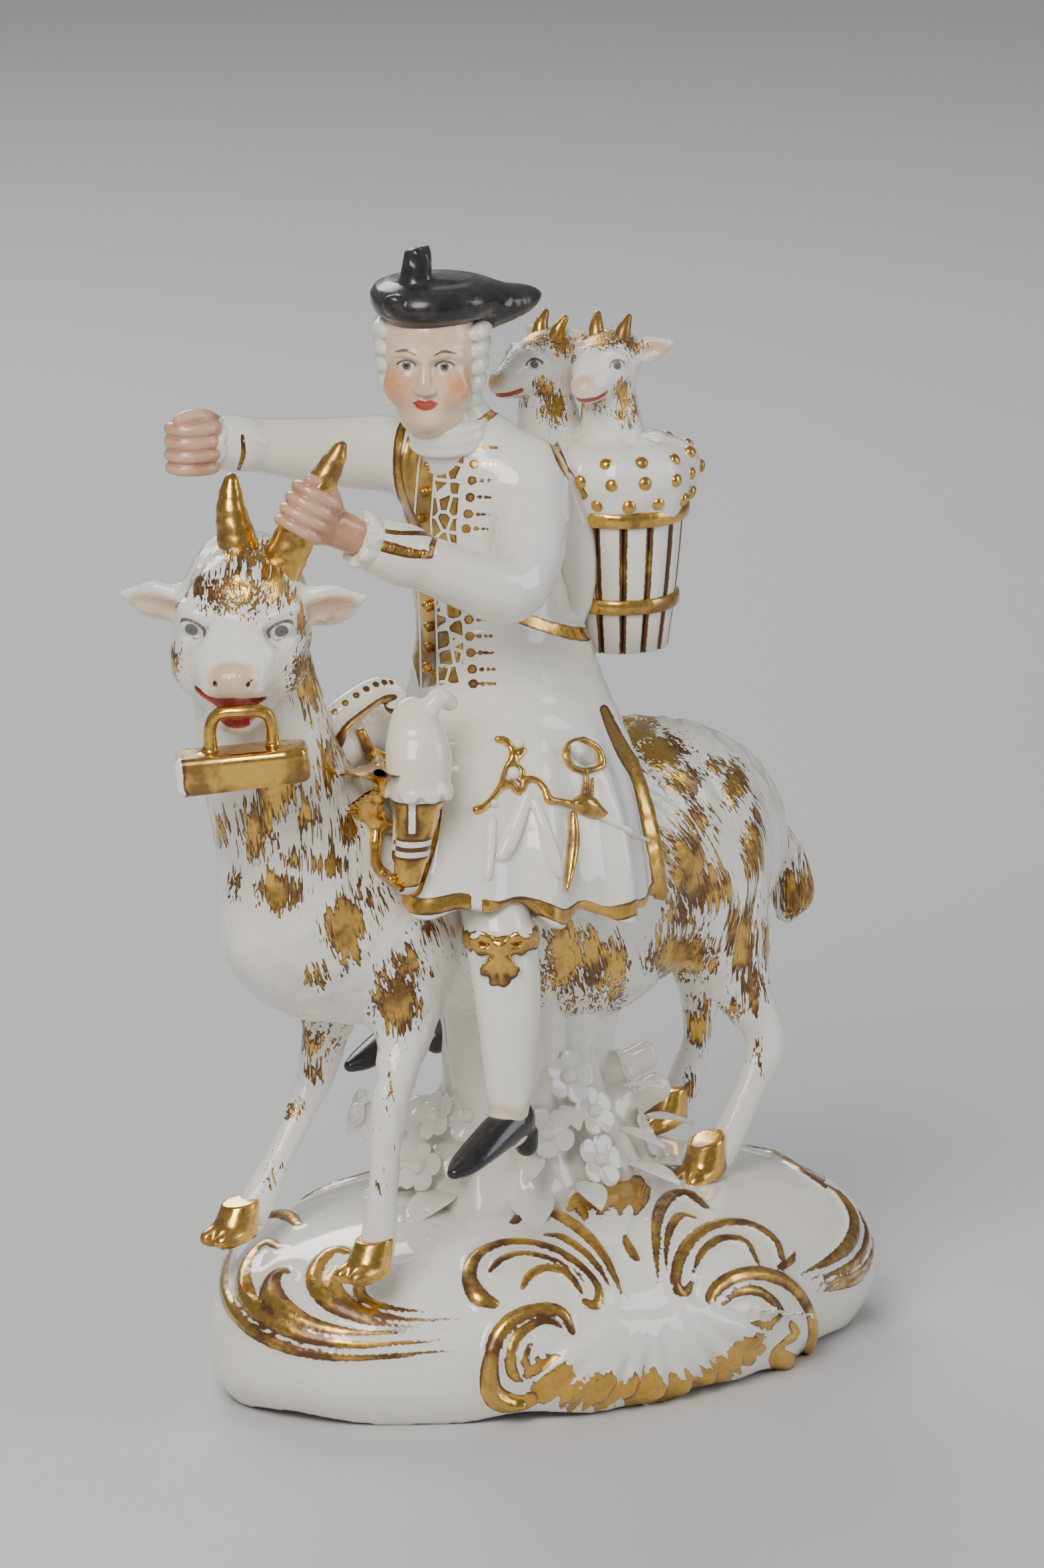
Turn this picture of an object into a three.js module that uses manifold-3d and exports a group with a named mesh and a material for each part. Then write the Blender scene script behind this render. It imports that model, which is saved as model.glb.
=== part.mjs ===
// Porcelain figure group: a rider on a goat, two kids in a tub on the rider's back, a scrolled base.
// Millimetres. The goat faces -X, its left side is -Y, +Z is up.
// The origin is the centre of the flat underside.

import * as THREE from "three";
import { mergeVertices } from "three/addons/utils/BufferGeometryUtils.js";
import Module from "manifold-3d";

const wasm = await Module();
wasm.setup();

const DEGREE = Math.PI / 180;
const UP = [0, 0, 1];
const ALONG = [1, 0, 0];
const ACROSS = [0, 1, 0];

// The mound base: an oval with a waved edge, a rounded side and a low dome.
const BASE = {
  halfLength: 84,
  halfWidth: 55,
  height: 36,
  bulgeHeight: 9,
  footInset: 0.06,
  domePower: 3.2,
  sidePower: 2.6,
  waves: 7,
  waveDepth: 0.018,
  frontCornerAngle: -150,
  frontCornerCut: 0.055,
};

// The relief on the base is drawn on a plane that faces the front quarter, then laid on the mound.
const DRAWING = { tilt: 14, eyeReach: 160, markStep: 2, markPrecision: 0.02 };

const GOAT = {
  headCentre: [-86, 0, 171],
  headTurn: 38,
  headNod: 29,
  furDepth: 0.035,
};

const RIDER = {
  headCentre: [-29.5, 1.5, 215.5],
  headTurn: 38,
  headNod: 2,
  headHalfWidth: 10,
  headHalfDepth: 11.5,
  coatFolds: 9,
  foldDepth: 0.05,
  farLegSetBack: 45,
};

const TUB = {
  centre: [14, -10],
  bottom: 150,
  rim: 183,
  bottomRadius: 9.6,
  rimRadius: 13.2,
  staves: 12,
  hoopHeights: [156, 178],
};

const KIDS = {
  rightCentre: [13, -7, 208.5],
  rightTurn: 20,
  leftCentre: [7.5, 6, 207.5],
  leftTurn: -10,
};

// Geometry helpers.

function solid(geometry) {
  geometry.deleteAttribute("normal");
  geometry.deleteAttribute("uv");
  const merged = mergeVertices(geometry, 1e-4);
  const mesh = new wasm.Mesh({
    numProp: 3,
    vertProperties: new Float32Array(merged.attributes.position.array),
    triVerts: new Uint32Array(merged.index.array),
  });
  return new wasm.Manifold(mesh);
}

function moveVertices(geometry, rule) {
  const position = geometry.attributes.position;
  for (let i = 0; i < position.count; i += 1) {
    const [x, y, z] = rule(position.getX(i), position.getY(i), position.getZ(i));
    position.setXYZ(i, x, y, z);
  }
  return geometry;
}

// A closed limb through stations [x, y, z, half size across, half size towards `up`].
function loft(stations, { sides = 8, steps = stations.length + 1, up = UP, ripple = () => 1 } = {}) {
  const places = stations.map(([x, y, z]) => new THREE.Vector3(x, y, z));
  const sizes = stations.map(([, , , a, b = a]) => new THREE.Vector3(a, b, 0));
  const path = new THREE.CatmullRomCurve3(places);
  const sizeCurve = new THREE.CatmullRomCurve3(sizes);
  const upward = new THREE.Vector3(...up);
  const geometry = new THREE.CylinderGeometry(1, 1, 1, sides, steps);
  moveVertices(geometry, (x, y, z) => {
    const t = THREE.MathUtils.clamp(0.5 - y, 0, 1);
    const centre = path.getPoint(t);
    const tangent = path.getTangent(t);
    const side = new THREE.Vector3().crossVectors(upward, tangent).normalize();
    const top = new THREE.Vector3().crossVectors(tangent, side);
    const size = sizeCurve.getPoint(t);
    const swell = ripple(t, Math.atan2(z, x));
    centre.addScaledVector(side, x * size.x * swell);
    centre.addScaledVector(top, z * size.y * swell);
    return centre.toArray();
  });
  return solid(geometry);
}

function ball([x, y, z], [a, b, c], { around = 10, down = 6, turn = 0, tilt = 0 } = {}) {
  const geometry = new THREE.SphereGeometry(1, around, down);
  geometry.rotateX(Math.PI / 2);
  geometry.scale(a, b, c);
  geometry.rotateY(tilt * DEGREE);
  geometry.rotateZ(turn * DEGREE);
  geometry.translate(x, y, z);
  return solid(geometry);
}

// A frame at a head or a hand: right, forward and up distances to a point.
function localFrame(centre, turn, nod) {
  const cosTurn = Math.cos(turn * DEGREE);
  const sinTurn = Math.sin(turn * DEGREE);
  const cosNod = Math.cos(nod * DEGREE);
  const sinNod = Math.sin(nod * DEGREE);
  const origin = new THREE.Vector3(...centre);
  const right = new THREE.Vector3(sinTurn, -cosTurn, 0);
  const forward = new THREE.Vector3(-cosTurn * cosNod, -sinTurn * cosNod, -sinNod);
  const upward = new THREE.Vector3().crossVectors(forward, right);
  const at = (r, f, u) => origin.clone().addScaledVector(right, r).addScaledVector(forward, f)
    .addScaledVector(upward, u).toArray();
  const stations = (rows) => rows.map(([r, f, u, a, b = a]) => [...at(r, f, u), a, b]);
  return { at, stations, right, forward, upward };
}

function mirrored(stations) {
  return stations.map(([x, y, z, ...sizes]) => [x, -y, z, ...sizes]);
}

function join(solids) {
  return solids.reduce((whole, piece) => whole.add(piece));
}

// The base.

function outlineReach(angle) {
  const oval = 1 / Math.hypot(Math.cos(angle) / BASE.halfLength, Math.sin(angle) / BASE.halfWidth);
  const wave = BASE.waveDepth * (1 + Math.cos(BASE.waves * angle));
  const corner = Math.max(0, Math.cos(angle - BASE.frontCornerAngle * DEGREE)) ** 6;
  return oval * (1 - wave - BASE.frontCornerCut * corner);
}

// The share of the outline's reach that the mound has at a height.
function reachShare(z) {
  if (z < BASE.bulgeHeight) {
    return 1 - BASE.footInset * ((BASE.bulgeHeight - z) / BASE.bulgeHeight) ** 2;
  }
  const rise = Math.min(1, (z - BASE.bulgeHeight) / (BASE.height - BASE.bulgeHeight));
  return (1 - rise ** BASE.sidePower) ** (1 / BASE.domePower);
}

function insideMound(point) {
  if (point.z > BASE.height) {
    return false;
  }
  const reach = outlineReach(Math.atan2(point.y, point.x)) * reachShare(Math.max(0, point.z));
  return Math.hypot(point.x, point.y) < reach;
}

function mound() {
  const heights = [0, 4, 9, 18, 27, 33.6];
  const profile = [new THREE.Vector2(0, 0)];
  for (const z of heights) {
    profile.push(new THREE.Vector2(reachShare(z), z));
  }
  profile.push(new THREE.Vector2(0, BASE.height));
  const geometry = new THREE.LatheGeometry(profile, 24);
  geometry.rotateX(Math.PI / 2);
  moveVertices(geometry, (x, y, z) => {
    const reach = outlineReach(Math.atan2(y, x));
    return [x * reach, y * reach, z];
  });
  return solid(geometry);
}

// Where the line of sight through (right, up) on the drawing plane meets the mound.
function ontoMound(right, up, turn) {
  const cosTurn = Math.cos(turn * DEGREE);
  const sinTurn = Math.sin(turn * DEGREE);
  const cosTilt = Math.cos(DRAWING.tilt * DEGREE);
  const sinTilt = Math.sin(DRAWING.tilt * DEGREE);
  const across = new THREE.Vector3(sinTurn, -cosTurn, 0);
  const rise = new THREE.Vector3(cosTurn * sinTilt, sinTurn * sinTilt, cosTilt);
  const toEye = new THREE.Vector3(-cosTurn * cosTilt, -sinTurn * cosTilt, sinTilt);
  const point = across.multiplyScalar(right).addScaledVector(rise, up);
  point.addScaledVector(toEye, DRAWING.eyeReach);
  let step = DRAWING.markStep;
  for (let i = 0; i < 400 && step > DRAWING.markPrecision; i += 1) {
    point.addScaledVector(toEye, -step);
    if (insideMound(point)) {
      point.addScaledVector(toEye, step);
      step /= 2;
    }
  }
  return point;
}

function outward(turn) {
  return [-Math.cos(turn * DEGREE), -Math.sin(turn * DEGREE), 1];
}

// One ridge of relief: points [right, up, half width] on the drawing plane.
function stroke(points, turn) {
  const stations = points.map(([right, up, width]) => [...ontoMound(right, up, turn).toArray(), 1.1 * width]);
  return loft(stations, { sides: 3, steps: points.length - 1, up: outward(turn) });
}

const C_SCROLLS = [
  [[-7, 9, 1.8], [-13, 14, 2.4], [-8, 21, 2.4], [4, 18, 2.2], [12, 10, 0.9]],
  [[51, 17, 1.8], [46, 24, 2.4], [37, 25, 2.4], [30, 20, 2.2], [27, 11, 0.9]],
  [[5, 4, 1.8], [0, 9, 2.6], [-8, 4, 2.6], [-10, -4, 2.6], [-4, -10, 2]],
  [[37, 6, 1.8], [44, 14, 2.6], [53, 11, 2.6], [56, 4, 2.6], [49, -2, 2]],
];

const PLUMES = [
  [[13, 18, 1], [6, 24, 1.8], [-5, 27, 1.6]],
  [[14, 20, 1], [9, 26, 1.6], [2, 29, 1.4]],
  [[26, 18, 1], [30, 25, 1.8], [36, 30, 1.6]],
];

const SIDE_SCROLLS = [
  [[-48, 25, 1.6], [-58, 18, 2.6], [-58, 8, 2.4], [-42, 2, 2], [-13, 3, 0.8]],
  [[-38, 19, 1.6], [-43, 13, 2.4], [-34, 7, 2], [-12, 8, 0.8]],
  [[60, 32, 1.4], [64, 25, 2.2], [60, 18, 2.2], [50, 16, 0.8]],
];

function fan(turn) {
  const strokes = [];
  for (const spread of [-1, 0, 1]) {
    const foot = ontoMound(15 + 1.5 * spread, 22, turn);
    const top = ontoMound(14 + 6 * spread, 31, turn);
    strokes.push(loft([
      [foot.x, foot.y, foot.z, 0.8],
      [top.x, top.y, top.z, 2.8, 2.2],
      [top.x, top.y, top.z + 3.4, 2, 1.6],
    ], { sides: 4, steps: 2, up: ACROSS }));
  }
  return join(strokes);
}

function shell(turn) {
  const ribs = [];
  for (const spread of [-1, -0.4, 0.4, 1]) {
    const root = ontoMound(22 + 4 * spread, 11, turn);
    const edge = ontoMound(23 + 18 * spread, -6 + 6 * spread * spread, turn);
    ribs.push(loft([
      [...root.toArray(), 1.4],
      [...edge.toArray(), 5.4],
    ], { sides: 3, steps: 1, up: outward(turn) }));
  }
  return join(ribs);
}

function base() {
  const front = 45;
  const back = 225;
  const pieces = [mound(), fan(front), shell(front)];
  for (const points of [...C_SCROLLS, ...PLUMES, ...SIDE_SCROLLS]) {
    pieces.push(stroke(points, front));
  }
  for (const points of C_SCROLLS.slice(2)) {
    pieces.push(stroke(points, back));
  }
  const whole = join(pieces);
  const floor = solid(new THREE.BoxGeometry(300, 300, 40).translate(0, 0, -20));
  return whole.subtract(floor);
}

// The goat.

function locks(t, angle) {
  return 1 + GOAT.furDepth * Math.sin(5 * angle + 26 * t) * Math.sin(34 * t + 2 * Math.sin(3 * angle));
}

function goatBody() {
  const body = loft([
    [-80, 0, 104, 6, 8],
    [-75, 0, 104.5, 13, 15.5],
    [-61, 0, 106, 20, 24],
    [-40, 0, 104, 21.5, 25.5],
    [-14, 0, 102, 22, 26.5],
    [15, 0, 103.5, 22, 27],
    [34, 0, 103, 20, 25.5],
    [47, 0, 100, 16.5, 22.5],
    [56, 0, 95, 11.5, 17],
    [62, 0, 92, 4, 7],
  ], { sides: 13, steps: 12, ripple: locks });
  const neck = loft([
    [-56, 0, 108, 19, 19],
    [-66, 0, 122, 19, 18.5],
    [-74, 0, 137, 16.5, 17],
    [-79, 0, 151, 14.5, 15],
    [-83, 0, 164, 13, 13],
    [-84, 0, 172, 8, 9],
  ], { sides: 10, steps: 6, up: ACROSS, ripple: locks });
  const tail = loft([
    [58, 0, 102, 3.6, 3.6],
    [67, 0, 99.5, 3.8, 4.2],
    [71.5, 0, 94.5, 3.9, 4.3],
    [75, 0, 88.4, 4.3, 4.8],
    [75.5, 0, 83.3, 4.1, 4.5],
    [74, 0, 79.4, 2, 2.2],
  ], { sides: 6, steps: 4, up: ACROSS });
  return join([body, neck, tail]);
}

function goatLegs() {
  const options = { sides: 6, steps: 8, up: ALONG };
  const nearFore = loft([
    [-53, -13, 100, 8.5, 11],
    [-54, -16, 88, 7, 8.5],
    [-57, -18, 79.5, 5.3, 5.6],
    [-61, -19.7, 73, 4.1, 4.4],
    [-63, -20, 66, 3.6, 3.9],
    [-65, -20, 50, 3.1, 3.4],
    [-66, -20, 41, 3.7, 4.2],
    [-67, -20, 35, 4.8, 6.2],
    [-68, -20, 31, 5, 6.4],
  ], options);
  const farFore = loft([
    [-42, 12, 98, 8, 10],
    [-43, 16, 83, 6.6, 7.6],
    [-43.8, 18.5, 72, 4.8, 5.2],
    [-45.5, 20, 63, 3.7, 4],
    [-50, 20, 55.5, 3.2, 3.4],
    [-57, 20, 45.8, 3.1, 3.3],
    [-63.4, 20, 38, 4.2, 4.8],
    [-67, 20, 32, 4.8, 6],
  ], options);
  const nearHind = loft([
    [38, -9, 104, 9.5, 16],
    [39.5, -13, 89, 9, 13.5],
    [42, -16.5, 75, 6, 8.6],
    [46.3, -19, 66, 4.4, 5.4],
    [47.4, -20, 59.5, 3.8, 4.4],
    [43, -20, 52, 3.3, 3.7],
    [38, -20, 44.5, 3.4, 3.8],
    [34.5, -20, 40.5, 4.2, 4.8],
    [29, -20, 35, 4.8, 5.2],
  ], options);
  const farHind = loft([
    [48, 8, 102, 9, 14],
    [56, 14, 86, 7, 9.5],
    [64, 19, 71, 4.8, 5.8],
    [68.5, 20, 59.5, 3.9, 4.6],
    [67, 20, 48, 3.1, 3.3],
    [63.5, 20, 40, 4, 4.6],
    [59, 20, 32, 4.8, 5.6],
  ], options);
  return join([nearFore, farFore, nearHind, farHind]);
}

function goatHead() {
  const head = localFrame(GOAT.headCentre, GOAT.headTurn, GOAT.headNod);
  const up = head.upward.toArray();
  const skull = loft(head.stations([
    [0, -14, 1, 5, 6],
    [0, -8, 0, 12.5, 13],
    [0, 2, -1, 14.5, 14.5],
    [0, 10, -1, 12.2, 12.5],
    [0, 18, -1, 8.8, 10],
    [0, 24, -1, 7.4, 8.4],
    [0, 26.5, -1, 4.5, 5],
  ]), { sides: 10, steps: 6, up });
  const mouth = loft(head.stations([
    [-9, 25, -4.2, 2.4, 1.6],
    [0, 26, -3.4, 3.4, 2.4],
    [9, 25, -4.2, 2.4, 1.6],
  ]), { sides: 6, steps: 3, up });
  const ear = (side) => loft(head.stations([
    [side * 11, -3, 1.5, 3, 2],
    [side * 15, -3, 1.2, 5, 2],
    [side * 20, -3.5, 1.6, 4.6, 1.8],
    [side * 24.5, -4, 2, 1, 0.7],
  ]), { sides: 5, steps: 3, up: head.forward.toArray() });
  const forelock = ball(head.at(0, 2, 12.5), [8, 8, 5], { around: 8, down: 5 });
  const rightHorn = loft([
    [-84.5, 0.5, 180, 4.6],
    [-85.5, 1.5, 188, 3.9],
    [-85.5, 2.5, 194, 3],
    [-84.5, 3, 199, 1.4],
  ], { sides: 6, steps: 3, up: ALONG });
  const leftHorn = loft([
    [-81, -5, 180, 4.6],
    [-78, -8, 189, 4],
    [-74.5, -11, 198, 3.3],
    [-71, -14, 206, 1.4],
  ], { sides: 6, steps: 3, up: ALONG });
  return join([skull, ear(-1), ear(1), forelock, rightHorn, leftHorn]).subtract(mouth);
}

// The flat iron that hangs by its handle from the goat's teeth.
function iron() {
  const head = localFrame(GOAT.headCentre, GOAT.headTurn, 0);
  const sole = new THREE.Shape([
    new THREE.Vector2(-14, -3.6),
    new THREE.Vector2(11, -3.6),
    new THREE.Vector2(13.6, 0),
    new THREE.Vector2(12, 4.2),
    new THREE.Vector2(-11, 4.2),
    new THREE.Vector2(-14, 1),
  ]);
  const body = new THREE.ExtrudeGeometry(sole, { depth: 11, bevelEnabled: false });
  body.translate(0, 0, -5.5);
  body.rotateZ(7 * DEGREE);
  const [x, y, z] = head.at(0.5, 21, -26.5);
  moveVertices(body, (a, b, c) => [
    x + head.right.x * a + head.forward.x * c,
    y + head.right.y * a + head.forward.y * c,
    z + b,
  ]);
  const handle = loft(head.stations([
    [-6, 21, -25, 1.3],
    [-6.3, 22, -19, 1.3],
    [-4.5, 22.5, -15.2, 1.3],
    [0, 22.5, -14.4, 1.3],
    [4.5, 22.5, -14.6, 1.3],
    [6.3, 22, -18, 1.3],
    [6, 21, -24, 1.3],
  ]), { sides: 4, steps: 8, up: head.forward.toArray() });
  return join([solid(body), handle]);
}

// The scrolled saddle front and the holster with its pistol.
function saddle() {
  const scrollEnd = loft([
    [-42, -9, 134, 4, 3],
    [-46, -9, 142, 4.4, 3],
    [-51, -9, 147, 4.2, 3],
    [-56, -9, 147, 3.4, 2.6],
    [-58, -9, 143, 2.6, 2.2],
  ], { sides: 5, steps: 4, up: ACROSS });
  const pommel = loft([
    [-36, 8, 132, 7, 5],
    [-44, 5, 139, 7, 4.5],
    [-50, 0, 143, 6.5, 4],
    [-56, -6, 146, 5, 3.4],
    [-60, -8, 142, 3, 2.4],
  ], { sides: 6, steps: 4, up: ACROSS });
  const flap = loft([
    [-44, -8, 133, 5, 8],
    [-52, -19, 130, 4.5, 8],
    [-58, -23, 119, 3.5, 6.5],
  ], { sides: 5, steps: 2, up: ALONG });
  const holster = loft([
    [-64, -26, 116, 2.6, 2.8],
    [-63, -27, 124, 3.8, 4],
    [-62, -27, 133, 4.6, 5],
    [-61, -26.5, 136, 6.4, 6.4],
    [-60, -25, 143, 7, 7],
    [-58, -22, 149, 4.5, 4.5],
  ], { sides: 7, steps: 6, up: ALONG });
  const pistolButt = loft([
    [-58, -24, 145, 2.4, 2.4],
    [-57, -25, 151, 2.4, 2.2],
    [-54, -26, 154, 2.2, 2],
    [-51, -26, 151, 1.8, 1.6],
  ], { sides: 5, steps: 5, up: ACROSS });
  return join([scrollEnd, pommel, flap, holster, pistolButt]);
}

// The rider.

function folds(t, angle) {
  const depth = RIDER.foldDepth * Math.max(0, t - 0.35) / 0.65;
  return 1 + depth * Math.sin(RIDER.coatFolds * angle);
}

function torso() {
  return loft([
    [-10, 0, 134, 20, 24],
    [-9, 0, 146, 18.5, 20.5],
    [-10, 0, 157, 16.8, 18],
    [-12, 0, 170, 17.5, 17.5],
    [-15, 0, 182, 18, 15.5],
    [-18, 0, 191, 15, 11.5],
    [-21, 0, 197, 9, 8],
    [-24, 0, 204, 7, 7],
    [-27, 0, 212, 6, 6],
  ], { sides: 11, steps: 8, up: ALONG });
}

function coatSkirts() {
  const near = [
    [-13, -5, 158, 9, 15],
    [-15, -9, 146, 13, 21],
    [-19, -14, 134, 15, 27],
    [-23, -18, 121, 16, 32],
    [-27, -21, 107, 15, 37],
  ];
  const far = [
    [-6, 4, 152, 9, 12],
    [-3, 9, 143, 12, 14],
    [0, 14, 133, 14, 17],
    [2, 18, 121, 15, 20],
    [3, 21, 107, 14, 23],
  ];
  const options = { sides: 20, steps: 3, up: ALONG, ripple: folds };
  return join([loft(near, options), loft(far, options)]);
}

// The far leg hangs behind the near one, so it doesn't show from the front quarter.
function farSide(stations) {
  return mirrored(stations).map(([x, ...rest]) => [x + RIDER.farLegSetBack, ...rest]);
}

function riderLegs() {
  const near = [
    [-36, -24, 124, 8, 9],
    [-44, -31, 112, 8, 8],
    [-44, -34, 101, 7.6, 7.8],
    [-43.5, -35, 89, 6.4, 7],
    [-44, -35.5, 77, 5.2, 5.6],
    [-44.5, -36, 66, 4, 4.6],
    [-44.5, -36, 61, 3.6, 5],
  ];
  const shoe = [
    [-38.5, -35.6, 63, 2, 3],
    [-42, -35.8, 63, 4, 4.4],
    [-48, -36.3, 61.5, 4.6, 4.4],
    [-56, -37, 58.5, 4.6, 3.2],
    [-63, -37.6, 56.2, 3.4, 2.2],
    [-66, -38, 55.6, 1, 1],
  ];
  const garter = [
    [-44, -33.2, 107, 7.4],
    [-44, -33.9, 103.5, 9.2],
    [-44, -34.5, 100, 7.4],
  ];
  const legOptions = { sides: 7, steps: 6, up: ALONG };
  const shoeOptions = { sides: 6, steps: 5, up: UP };
  const garterOptions = { sides: 7, steps: 2, up: ALONG };
  return join([
    loft(near, legOptions),
    loft(shoe, shoeOptions),
    loft(garter, garterOptions),
    loft(farSide(near), { ...legOptions, sides: 6 }),
    loft(farSide(shoe), { ...shoeOptions, sides: 5 }),
  ]);
}

// A closed fist, ridged across by the four curled fingers.
function fist(centre, turn, nod, size) {
  const hand = localFrame(centre, turn, nod);
  const knuckle = 2.5 * size;
  const rows = [[0, 0, 2.2 * knuckle, 2.6 * size]];
  for (let finger = 0; finger < 4; finger += 1) {
    const height = (1.5 - finger) * knuckle;
    rows.push([0, 1, height + 0.25 * knuckle, 5.3 * size]);
    rows.push([0, 1, height - 0.5 * knuckle, finger < 3 ? 4.4 * size : 2.6 * size]);
  }
  return loft(hand.stations(rows), {
    sides: 6,
    steps: rows.length - 1,
    up: hand.forward.toArray(),
  });
}

function frill(centre, direction, reach) {
  const axis = new THREE.Vector3(...direction).normalize();
  const ring = (shift, share) => [
    centre[0] + axis.x * shift,
    centre[1] + axis.y * shift,
    centre[2] + axis.z * shift,
    reach * share,
  ];
  const ruffle = (t, angle) => 1 + 0.09 * Math.cos(5 * angle);
  return loft([ring(-2.6, 0.68), ring(0.8, 1.04), ring(2.8, 0.84)], {
    sides: 10,
    steps: 2,
    up: UP,
    ripple: ruffle,
  });
}

function rightArm() {
  const sleeve = loft([
    [-14, 8, 188, 8, 9],
    [-24, 16, 192, 7.6, 8.4],
    [-36, 22, 193.5, 6.6, 7.2],
    [-47, 26.5, 195.5, 5.8, 6.2],
    [-57, 30, 197.5, 5.2, 5.4],
    [-61, 31.4, 198, 4.4, 4.6],
  ], { sides: 7, steps: 5 });
  const cuff = frill([-60.5, 31.2, 198], [-46, 18, 6], 6.4);
  return join([sleeve, cuff, fist([-67.5, 33, 198], 45, 0, 1.15)]);
}

function leftArm() {
  const sleeve = loft([
    [-14, -9, 189, 8, 9],
    [-18, -16, 184, 7.8, 8.4],
    [-27, -23, 176, 7.2, 7.6],
    [-36, -26, 172.5, 6.8, 7],
    [-47, -22.5, 177, 6.2, 6.2],
    [-57, -18, 182, 6, 6],
    [-62, -15.6, 184.4, 4.8, 4.8],
  ], { sides: 7, steps: 7, up: [0, -0.5, 0.86] });
  const cuff = frill([-63.5, -15, 185], [-26, 11, 12], 6.4);
  const wrist = loft([
    [-62, -15.5, 184, 4],
    [-69, -12.6, 188, 3.6],
    [-75, -10, 191, 3.4],
  ], { sides: 6, steps: 2 });
  return join([sleeve, cuff, wrist, fist([-76, -10, 192], 45, -20, 1.05)]);
}

function riderHead() {
  const head = localFrame(RIDER.headCentre, RIDER.headTurn, RIDER.headNod);
  const up = head.upward.toArray();
  const face = loft(head.stations([
    [0, 1, -13.4, 3, 3.4],
    [0, 1.5, -11, 6.6, 7],
    [0, 0.6, -5, 9, 9.6],
    [0, 0, 2, RIDER.headHalfWidth, RIDER.headHalfDepth],
    [0, -0.6, 8, 9.4, 10.6],
    [0, -0.6, 13, 4.5, 5],
  ]), { sides: 10, steps: 6, up: head.forward.toArray() });
  const nose = loft(head.stations([
    [0, 9.4, 3, 1, 1],
    [0, 11.4, -1.5, 1.5, 1.6],
    [0, 11.8, -4, 1.9, 1.8],
    [0, 9.6, -5.4, 1.2, 1],
  ]), { sides: 4, steps: 3, up: head.forward.toArray() });
  const hair = ball(head.at(0, -3, 0.5), [10.6, 11.8, 12.4], { around: 8, down: 4, turn: RIDER.headTurn });
  const pieces = [face, nose, hair];
  for (const side of [-1, 1]) {
    for (let row = 0; row < 3; row += 1) {
      const height = 2 - 5 * row;
      const spread = side * (10.2 - 0.5 * row);
      pieces.push(loft(head.stations([
        [spread * 0.94, 4 - row, height, 1.8],
        [spread, 1.6 - 0.8 * row, height, 3.2],
        [spread * 0.84, -6, height, 3],
      ]), { sides: 5, steps: 2, up }));
    }
  }
  pieces.push(loft([
    [-25, 0, 198, 8.4],
    [-25.6, 0, 201, 8.6],
    [-26, 0, 204, 7],
  ], { sides: 10, steps: 1, up: ALONG }));
  return join(pieces);
}

// A cocked hat: a shallow crown in a brim that is turned up, drawn to a point behind.
function hat() {
  const head = localFrame([-28.4, 2.4, 225.5], 10, -2);
  const brim = loft(head.stations([
    [0, -1, -0.5, 10.5, 10.5],
    [0, -1.5, 0.8, 13, 13.8],
    [0, -1.5, 3.2, 14.4, 15.4],
    [0, -1.5, 5, 13.4, 14.4],
    [0, -1, 7.2, 9.5, 10.5],
    [0, -1, 8.6, 4, 4.5],
  ]), {
    sides: 12,
    steps: 5,
    up: head.forward.toArray(),
    ripple: (t, angle) => 1 + 0.1 * Math.cos(3 * angle + 1.6),
  });
  const tip = loft([
    [-19, -3, 225.5, 6, 5],
    [-11.5, -5.5, 226, 4.4, 3.6],
    [-7, -7, 226, 1.4, 1.2],
  ], { sides: 5, steps: 2 });
  const plumeStump = loft([
    [-34.5, 1.5, 229, 3.6],
    [-34.5, 1.2, 235, 3.2],
    [-34, 1, 238, 3],
    [-34, 1, 240.5, 2.7],
  ], { sides: 6, steps: 3, up: ALONG, ripple: (t, angle) => 1 + 0.12 * Math.sin(3 * angle + 9 * t) });
  const button = ball([-40.8, -0.5, 228.8], [2.4, 2.4, 2.4], { around: 5, down: 4 });
  return join([brim, tip, plumeStump, button]);
}

// The chain with its hook, and the scissors, in low relief on the near skirt.
function skirtRelief() {
  const wire = (points, width, steps = points.length - 1) => loft(
    points.map(([x, y, z]) => [x, y, z, width]),
    { sides: 3, steps, up: [0, -1, 0] },
  );
  return join([
    wire([[-42, -26, 138], [-43, -29, 132], [-44, -31, 127], [-46, -33, 121]], 1.8),
    wire([[-53, -30.5, 119], [-47, -33, 121], [-38, -34, 123], [-28, -34, 124], [-22, -33.5, 121]], 1.3),
    wire([[-42, -33, 121], [-43, -35, 115], [-43.5, -36, 110.5]], 1.6),
    wire([[-22, -32, 131], [-22, -34, 124], [-24, -35.5, 114], [-25, -36, 108]], 1.4),
    wire([[-22, -33.5, 124], [-13, -34, 119], [-5, -34, 114]], 1.3),
    ball([-22, -31, 134], [3.6, 1.8, 3.6], { around: 7, down: 4 }),
  ]);
}

// The tub of staves on the rider's back, its hoops, the cloth over its rim and the two kids.

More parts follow.
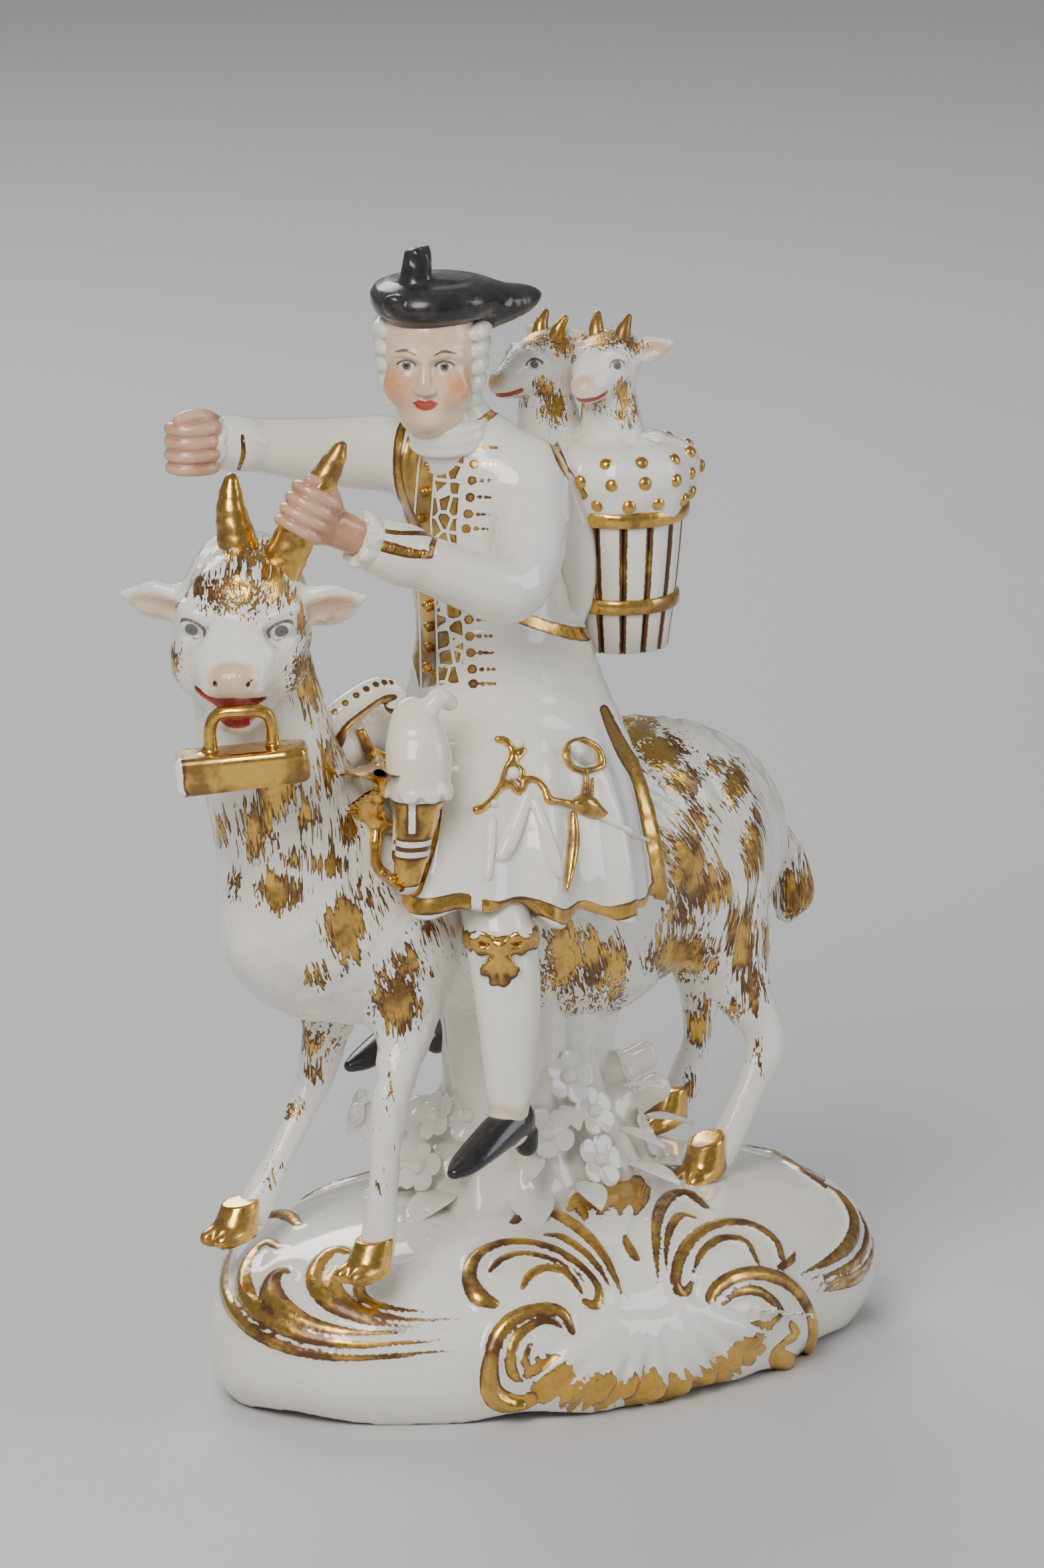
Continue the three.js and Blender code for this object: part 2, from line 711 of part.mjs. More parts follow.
function tub() {
  const [x, y] = TUB.centre;
  const barrel = loft([
    [x, y, TUB.bottom, TUB.bottomRadius],
    [x, y, TUB.rim, TUB.rimRadius],
  ], { sides: TUB.staves, steps: 1, up: ALONG });
  const pieces = [barrel];
  for (const height of TUB.hoopHeights) {
    const share = (height - TUB.bottom) / (TUB.rim - TUB.bottom);
    const reach = THREE.MathUtils.lerp(TUB.bottomRadius, TUB.rimRadius, share);
    pieces.push(loft([
      [x, y, height - 1.7, reach + 0.6],
      [x, y, height + 1.7, reach + 0.9],
    ], { sides: TUB.staves, steps: 1, up: ALONG }));
  }
  const cover = loft([
    [x + 0.5, y + 0.5, 177, 13.4],
    [x + 0.5, y + 0.5, 182, 15.2],
    [x, y, 188, 15],
    [x - 1, y + 1, 193, 12.5],
    [x - 2, y + 2, 197, 7],
  ], { sides: 12, steps: 4, up: ALONG, ripple: (t, angle) => 1 + 0.05 * Math.sin(6 * angle + 4) });
  const shoulderStrap = loft([
    [-12, -8, 191, 4, 2.6],
    [-3, -13, 185, 3.6, 2.6],
    [4, -17, 175, 3, 2],
  ], { sides: 5, steps: 2, up: ALONG });
  const seat = loft([
    [-4, -5, 152, 6, 4],
    [0, -6, 162, 9, 5],
    [0, -6, 174, 10, 6],
    [-3, -5, 186, 8, 6],
  ], { sides: 7, steps: 3, up: ALONG });
  return join([...pieces, cover, shoulderStrap, seat]);
}

function kid(centre, turn) {
  const head = localFrame(centre, turn, 8);
  const up = head.upward.toArray();
  const neck = loft([
    [centre[0] + 1.5, centre[1] - 0.5, 192, 7.4],
    [centre[0] + 1, centre[1], 199, 6.2],
    [centre[0] + 0.5, centre[1], 206, 5.4],
  ], { sides: 6, steps: 1, up: ALONG });
  const skull = loft(head.stations([
    [0, -7.5, 0.5, 2.6, 3],
    [0, -4, 1, 6.2, 6.4],
    [0, 2, 0.5, 6.6, 6.4],
    [0, 7, -0.8, 4.6, 5],
    [0, 10.5, -1.4, 3.8, 4],
    [0, 12, -1.4, 2, 2.2],
  ]), { sides: 8, steps: 4, up });
  const pieces = [neck, skull];
  for (const side of [-1, 1]) {
    pieces.push(loft(head.stations([
      [side * 3, -2, 4.5, 1.9],
      [side * 3.6, -3, 7.6, 1.5],
      [side * 3.8, -5, 10, 0.7],
    ]), { sides: 4, steps: 2, up: head.forward.toArray() }));
    pieces.push(loft(head.stations([
      [side * 5, -4, 2, 2, 1.2],
      [side * 9, -5, 3, 2.8, 1.2],
      [side * 12.5, -6, 4.4, 0.8, 0.6],
    ]), { sides: 4, steps: 2, up: head.forward.toArray() }));
  }
  return join(pieces);
}

// The stump under the goat's belly, with flowers and leaves.

function flower([x, y, z], turn, reach) {
  const out = [Math.cos(turn * DEGREE) * 0.86, Math.sin(turn * DEGREE) * 0.86, 0.5];
  const ring = (shift, share) => [x + out[0] * shift, y + out[1] * shift, z + out[2] * shift, reach * share];
  const petals = (t, angle) => 1 + 0.17 * Math.cos(5 * angle);
  return loft([ring(-5, 0.3), ring(0.8, 1)], {
    sides: 10,
    steps: 1,
    up: UP,
    ripple: petals,
  });
}

function leaf([x, y, z], turn, lean, length) {
  const outline = new THREE.Shape();
  outline.moveTo(0, 0);
  outline.lineTo(length * 0.3, length * 0.26);
  outline.lineTo(length * 0.62, length * 0.27);
  outline.lineTo(length, 0);
  outline.lineTo(length * 0.62, -length * 0.27);
  outline.lineTo(length * 0.3, -length * 0.26);
  outline.closePath();
  const geometry = new THREE.ExtrudeGeometry(outline, { depth: 1.6, bevelEnabled: false });
  geometry.translate(0, 0, -0.8);
  geometry.rotateY(lean * DEGREE);
  geometry.rotateZ(turn * DEGREE);
  geometry.translate(x, y, z);
  return solid(geometry);
}

function stump() {
  const trunk = loft([
    [0, 0, 30, 22, 33],
    [-1, 0, 38, 18, 27],
    [-2, 0, 50, 14, 23],
    [-3, 0, 64, 13, 21.5],
    [-2, 0, 82, 16, 24],
  ], {
    sides: 10,
    steps: 5,
    up: ALONG,
    ripple: (t, angle) => 1 + 0.07 * Math.sin(5 * angle + 3 * t),
  });
  const branch = loft([
    [-12, 4, 40, 7.5, 7.5],
    [-24, 11, 46, 5.5, 5.5],
    [-33, 17.5, 52, 3.5, 3.5],
  ], { sides: 6, steps: 2 });
  const pieces = [trunk, branch];
  // Rows: place, angle that the flower looks to, and its size.
  const flowers = [
    [-6, -15, 62, -105, 6.8], [-0.5, -17, 54, -90, 6.6], [-12, -15, 51, -125, 6.6],
    [-1, -19.5, 44, -92, 7], [14.5, -11.5, 58.5, -45, 6.4], [-26, 4, 54, 170, 6.4],
    [-35, 18, 54, 150, 6.4], [-29, 6, 43, -170, 6.6], [-23.5, -3, 54.7, -150, 6.6],
    [18, -14, 45, -50, 6.8], [2, 16.5, 50, 90, 7], [22, 10, 46, 30, 6.8],
  ];
  for (const [x, y, z, angle, size] of flowers) {
    pieces.push(flower([x, y, z], angle, size));
  }
  // Rows: place of the leaf's foot and the angle that it points to.
  const leaves = [[-12, -9, -130], [18, -9, -25], [-23, 1, 190], [-17, 10, 140], [18, 9, 45], [0, 13, 90]];
  for (const [x, y, angle] of leaves) {
    pieces.push(leaf([x, y, 37.5], angle, 6, 18));
  }
  return join(pieces);
}

// The whole group, fired in one piece.

const whole = join([
  base(),
  stump(),
  goatBody(),
  goatLegs(),
  goatHead(),
  iron(),
  saddle(),
  torso(),
  coatSkirts(),
  skirtRelief(),
  riderLegs(),
  rightArm(),
  leftArm(),
  riderHead(),
  hat(),
  tub(),
  kid(KIDS.rightCentre, KIDS.rightTurn),
  kid(KIDS.leftCentre, KIDS.leftTurn),
]);

function figureGeometry(manifold) {
  const mesh = manifold.getMesh();
  const geometry = new THREE.BufferGeometry();
  geometry.setAttribute("position", new THREE.BufferAttribute(new Float32Array(mesh.vertProperties), 3));
  geometry.setIndex(new THREE.BufferAttribute(new Uint32Array(mesh.triVerts), 1));
  geometry.computeVertexNormals();
  return geometry;
}

const porcelain = new THREE.MeshStandardMaterial({ color: 0xf0ece2, roughness: 0.18, metalness: 0 });
const figure = new THREE.Mesh(figureGeometry(whole), porcelain);
figure.name = "figure_group";

const group = new THREE.Group();
group.add(figure);

export default group;
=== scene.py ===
"""Porcelain figure group: a rider on a goat with two kids in a tub, on a scrolled and gilded base."""

import math

import bpy
import numpy as np
from mathutils import Matrix, Vector


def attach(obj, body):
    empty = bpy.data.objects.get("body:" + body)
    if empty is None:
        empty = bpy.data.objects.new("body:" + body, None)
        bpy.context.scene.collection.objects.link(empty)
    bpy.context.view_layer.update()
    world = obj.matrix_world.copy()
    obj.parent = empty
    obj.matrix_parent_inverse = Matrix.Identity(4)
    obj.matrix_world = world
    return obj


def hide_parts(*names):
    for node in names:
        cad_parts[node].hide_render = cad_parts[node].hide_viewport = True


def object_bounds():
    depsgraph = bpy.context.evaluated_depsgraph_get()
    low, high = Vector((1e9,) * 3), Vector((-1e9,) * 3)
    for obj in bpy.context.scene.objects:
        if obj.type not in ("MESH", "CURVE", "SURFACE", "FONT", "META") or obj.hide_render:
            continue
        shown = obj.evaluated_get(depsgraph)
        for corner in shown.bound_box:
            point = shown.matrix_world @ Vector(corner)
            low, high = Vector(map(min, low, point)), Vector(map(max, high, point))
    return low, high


bl_info = {
    "name": "Porcelain figure group",
    "version": (1, 0, 0),
    "blender": (4, 5, 0),
    "location": "3D View > Sidebar > Figure group",
    "description": "Models and paints a porcelain group of a rider on a goat",
    "category": "Object",
}

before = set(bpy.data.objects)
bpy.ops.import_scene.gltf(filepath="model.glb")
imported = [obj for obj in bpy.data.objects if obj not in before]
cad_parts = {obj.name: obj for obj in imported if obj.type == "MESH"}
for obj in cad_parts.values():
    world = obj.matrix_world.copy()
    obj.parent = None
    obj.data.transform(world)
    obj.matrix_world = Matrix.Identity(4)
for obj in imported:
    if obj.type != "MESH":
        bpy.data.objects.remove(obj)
cad_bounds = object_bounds()

MM = 0.001
NODE = "figure_group"
# The depth of gilding that covers a piece all over.
ALL_GOLD = 4.0
RANDOM_SEED = 7


def chosen(name):
    """A size from the scene's settings: lengths in millimetres, counts as they are."""
    value = getattr(bpy.context.scene.figure_sizes, name)
    return value if isinstance(value, int) else value / MM


# Modelling helpers. All of them work in millimetres, in the frame of the CAD model.


def unit(vectors):
    """Vectors scaled to length one."""
    vectors = np.asarray(vectors, float)
    return vectors / np.maximum(np.linalg.norm(vectors, axis=-1, keepdims=True), 1e-9)


def spline(rows, legs):
    """A smooth curve through the rows, with `legs` steps between each two."""
    rows = np.asarray(rows, float)
    ends = np.vstack([2 * rows[0] - rows[1], rows, 2 * rows[-1] - rows[-2]])
    t = np.linspace(0, 1, legs, endpoint=False)[:, None]
    pieces = []
    for a, b, c, d in zip(ends, ends[1:], ends[2:], ends[3:]):
        pieces.append(0.5 * (2 * b + (c - a) * t + (2 * a - 5 * b + 4 * c - d) * t**2 + (3 * b - a - 3 * c + d) * t**3))
    pieces.append(rows[-1:])
    return np.vstack(pieces)


def smooth_step(low, high, value):
    """0 below low, 1 above high, and smooth between."""
    t = np.clip((value - low) / (high - low), 0, 1)
    return t * t * (3 - 2 * t)


def lattice_noise(points, seed=RANDOM_SEED):
    """Smooth value noise from -1 to 1, one lattice cell a unit."""
    base = np.floor(points).astype(np.int64)
    part = points - base
    part = part * part * (3 - 2 * part)
    total = np.zeros(len(points))
    for corner in range(8):
        step = np.array([corner & 1, corner >> 1 & 1, corner >> 2 & 1])
        cell = base + step
        mixed = cell[:, 0] * 374761393 + cell[:, 1] * 668265263 + cell[:, 2] * 2147483647 + seed * 974634777
        mixed = (mixed ^ (mixed >> 13)) * 1274126177
        value = ((mixed ^ (mixed >> 16)) & 0xFFFF) / 32767.5 - 1
        weight = np.prod(np.where(step, part, 1 - part), axis=1)
        total += value * weight
    return total


class LocalFrame:
    """Right, forward and up at a head or a hand."""

    def __init__(self, centre, turn, nod=0.0, roll=0.0):
        turn, nod, roll = math.radians(turn), math.radians(nod), math.radians(roll)
        right = np.array([math.sin(turn), -math.cos(turn), 0.0])
        forward = np.array([-math.cos(turn) * math.cos(nod), -math.sin(turn) * math.cos(nod), -math.sin(nod)])
        upward = np.cross(forward, right)
        self.centre = np.array(centre, float)
        self.right = right * math.cos(roll) + upward * math.sin(roll)
        self.up = upward * math.cos(roll) - right * math.sin(roll)
        self.forward = forward
        self.axes = np.array([self.right, self.forward, self.up])

    def at(self, place):
        """A place given as right, forward and up distances."""
        return self.centre + np.asarray(place, float) @ self.axes

    def rows(self, rows):
        """Rows of right, forward, up and sizes, with the place turned into x, y, z."""
        return [[*self.at(row[:3]), *row[3:]] for row in rows]

    def inside(self, points):
        """Points as right, forward and up distances."""
        return (points - self.centre) @ self.axes.T

    def halves(self):
        """This frame's mirror image and the frame itself, for what comes in pairs."""
        pair = [LocalFrame(self.centre, 0), LocalFrame(self.centre, 0)]
        for side, half in zip((-1, 1), pair):
            half.right, half.forward, half.up = side * self.right, self.forward, self.up
            half.axes = np.array([half.right, half.forward, half.up])
        return pair

    def ball(self, place, sizes):
        """A ball placed and sized in this frame."""
        return Ball(self.at(place), sizes, self.axes)

    def tube(self, rows, up=(0, 0, 1), legs=3):
        """A limb placed in this frame."""
        return Tube(self.rows(rows), up, legs)


class Tube:
    """A limb through rows of x, y, z, half size across and half size towards `up`."""

    def __init__(self, rows, up=(0, 0, 1), legs=3):
        rows = [list(row) + [row[3]] * (5 - len(row)) for row in rows]
        line = spline(rows, legs)
        self.centre = line[:, :3]
        self.size = np.maximum(line[:, 3:5], 0.12)
        self.tangent = unit(np.gradient(self.centre, axis=0))
        self.side = unit(np.cross(up, self.tangent))
        self.top = np.cross(self.tangent, self.side)
        reach = self.size.max(1)[:, None]
        self.low = (self.centre - reach).min(0)
        self.high = (self.centre + reach).max(0)

    def distance(self, points, margin=9.0):
        """Distance from the limb's surface, below zero inside it."""
        out = np.full(len(points), 60.0)
        for j in range(len(self.centre) - 1):
            start, end = self.centre[j], self.centre[j + 1]
            reach = self.size[j:j + 2].max() + margin
            near = np.flatnonzero(np.all(np.abs(points - (start + end) / 2) < reach + np.abs(end - start) / 2, axis=1))
            if not len(near):
                continue
            along = end - start
            rel = points[near] - start
            t = np.clip(rel @ along / max(along @ along, 1e-9), 0, 1)
            rel -= t[:, None] * along
            a = self.size[j, 0] + t * (self.size[j + 1, 0] - self.size[j, 0])
            b = self.size[j, 1] + t * (self.size[j + 1, 1] - self.size[j, 1])
            c = np.minimum(a, b)
            x = rel @ self.side[j] + t * (rel @ (self.side[j + 1] - self.side[j]))
            y = rel @ self.top[j] + t * (rel @ (self.top[j + 1] - self.top[j]))
            z = rel @ unit(along)
            g = np.sqrt((x / a) ** 2 + (y / b) ** 2 + (z / c) ** 2) + 1e-6
            slope = np.sqrt((x / a**2) ** 2 + (y / b**2) ** 2 + (z / c**2) ** 2) + 1e-9
            out[near] = np.minimum(out[near], (g - 1) * g / slope)
        return out


class Ball:
    """An ellipsoid with half sizes along the frame's right, forward and up."""

    def __init__(self, centre, sizes, axes=None):
        self.centre = np.asarray(centre, float)
        self.sizes = np.asarray(sizes, float) * np.ones(3)
        self.axes = np.eye(3) if axes is None else axes
        reach = self.sizes.max()
        self.low = self.centre - reach
        self.high = self.centre + reach

    def distance(self, points):
        """Distance from the surface, below zero inside."""
        local = (points - self.centre) @ self.axes.T
        g = np.linalg.norm(local / self.sizes, axis=1) + 1e-6
        slope = np.linalg.norm(local / self.sizes**2, axis=1) + 1e-9
        return (g - 1) * g / slope


class Turned:
    """A solid of oval sections with flat ends: rows of height, middle right and forward, and both half sizes."""

    def __init__(self, local, rows):
        self.local = local
        self.rows = np.asarray(rows, float).T
        corners = [local.at((r + i * w, f + j * d, u)) for u, r, f, w,
                   d in self.rows.T for i in (-1, 1) for j in (-1, 1)]
        self.low, self.high = np.min(corners, axis=0), np.max(corners, axis=0)

    def distance(self, points):
        """Distance from the surface, below zero inside."""
        right, forward, up = self.local.inside(points).T
        middle_right, middle_forward, wide, deep = (np.interp(up, self.rows[0], row) for row in self.rows[1:])
        side = (np.hypot((right - middle_right) / wide, (forward - middle_forward) / deep) - 1) * np.minimum(wide, deep)
        return np.maximum.reduce([side, self.rows[0][0] - up, up - self.rows[0][-1]])


class Field:
    """Any solid given by a function of points."""

    def __init__(self, low, high, rule):
        self.low = np.asarray(low, float)
        self.high = np.asarray(high, float)
        self.distance = rule


class Clay:
    """A solid built of shapes that melt into each other, then turned into a mesh."""

    CELLS = 6

    def __init__(self, step):
        self.step = step
        self.shapes = []
        self.rules = []
        self.points = None

    def add(self, shape, blend=1.0):
        """Joins a shape on."""
        self.shapes.append((shape, blend, 1))
        return self

    def cut(self, shape, blend=0.5):
        """Takes a shape away."""
        self.shapes.append((shape, blend, -1))
        return self

    def press(self, rule):
        """Adds a rule that raises or lowers the finished surface: points in, heights out."""
        self.rules.append(rule)
        return self

    def value(self, points, fine=True):
        """The field at the points."""
        out = np.full(len(points), 60.0)
        for shape, blend, sign in self.shapes:
            margin = 8 + blend
            near = np.flatnonzero(np.all((points > shape.low - margin) & (points < shape.high + margin), axis=1))
            if not len(near):
                continue
            new = shape.distance(points[near]) * sign
            old = out[near]
            h = np.clip(0.5 + 0.5 * sign * (old - new) / blend, 0, 1)
            out[near] = old + (new - old) * h - sign * blend * h * (1 - h)
        if fine:
            for rule in self.rules:
                out -= rule(points)
        return out

    def mesh(self):
        """Makes the surface's points, faces, normals and hollows, and gives the points."""
        added = [shape for shape, _, sign in self.shapes if sign > 0]
        low = np.min([shape.low for shape in added], axis=0) - 4 * self.step
        high = np.max([shape.high for shape in added], axis=0) + 4 * self.step
        size = self.CELLS * self.step
        blocks = np.ceil((high - low) / size).astype(int)
        index = np.stack(np.meshgrid(*[np.arange(n) for n in blocks], indexing="ij"), -1).reshape(-1, 3)
        middle = self.value(low + (index + 0.5) * size, fine=False)
        kept = np.abs(middle) < size * 0.87 + 2.5
        cells = np.stack(np.meshgrid(*[np.arange(self.CELLS)] * 3, indexing="ij"), -1).reshape(-1, 3)
        grid = np.repeat(middle[:, None], self.CELLS**3, axis=1).astype(np.float32)
        places = (index[kept][:, None, :] * self.CELLS + cells[None]).reshape(-1, 3)
        grid[kept] = self.value(low + places * self.step).reshape(-1, self.CELLS**3)
        grid = grid.reshape(*blocks, *[self.CELLS] * 3).transpose(0, 3, 1, 4, 2, 5)
        grid = np.ascontiguousarray(grid).reshape(blocks * self.CELLS)
        vertices, quads = surface_net(grid)
        for _ in range(3):
            value = sample(grid, vertices)
            slope = np.stack([
                sample(grid, vertices + 0.6 * axis) - sample(grid, vertices - 0.6 * axis) for axis in np.eye(3)
            ], -1) / 1.2
            move = value[:, None] * slope / np.maximum((slope**2).sum(1), 0.02)[:, None]
            vertices = vertices - np.clip(move, -0.4, 0.4)
        normal = unit(slope)
        # How deep each point lies in a hollow: the materials darken colours by it, as painted shade.
        self.hollow = 1 - sample(grid, vertices + normal * 1.6 / self.step) / 1.6
        self.normal = normal
        self.points = low + vertices * self.step
        self.faces = quads
        return self.points


def sample(grid, places):
    """The grid's values between its points."""
    places = np.clip(places, 0, np.array(grid.shape) - 1.001)
    base = places.astype(int)
    part = places - base
    total = np.zeros(len(places))
    for corner in range(8):
        step = np.array([corner & 1, corner >> 1 & 1, corner >> 2 & 1])
        i, j, k = (base + step).T
        total += grid[i, j, k] * np.prod(np.where(step, part, 1 - part), axis=1)
    return total


def surface_net(grid):
    """Vertices in grid units and quads of the surface where the grid is zero."""
    inside = grid < 0
    count = np.zeros([n - 1 for n in grid.shape], np.int8)
    corners = [np.array([c & 1, c >> 1 & 1, c >> 2 & 1]) for c in range(8)]
    for corner in corners:
        i, j, k = corner
        count += inside[i:grid.shape[0] - 1 + i, j:grid.shape[1] - 1 + j, k:grid.shape[2] - 1 + k]
    cells = np.argwhere((count > 0) & (count < 8))
    number = np.full(count.shape, -1, np.int32)
    number[tuple(cells.T)] = np.arange(len(cells))
    values = [grid[tuple((cells + corner).T)] for corner in corners]
    place = np.zeros((len(cells), 3))
    crossings = np.zeros(len(cells))
    for a in range(8):
        for b in range(a + 1, 8):
            if np.abs(corners[a] - corners[b]).sum() != 1:
                continue
            crossed = (values[a] < 0) != (values[b] < 0)
            share = np.where(crossed, values[a] / np.where(crossed, values[a] - values[b], 1), 0)
            place += crossed[:, None] * (corners[a] + share[:, None] * (corners[b] - corners[a]))
            crossings += crossed
    vertices = cells + place / crossings[:, None]
    quads = []
    for axis in range(3):
        first, second = np.eye(3, dtype=int)[(axis + 1) % 3], np.eye(3, dtype=int)[(axis + 2) % 3]
        lower = [slice(1, -1)] * 3
        upper = [slice(1, -1)] * 3
        lower[axis] = slice(0, -1)
        upper[axis] = slice(1, None)
        changed = inside[tuple(lower)] != inside[tuple(upper)]
        edges = np.argwhere(changed) + 1 - np.eye(3, dtype=int)[axis]
        around = [edges - first - second, edges - second, edges, edges - first]
        quad = np.stack([number[tuple(cell.T)] for cell in around], -1)
        outward = inside[tuple(edges.T)]
        quad[~outward] = quad[~outward][:, ::-1]
        quads.append(quad)
    return vertices, np.vstack(quads)


def adopted(name, mesh):
    """The mesh as an object that rides on the part's one body and stands for its one CAD node."""
    obj = bpy.data.objects.new(name, mesh)
    bpy.context.scene.collection.objects.link(obj)
    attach(obj, "root")
    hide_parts(NODE)
    return obj


def new_object(name, clay, materials, hollow=1.0, **attributes):
    """The clay as a smooth closed mesh inside the CAD model's box, with its hollows (used for painted shade) and other
    values on its points.
    """
    if clay.points is None:
        clay.mesh()
    # `hollow` sets how strongly the materials paint shade into this piece's hollows; 0 paints none.
    if hollow:
        attributes["hollow"] = hollow * clay.hollow
    faces = clay.faces
    mesh = bpy.data.meshes.new(name)
    mesh.vertices.add(len(clay.points))
    places = np.clip(clay.points * MM, *cad_bounds)
    mesh.vertices.foreach_set("co", places.astype(np.float32).ravel())
    mesh.loops.add(faces.size)
    mesh.loops.foreach_set("vertex_index", faces.astype(np.int32).ravel())
    mesh.polygons.add(len(faces))
    mesh.polygons.foreach_set("loop_start", np.arange(0, faces.size, faces.shape[1], dtype=np.int32))
    mesh.update(calc_edges=True)
    mesh.shade_smooth()
    for title, values in attributes.items():
        values = np.full(len(places), values, np.float32) if np.ndim(values) == 0 else np.asarray(values, np.float32)
        kind, key = ("FLOAT", "value") if values.ndim == 1 else ("FLOAT_VECTOR", "vector")
        mesh.attributes.new(title, kind, "POINT").data.foreach_set(key, values.ravel())
    for material in materials:
        mesh.materials.append(material)
    return adopted(name, mesh)


def line_distance(points, lines, margin=6.0):
    """Half width less distance from the nearest painted line: above zero on the paint. Rows of x, y, z, half width."""
    out = np.full(len(points), -margin)
    for line in lines:
        line = np.asarray(line, float)
        for start, end in zip(line, line[1:]):
            middle = (start[:3] + end[:3]) / 2
            reach = np.abs(end[:3] - start[:3]) / 2 + margin + max(start[3], end[3])
            near = np.flatnonzero(np.all(np.abs(points - middle) < reach, axis=1))
            if not len(near):
                continue
            along = end[:3] - start[:3]
            rel = points[near] - start[:3]
            t = np.clip(rel @ along / max(along @ along, 1e-9), 0, 1)
            gap = np.linalg.norm(rel - t[:, None] * along, axis=1)
            out[near] = np.maximum(out[near], start[3] + t * (end[3] - start[3]) - gap)
    return out


# The mound base and its scrolls.

BASE = {
    "half_length": 84.0,
    "half_width": 55.0,
    "height": 36.0,
    "bulge_height": 9.0,
    "foot_inset": 0.06,
    "dome_power": 3.2,
    "side_power": 2.6,
    "waves": 7,
    "wave_depth": 0.018,
    "corner_angle": -150.0,
    "corner_cut": 0.055,
}
FRONT = 45.0
BACK = 225.0
DRAWING_TILT = 14.0

# The scrolls are drawn on a plane that faces the front quarter: rows of right, up and half width.
LEFT_SCROLLS = [
    [(-49.5, 25.5, 1.0), (-52.5, 27.2, 1.9), (-57, 26.2, 1.7), (-61.5, 22.6, 1.5), (-64.2, 17.8, 1.5),
     (-64.4, 12.8, 1.6), (-62, 8, 1.6), (-56.8, 3.6, 1.4), (-49, 0.7, 1.2), (-40, -0.5, 0.9), (-30, -0.2, 0.7),
     (-20.5, 0.7, 0.4), (-13, 1.4, 0.2)],
    [(-53.4, 21.2, 0.9), (-56, 21.8, 1.6), (-59, 19.2, 1.8), (-60.5, 15.6, 2.0), (-59.6, 11.4, 2.3),
     (-56.2, 7.6, 2.2), (-50.8, 4.7, 1.8), (-44, 2.7, 1.3), (-34.4, 2.0, 0.8), (-24.5, 2.7, 0.5), (-13, 3.7, 0.2)],
    [(-51.6, 16.2, 1.0), (-53.4, 16, 1.8), (-54.8, 13.5, 2.4), (-53.8, 10.2, 2.8), (-50, 7.5, 2.2),
     (-44.5, 5.5, 1.5), (-36, 4.4, 0.8), (-26, 4.7, 0.4), (-15, 5.6, 0.2)],
    [(-38.6, 20.2, 1.0), (-42, 20.6, 1.7), (-45.4, 17.4, 1.9), (-45.6, 13.6, 2.0), (-43, 10.4, 1.9),
     (-38.4, 8, 1.4), (-31, 6, 0.8), (-22, 5.5, 0.3)],
    [(-39.3, 16.4, 0.9), (-41.6, 16.3, 1.6), (-42, 13.2, 2.0), (-39.6, 10.4, 1.9), (-34.5, 8.3, 1.2),
     (-26.5, 7, 0.7), (-17, 7.3, 0.4), (-10.5, 8, 0.2)],
    [(-35, 14.4, 0.7), (-36.8, 13.6, 1.3), (-36, 11.3, 1.4), (-33, 9.9, 1.1), (-27, 8.9, 0.6), (-19, 8.6, 0.3),
     (-11.5, 8.8, 0.15)],
]
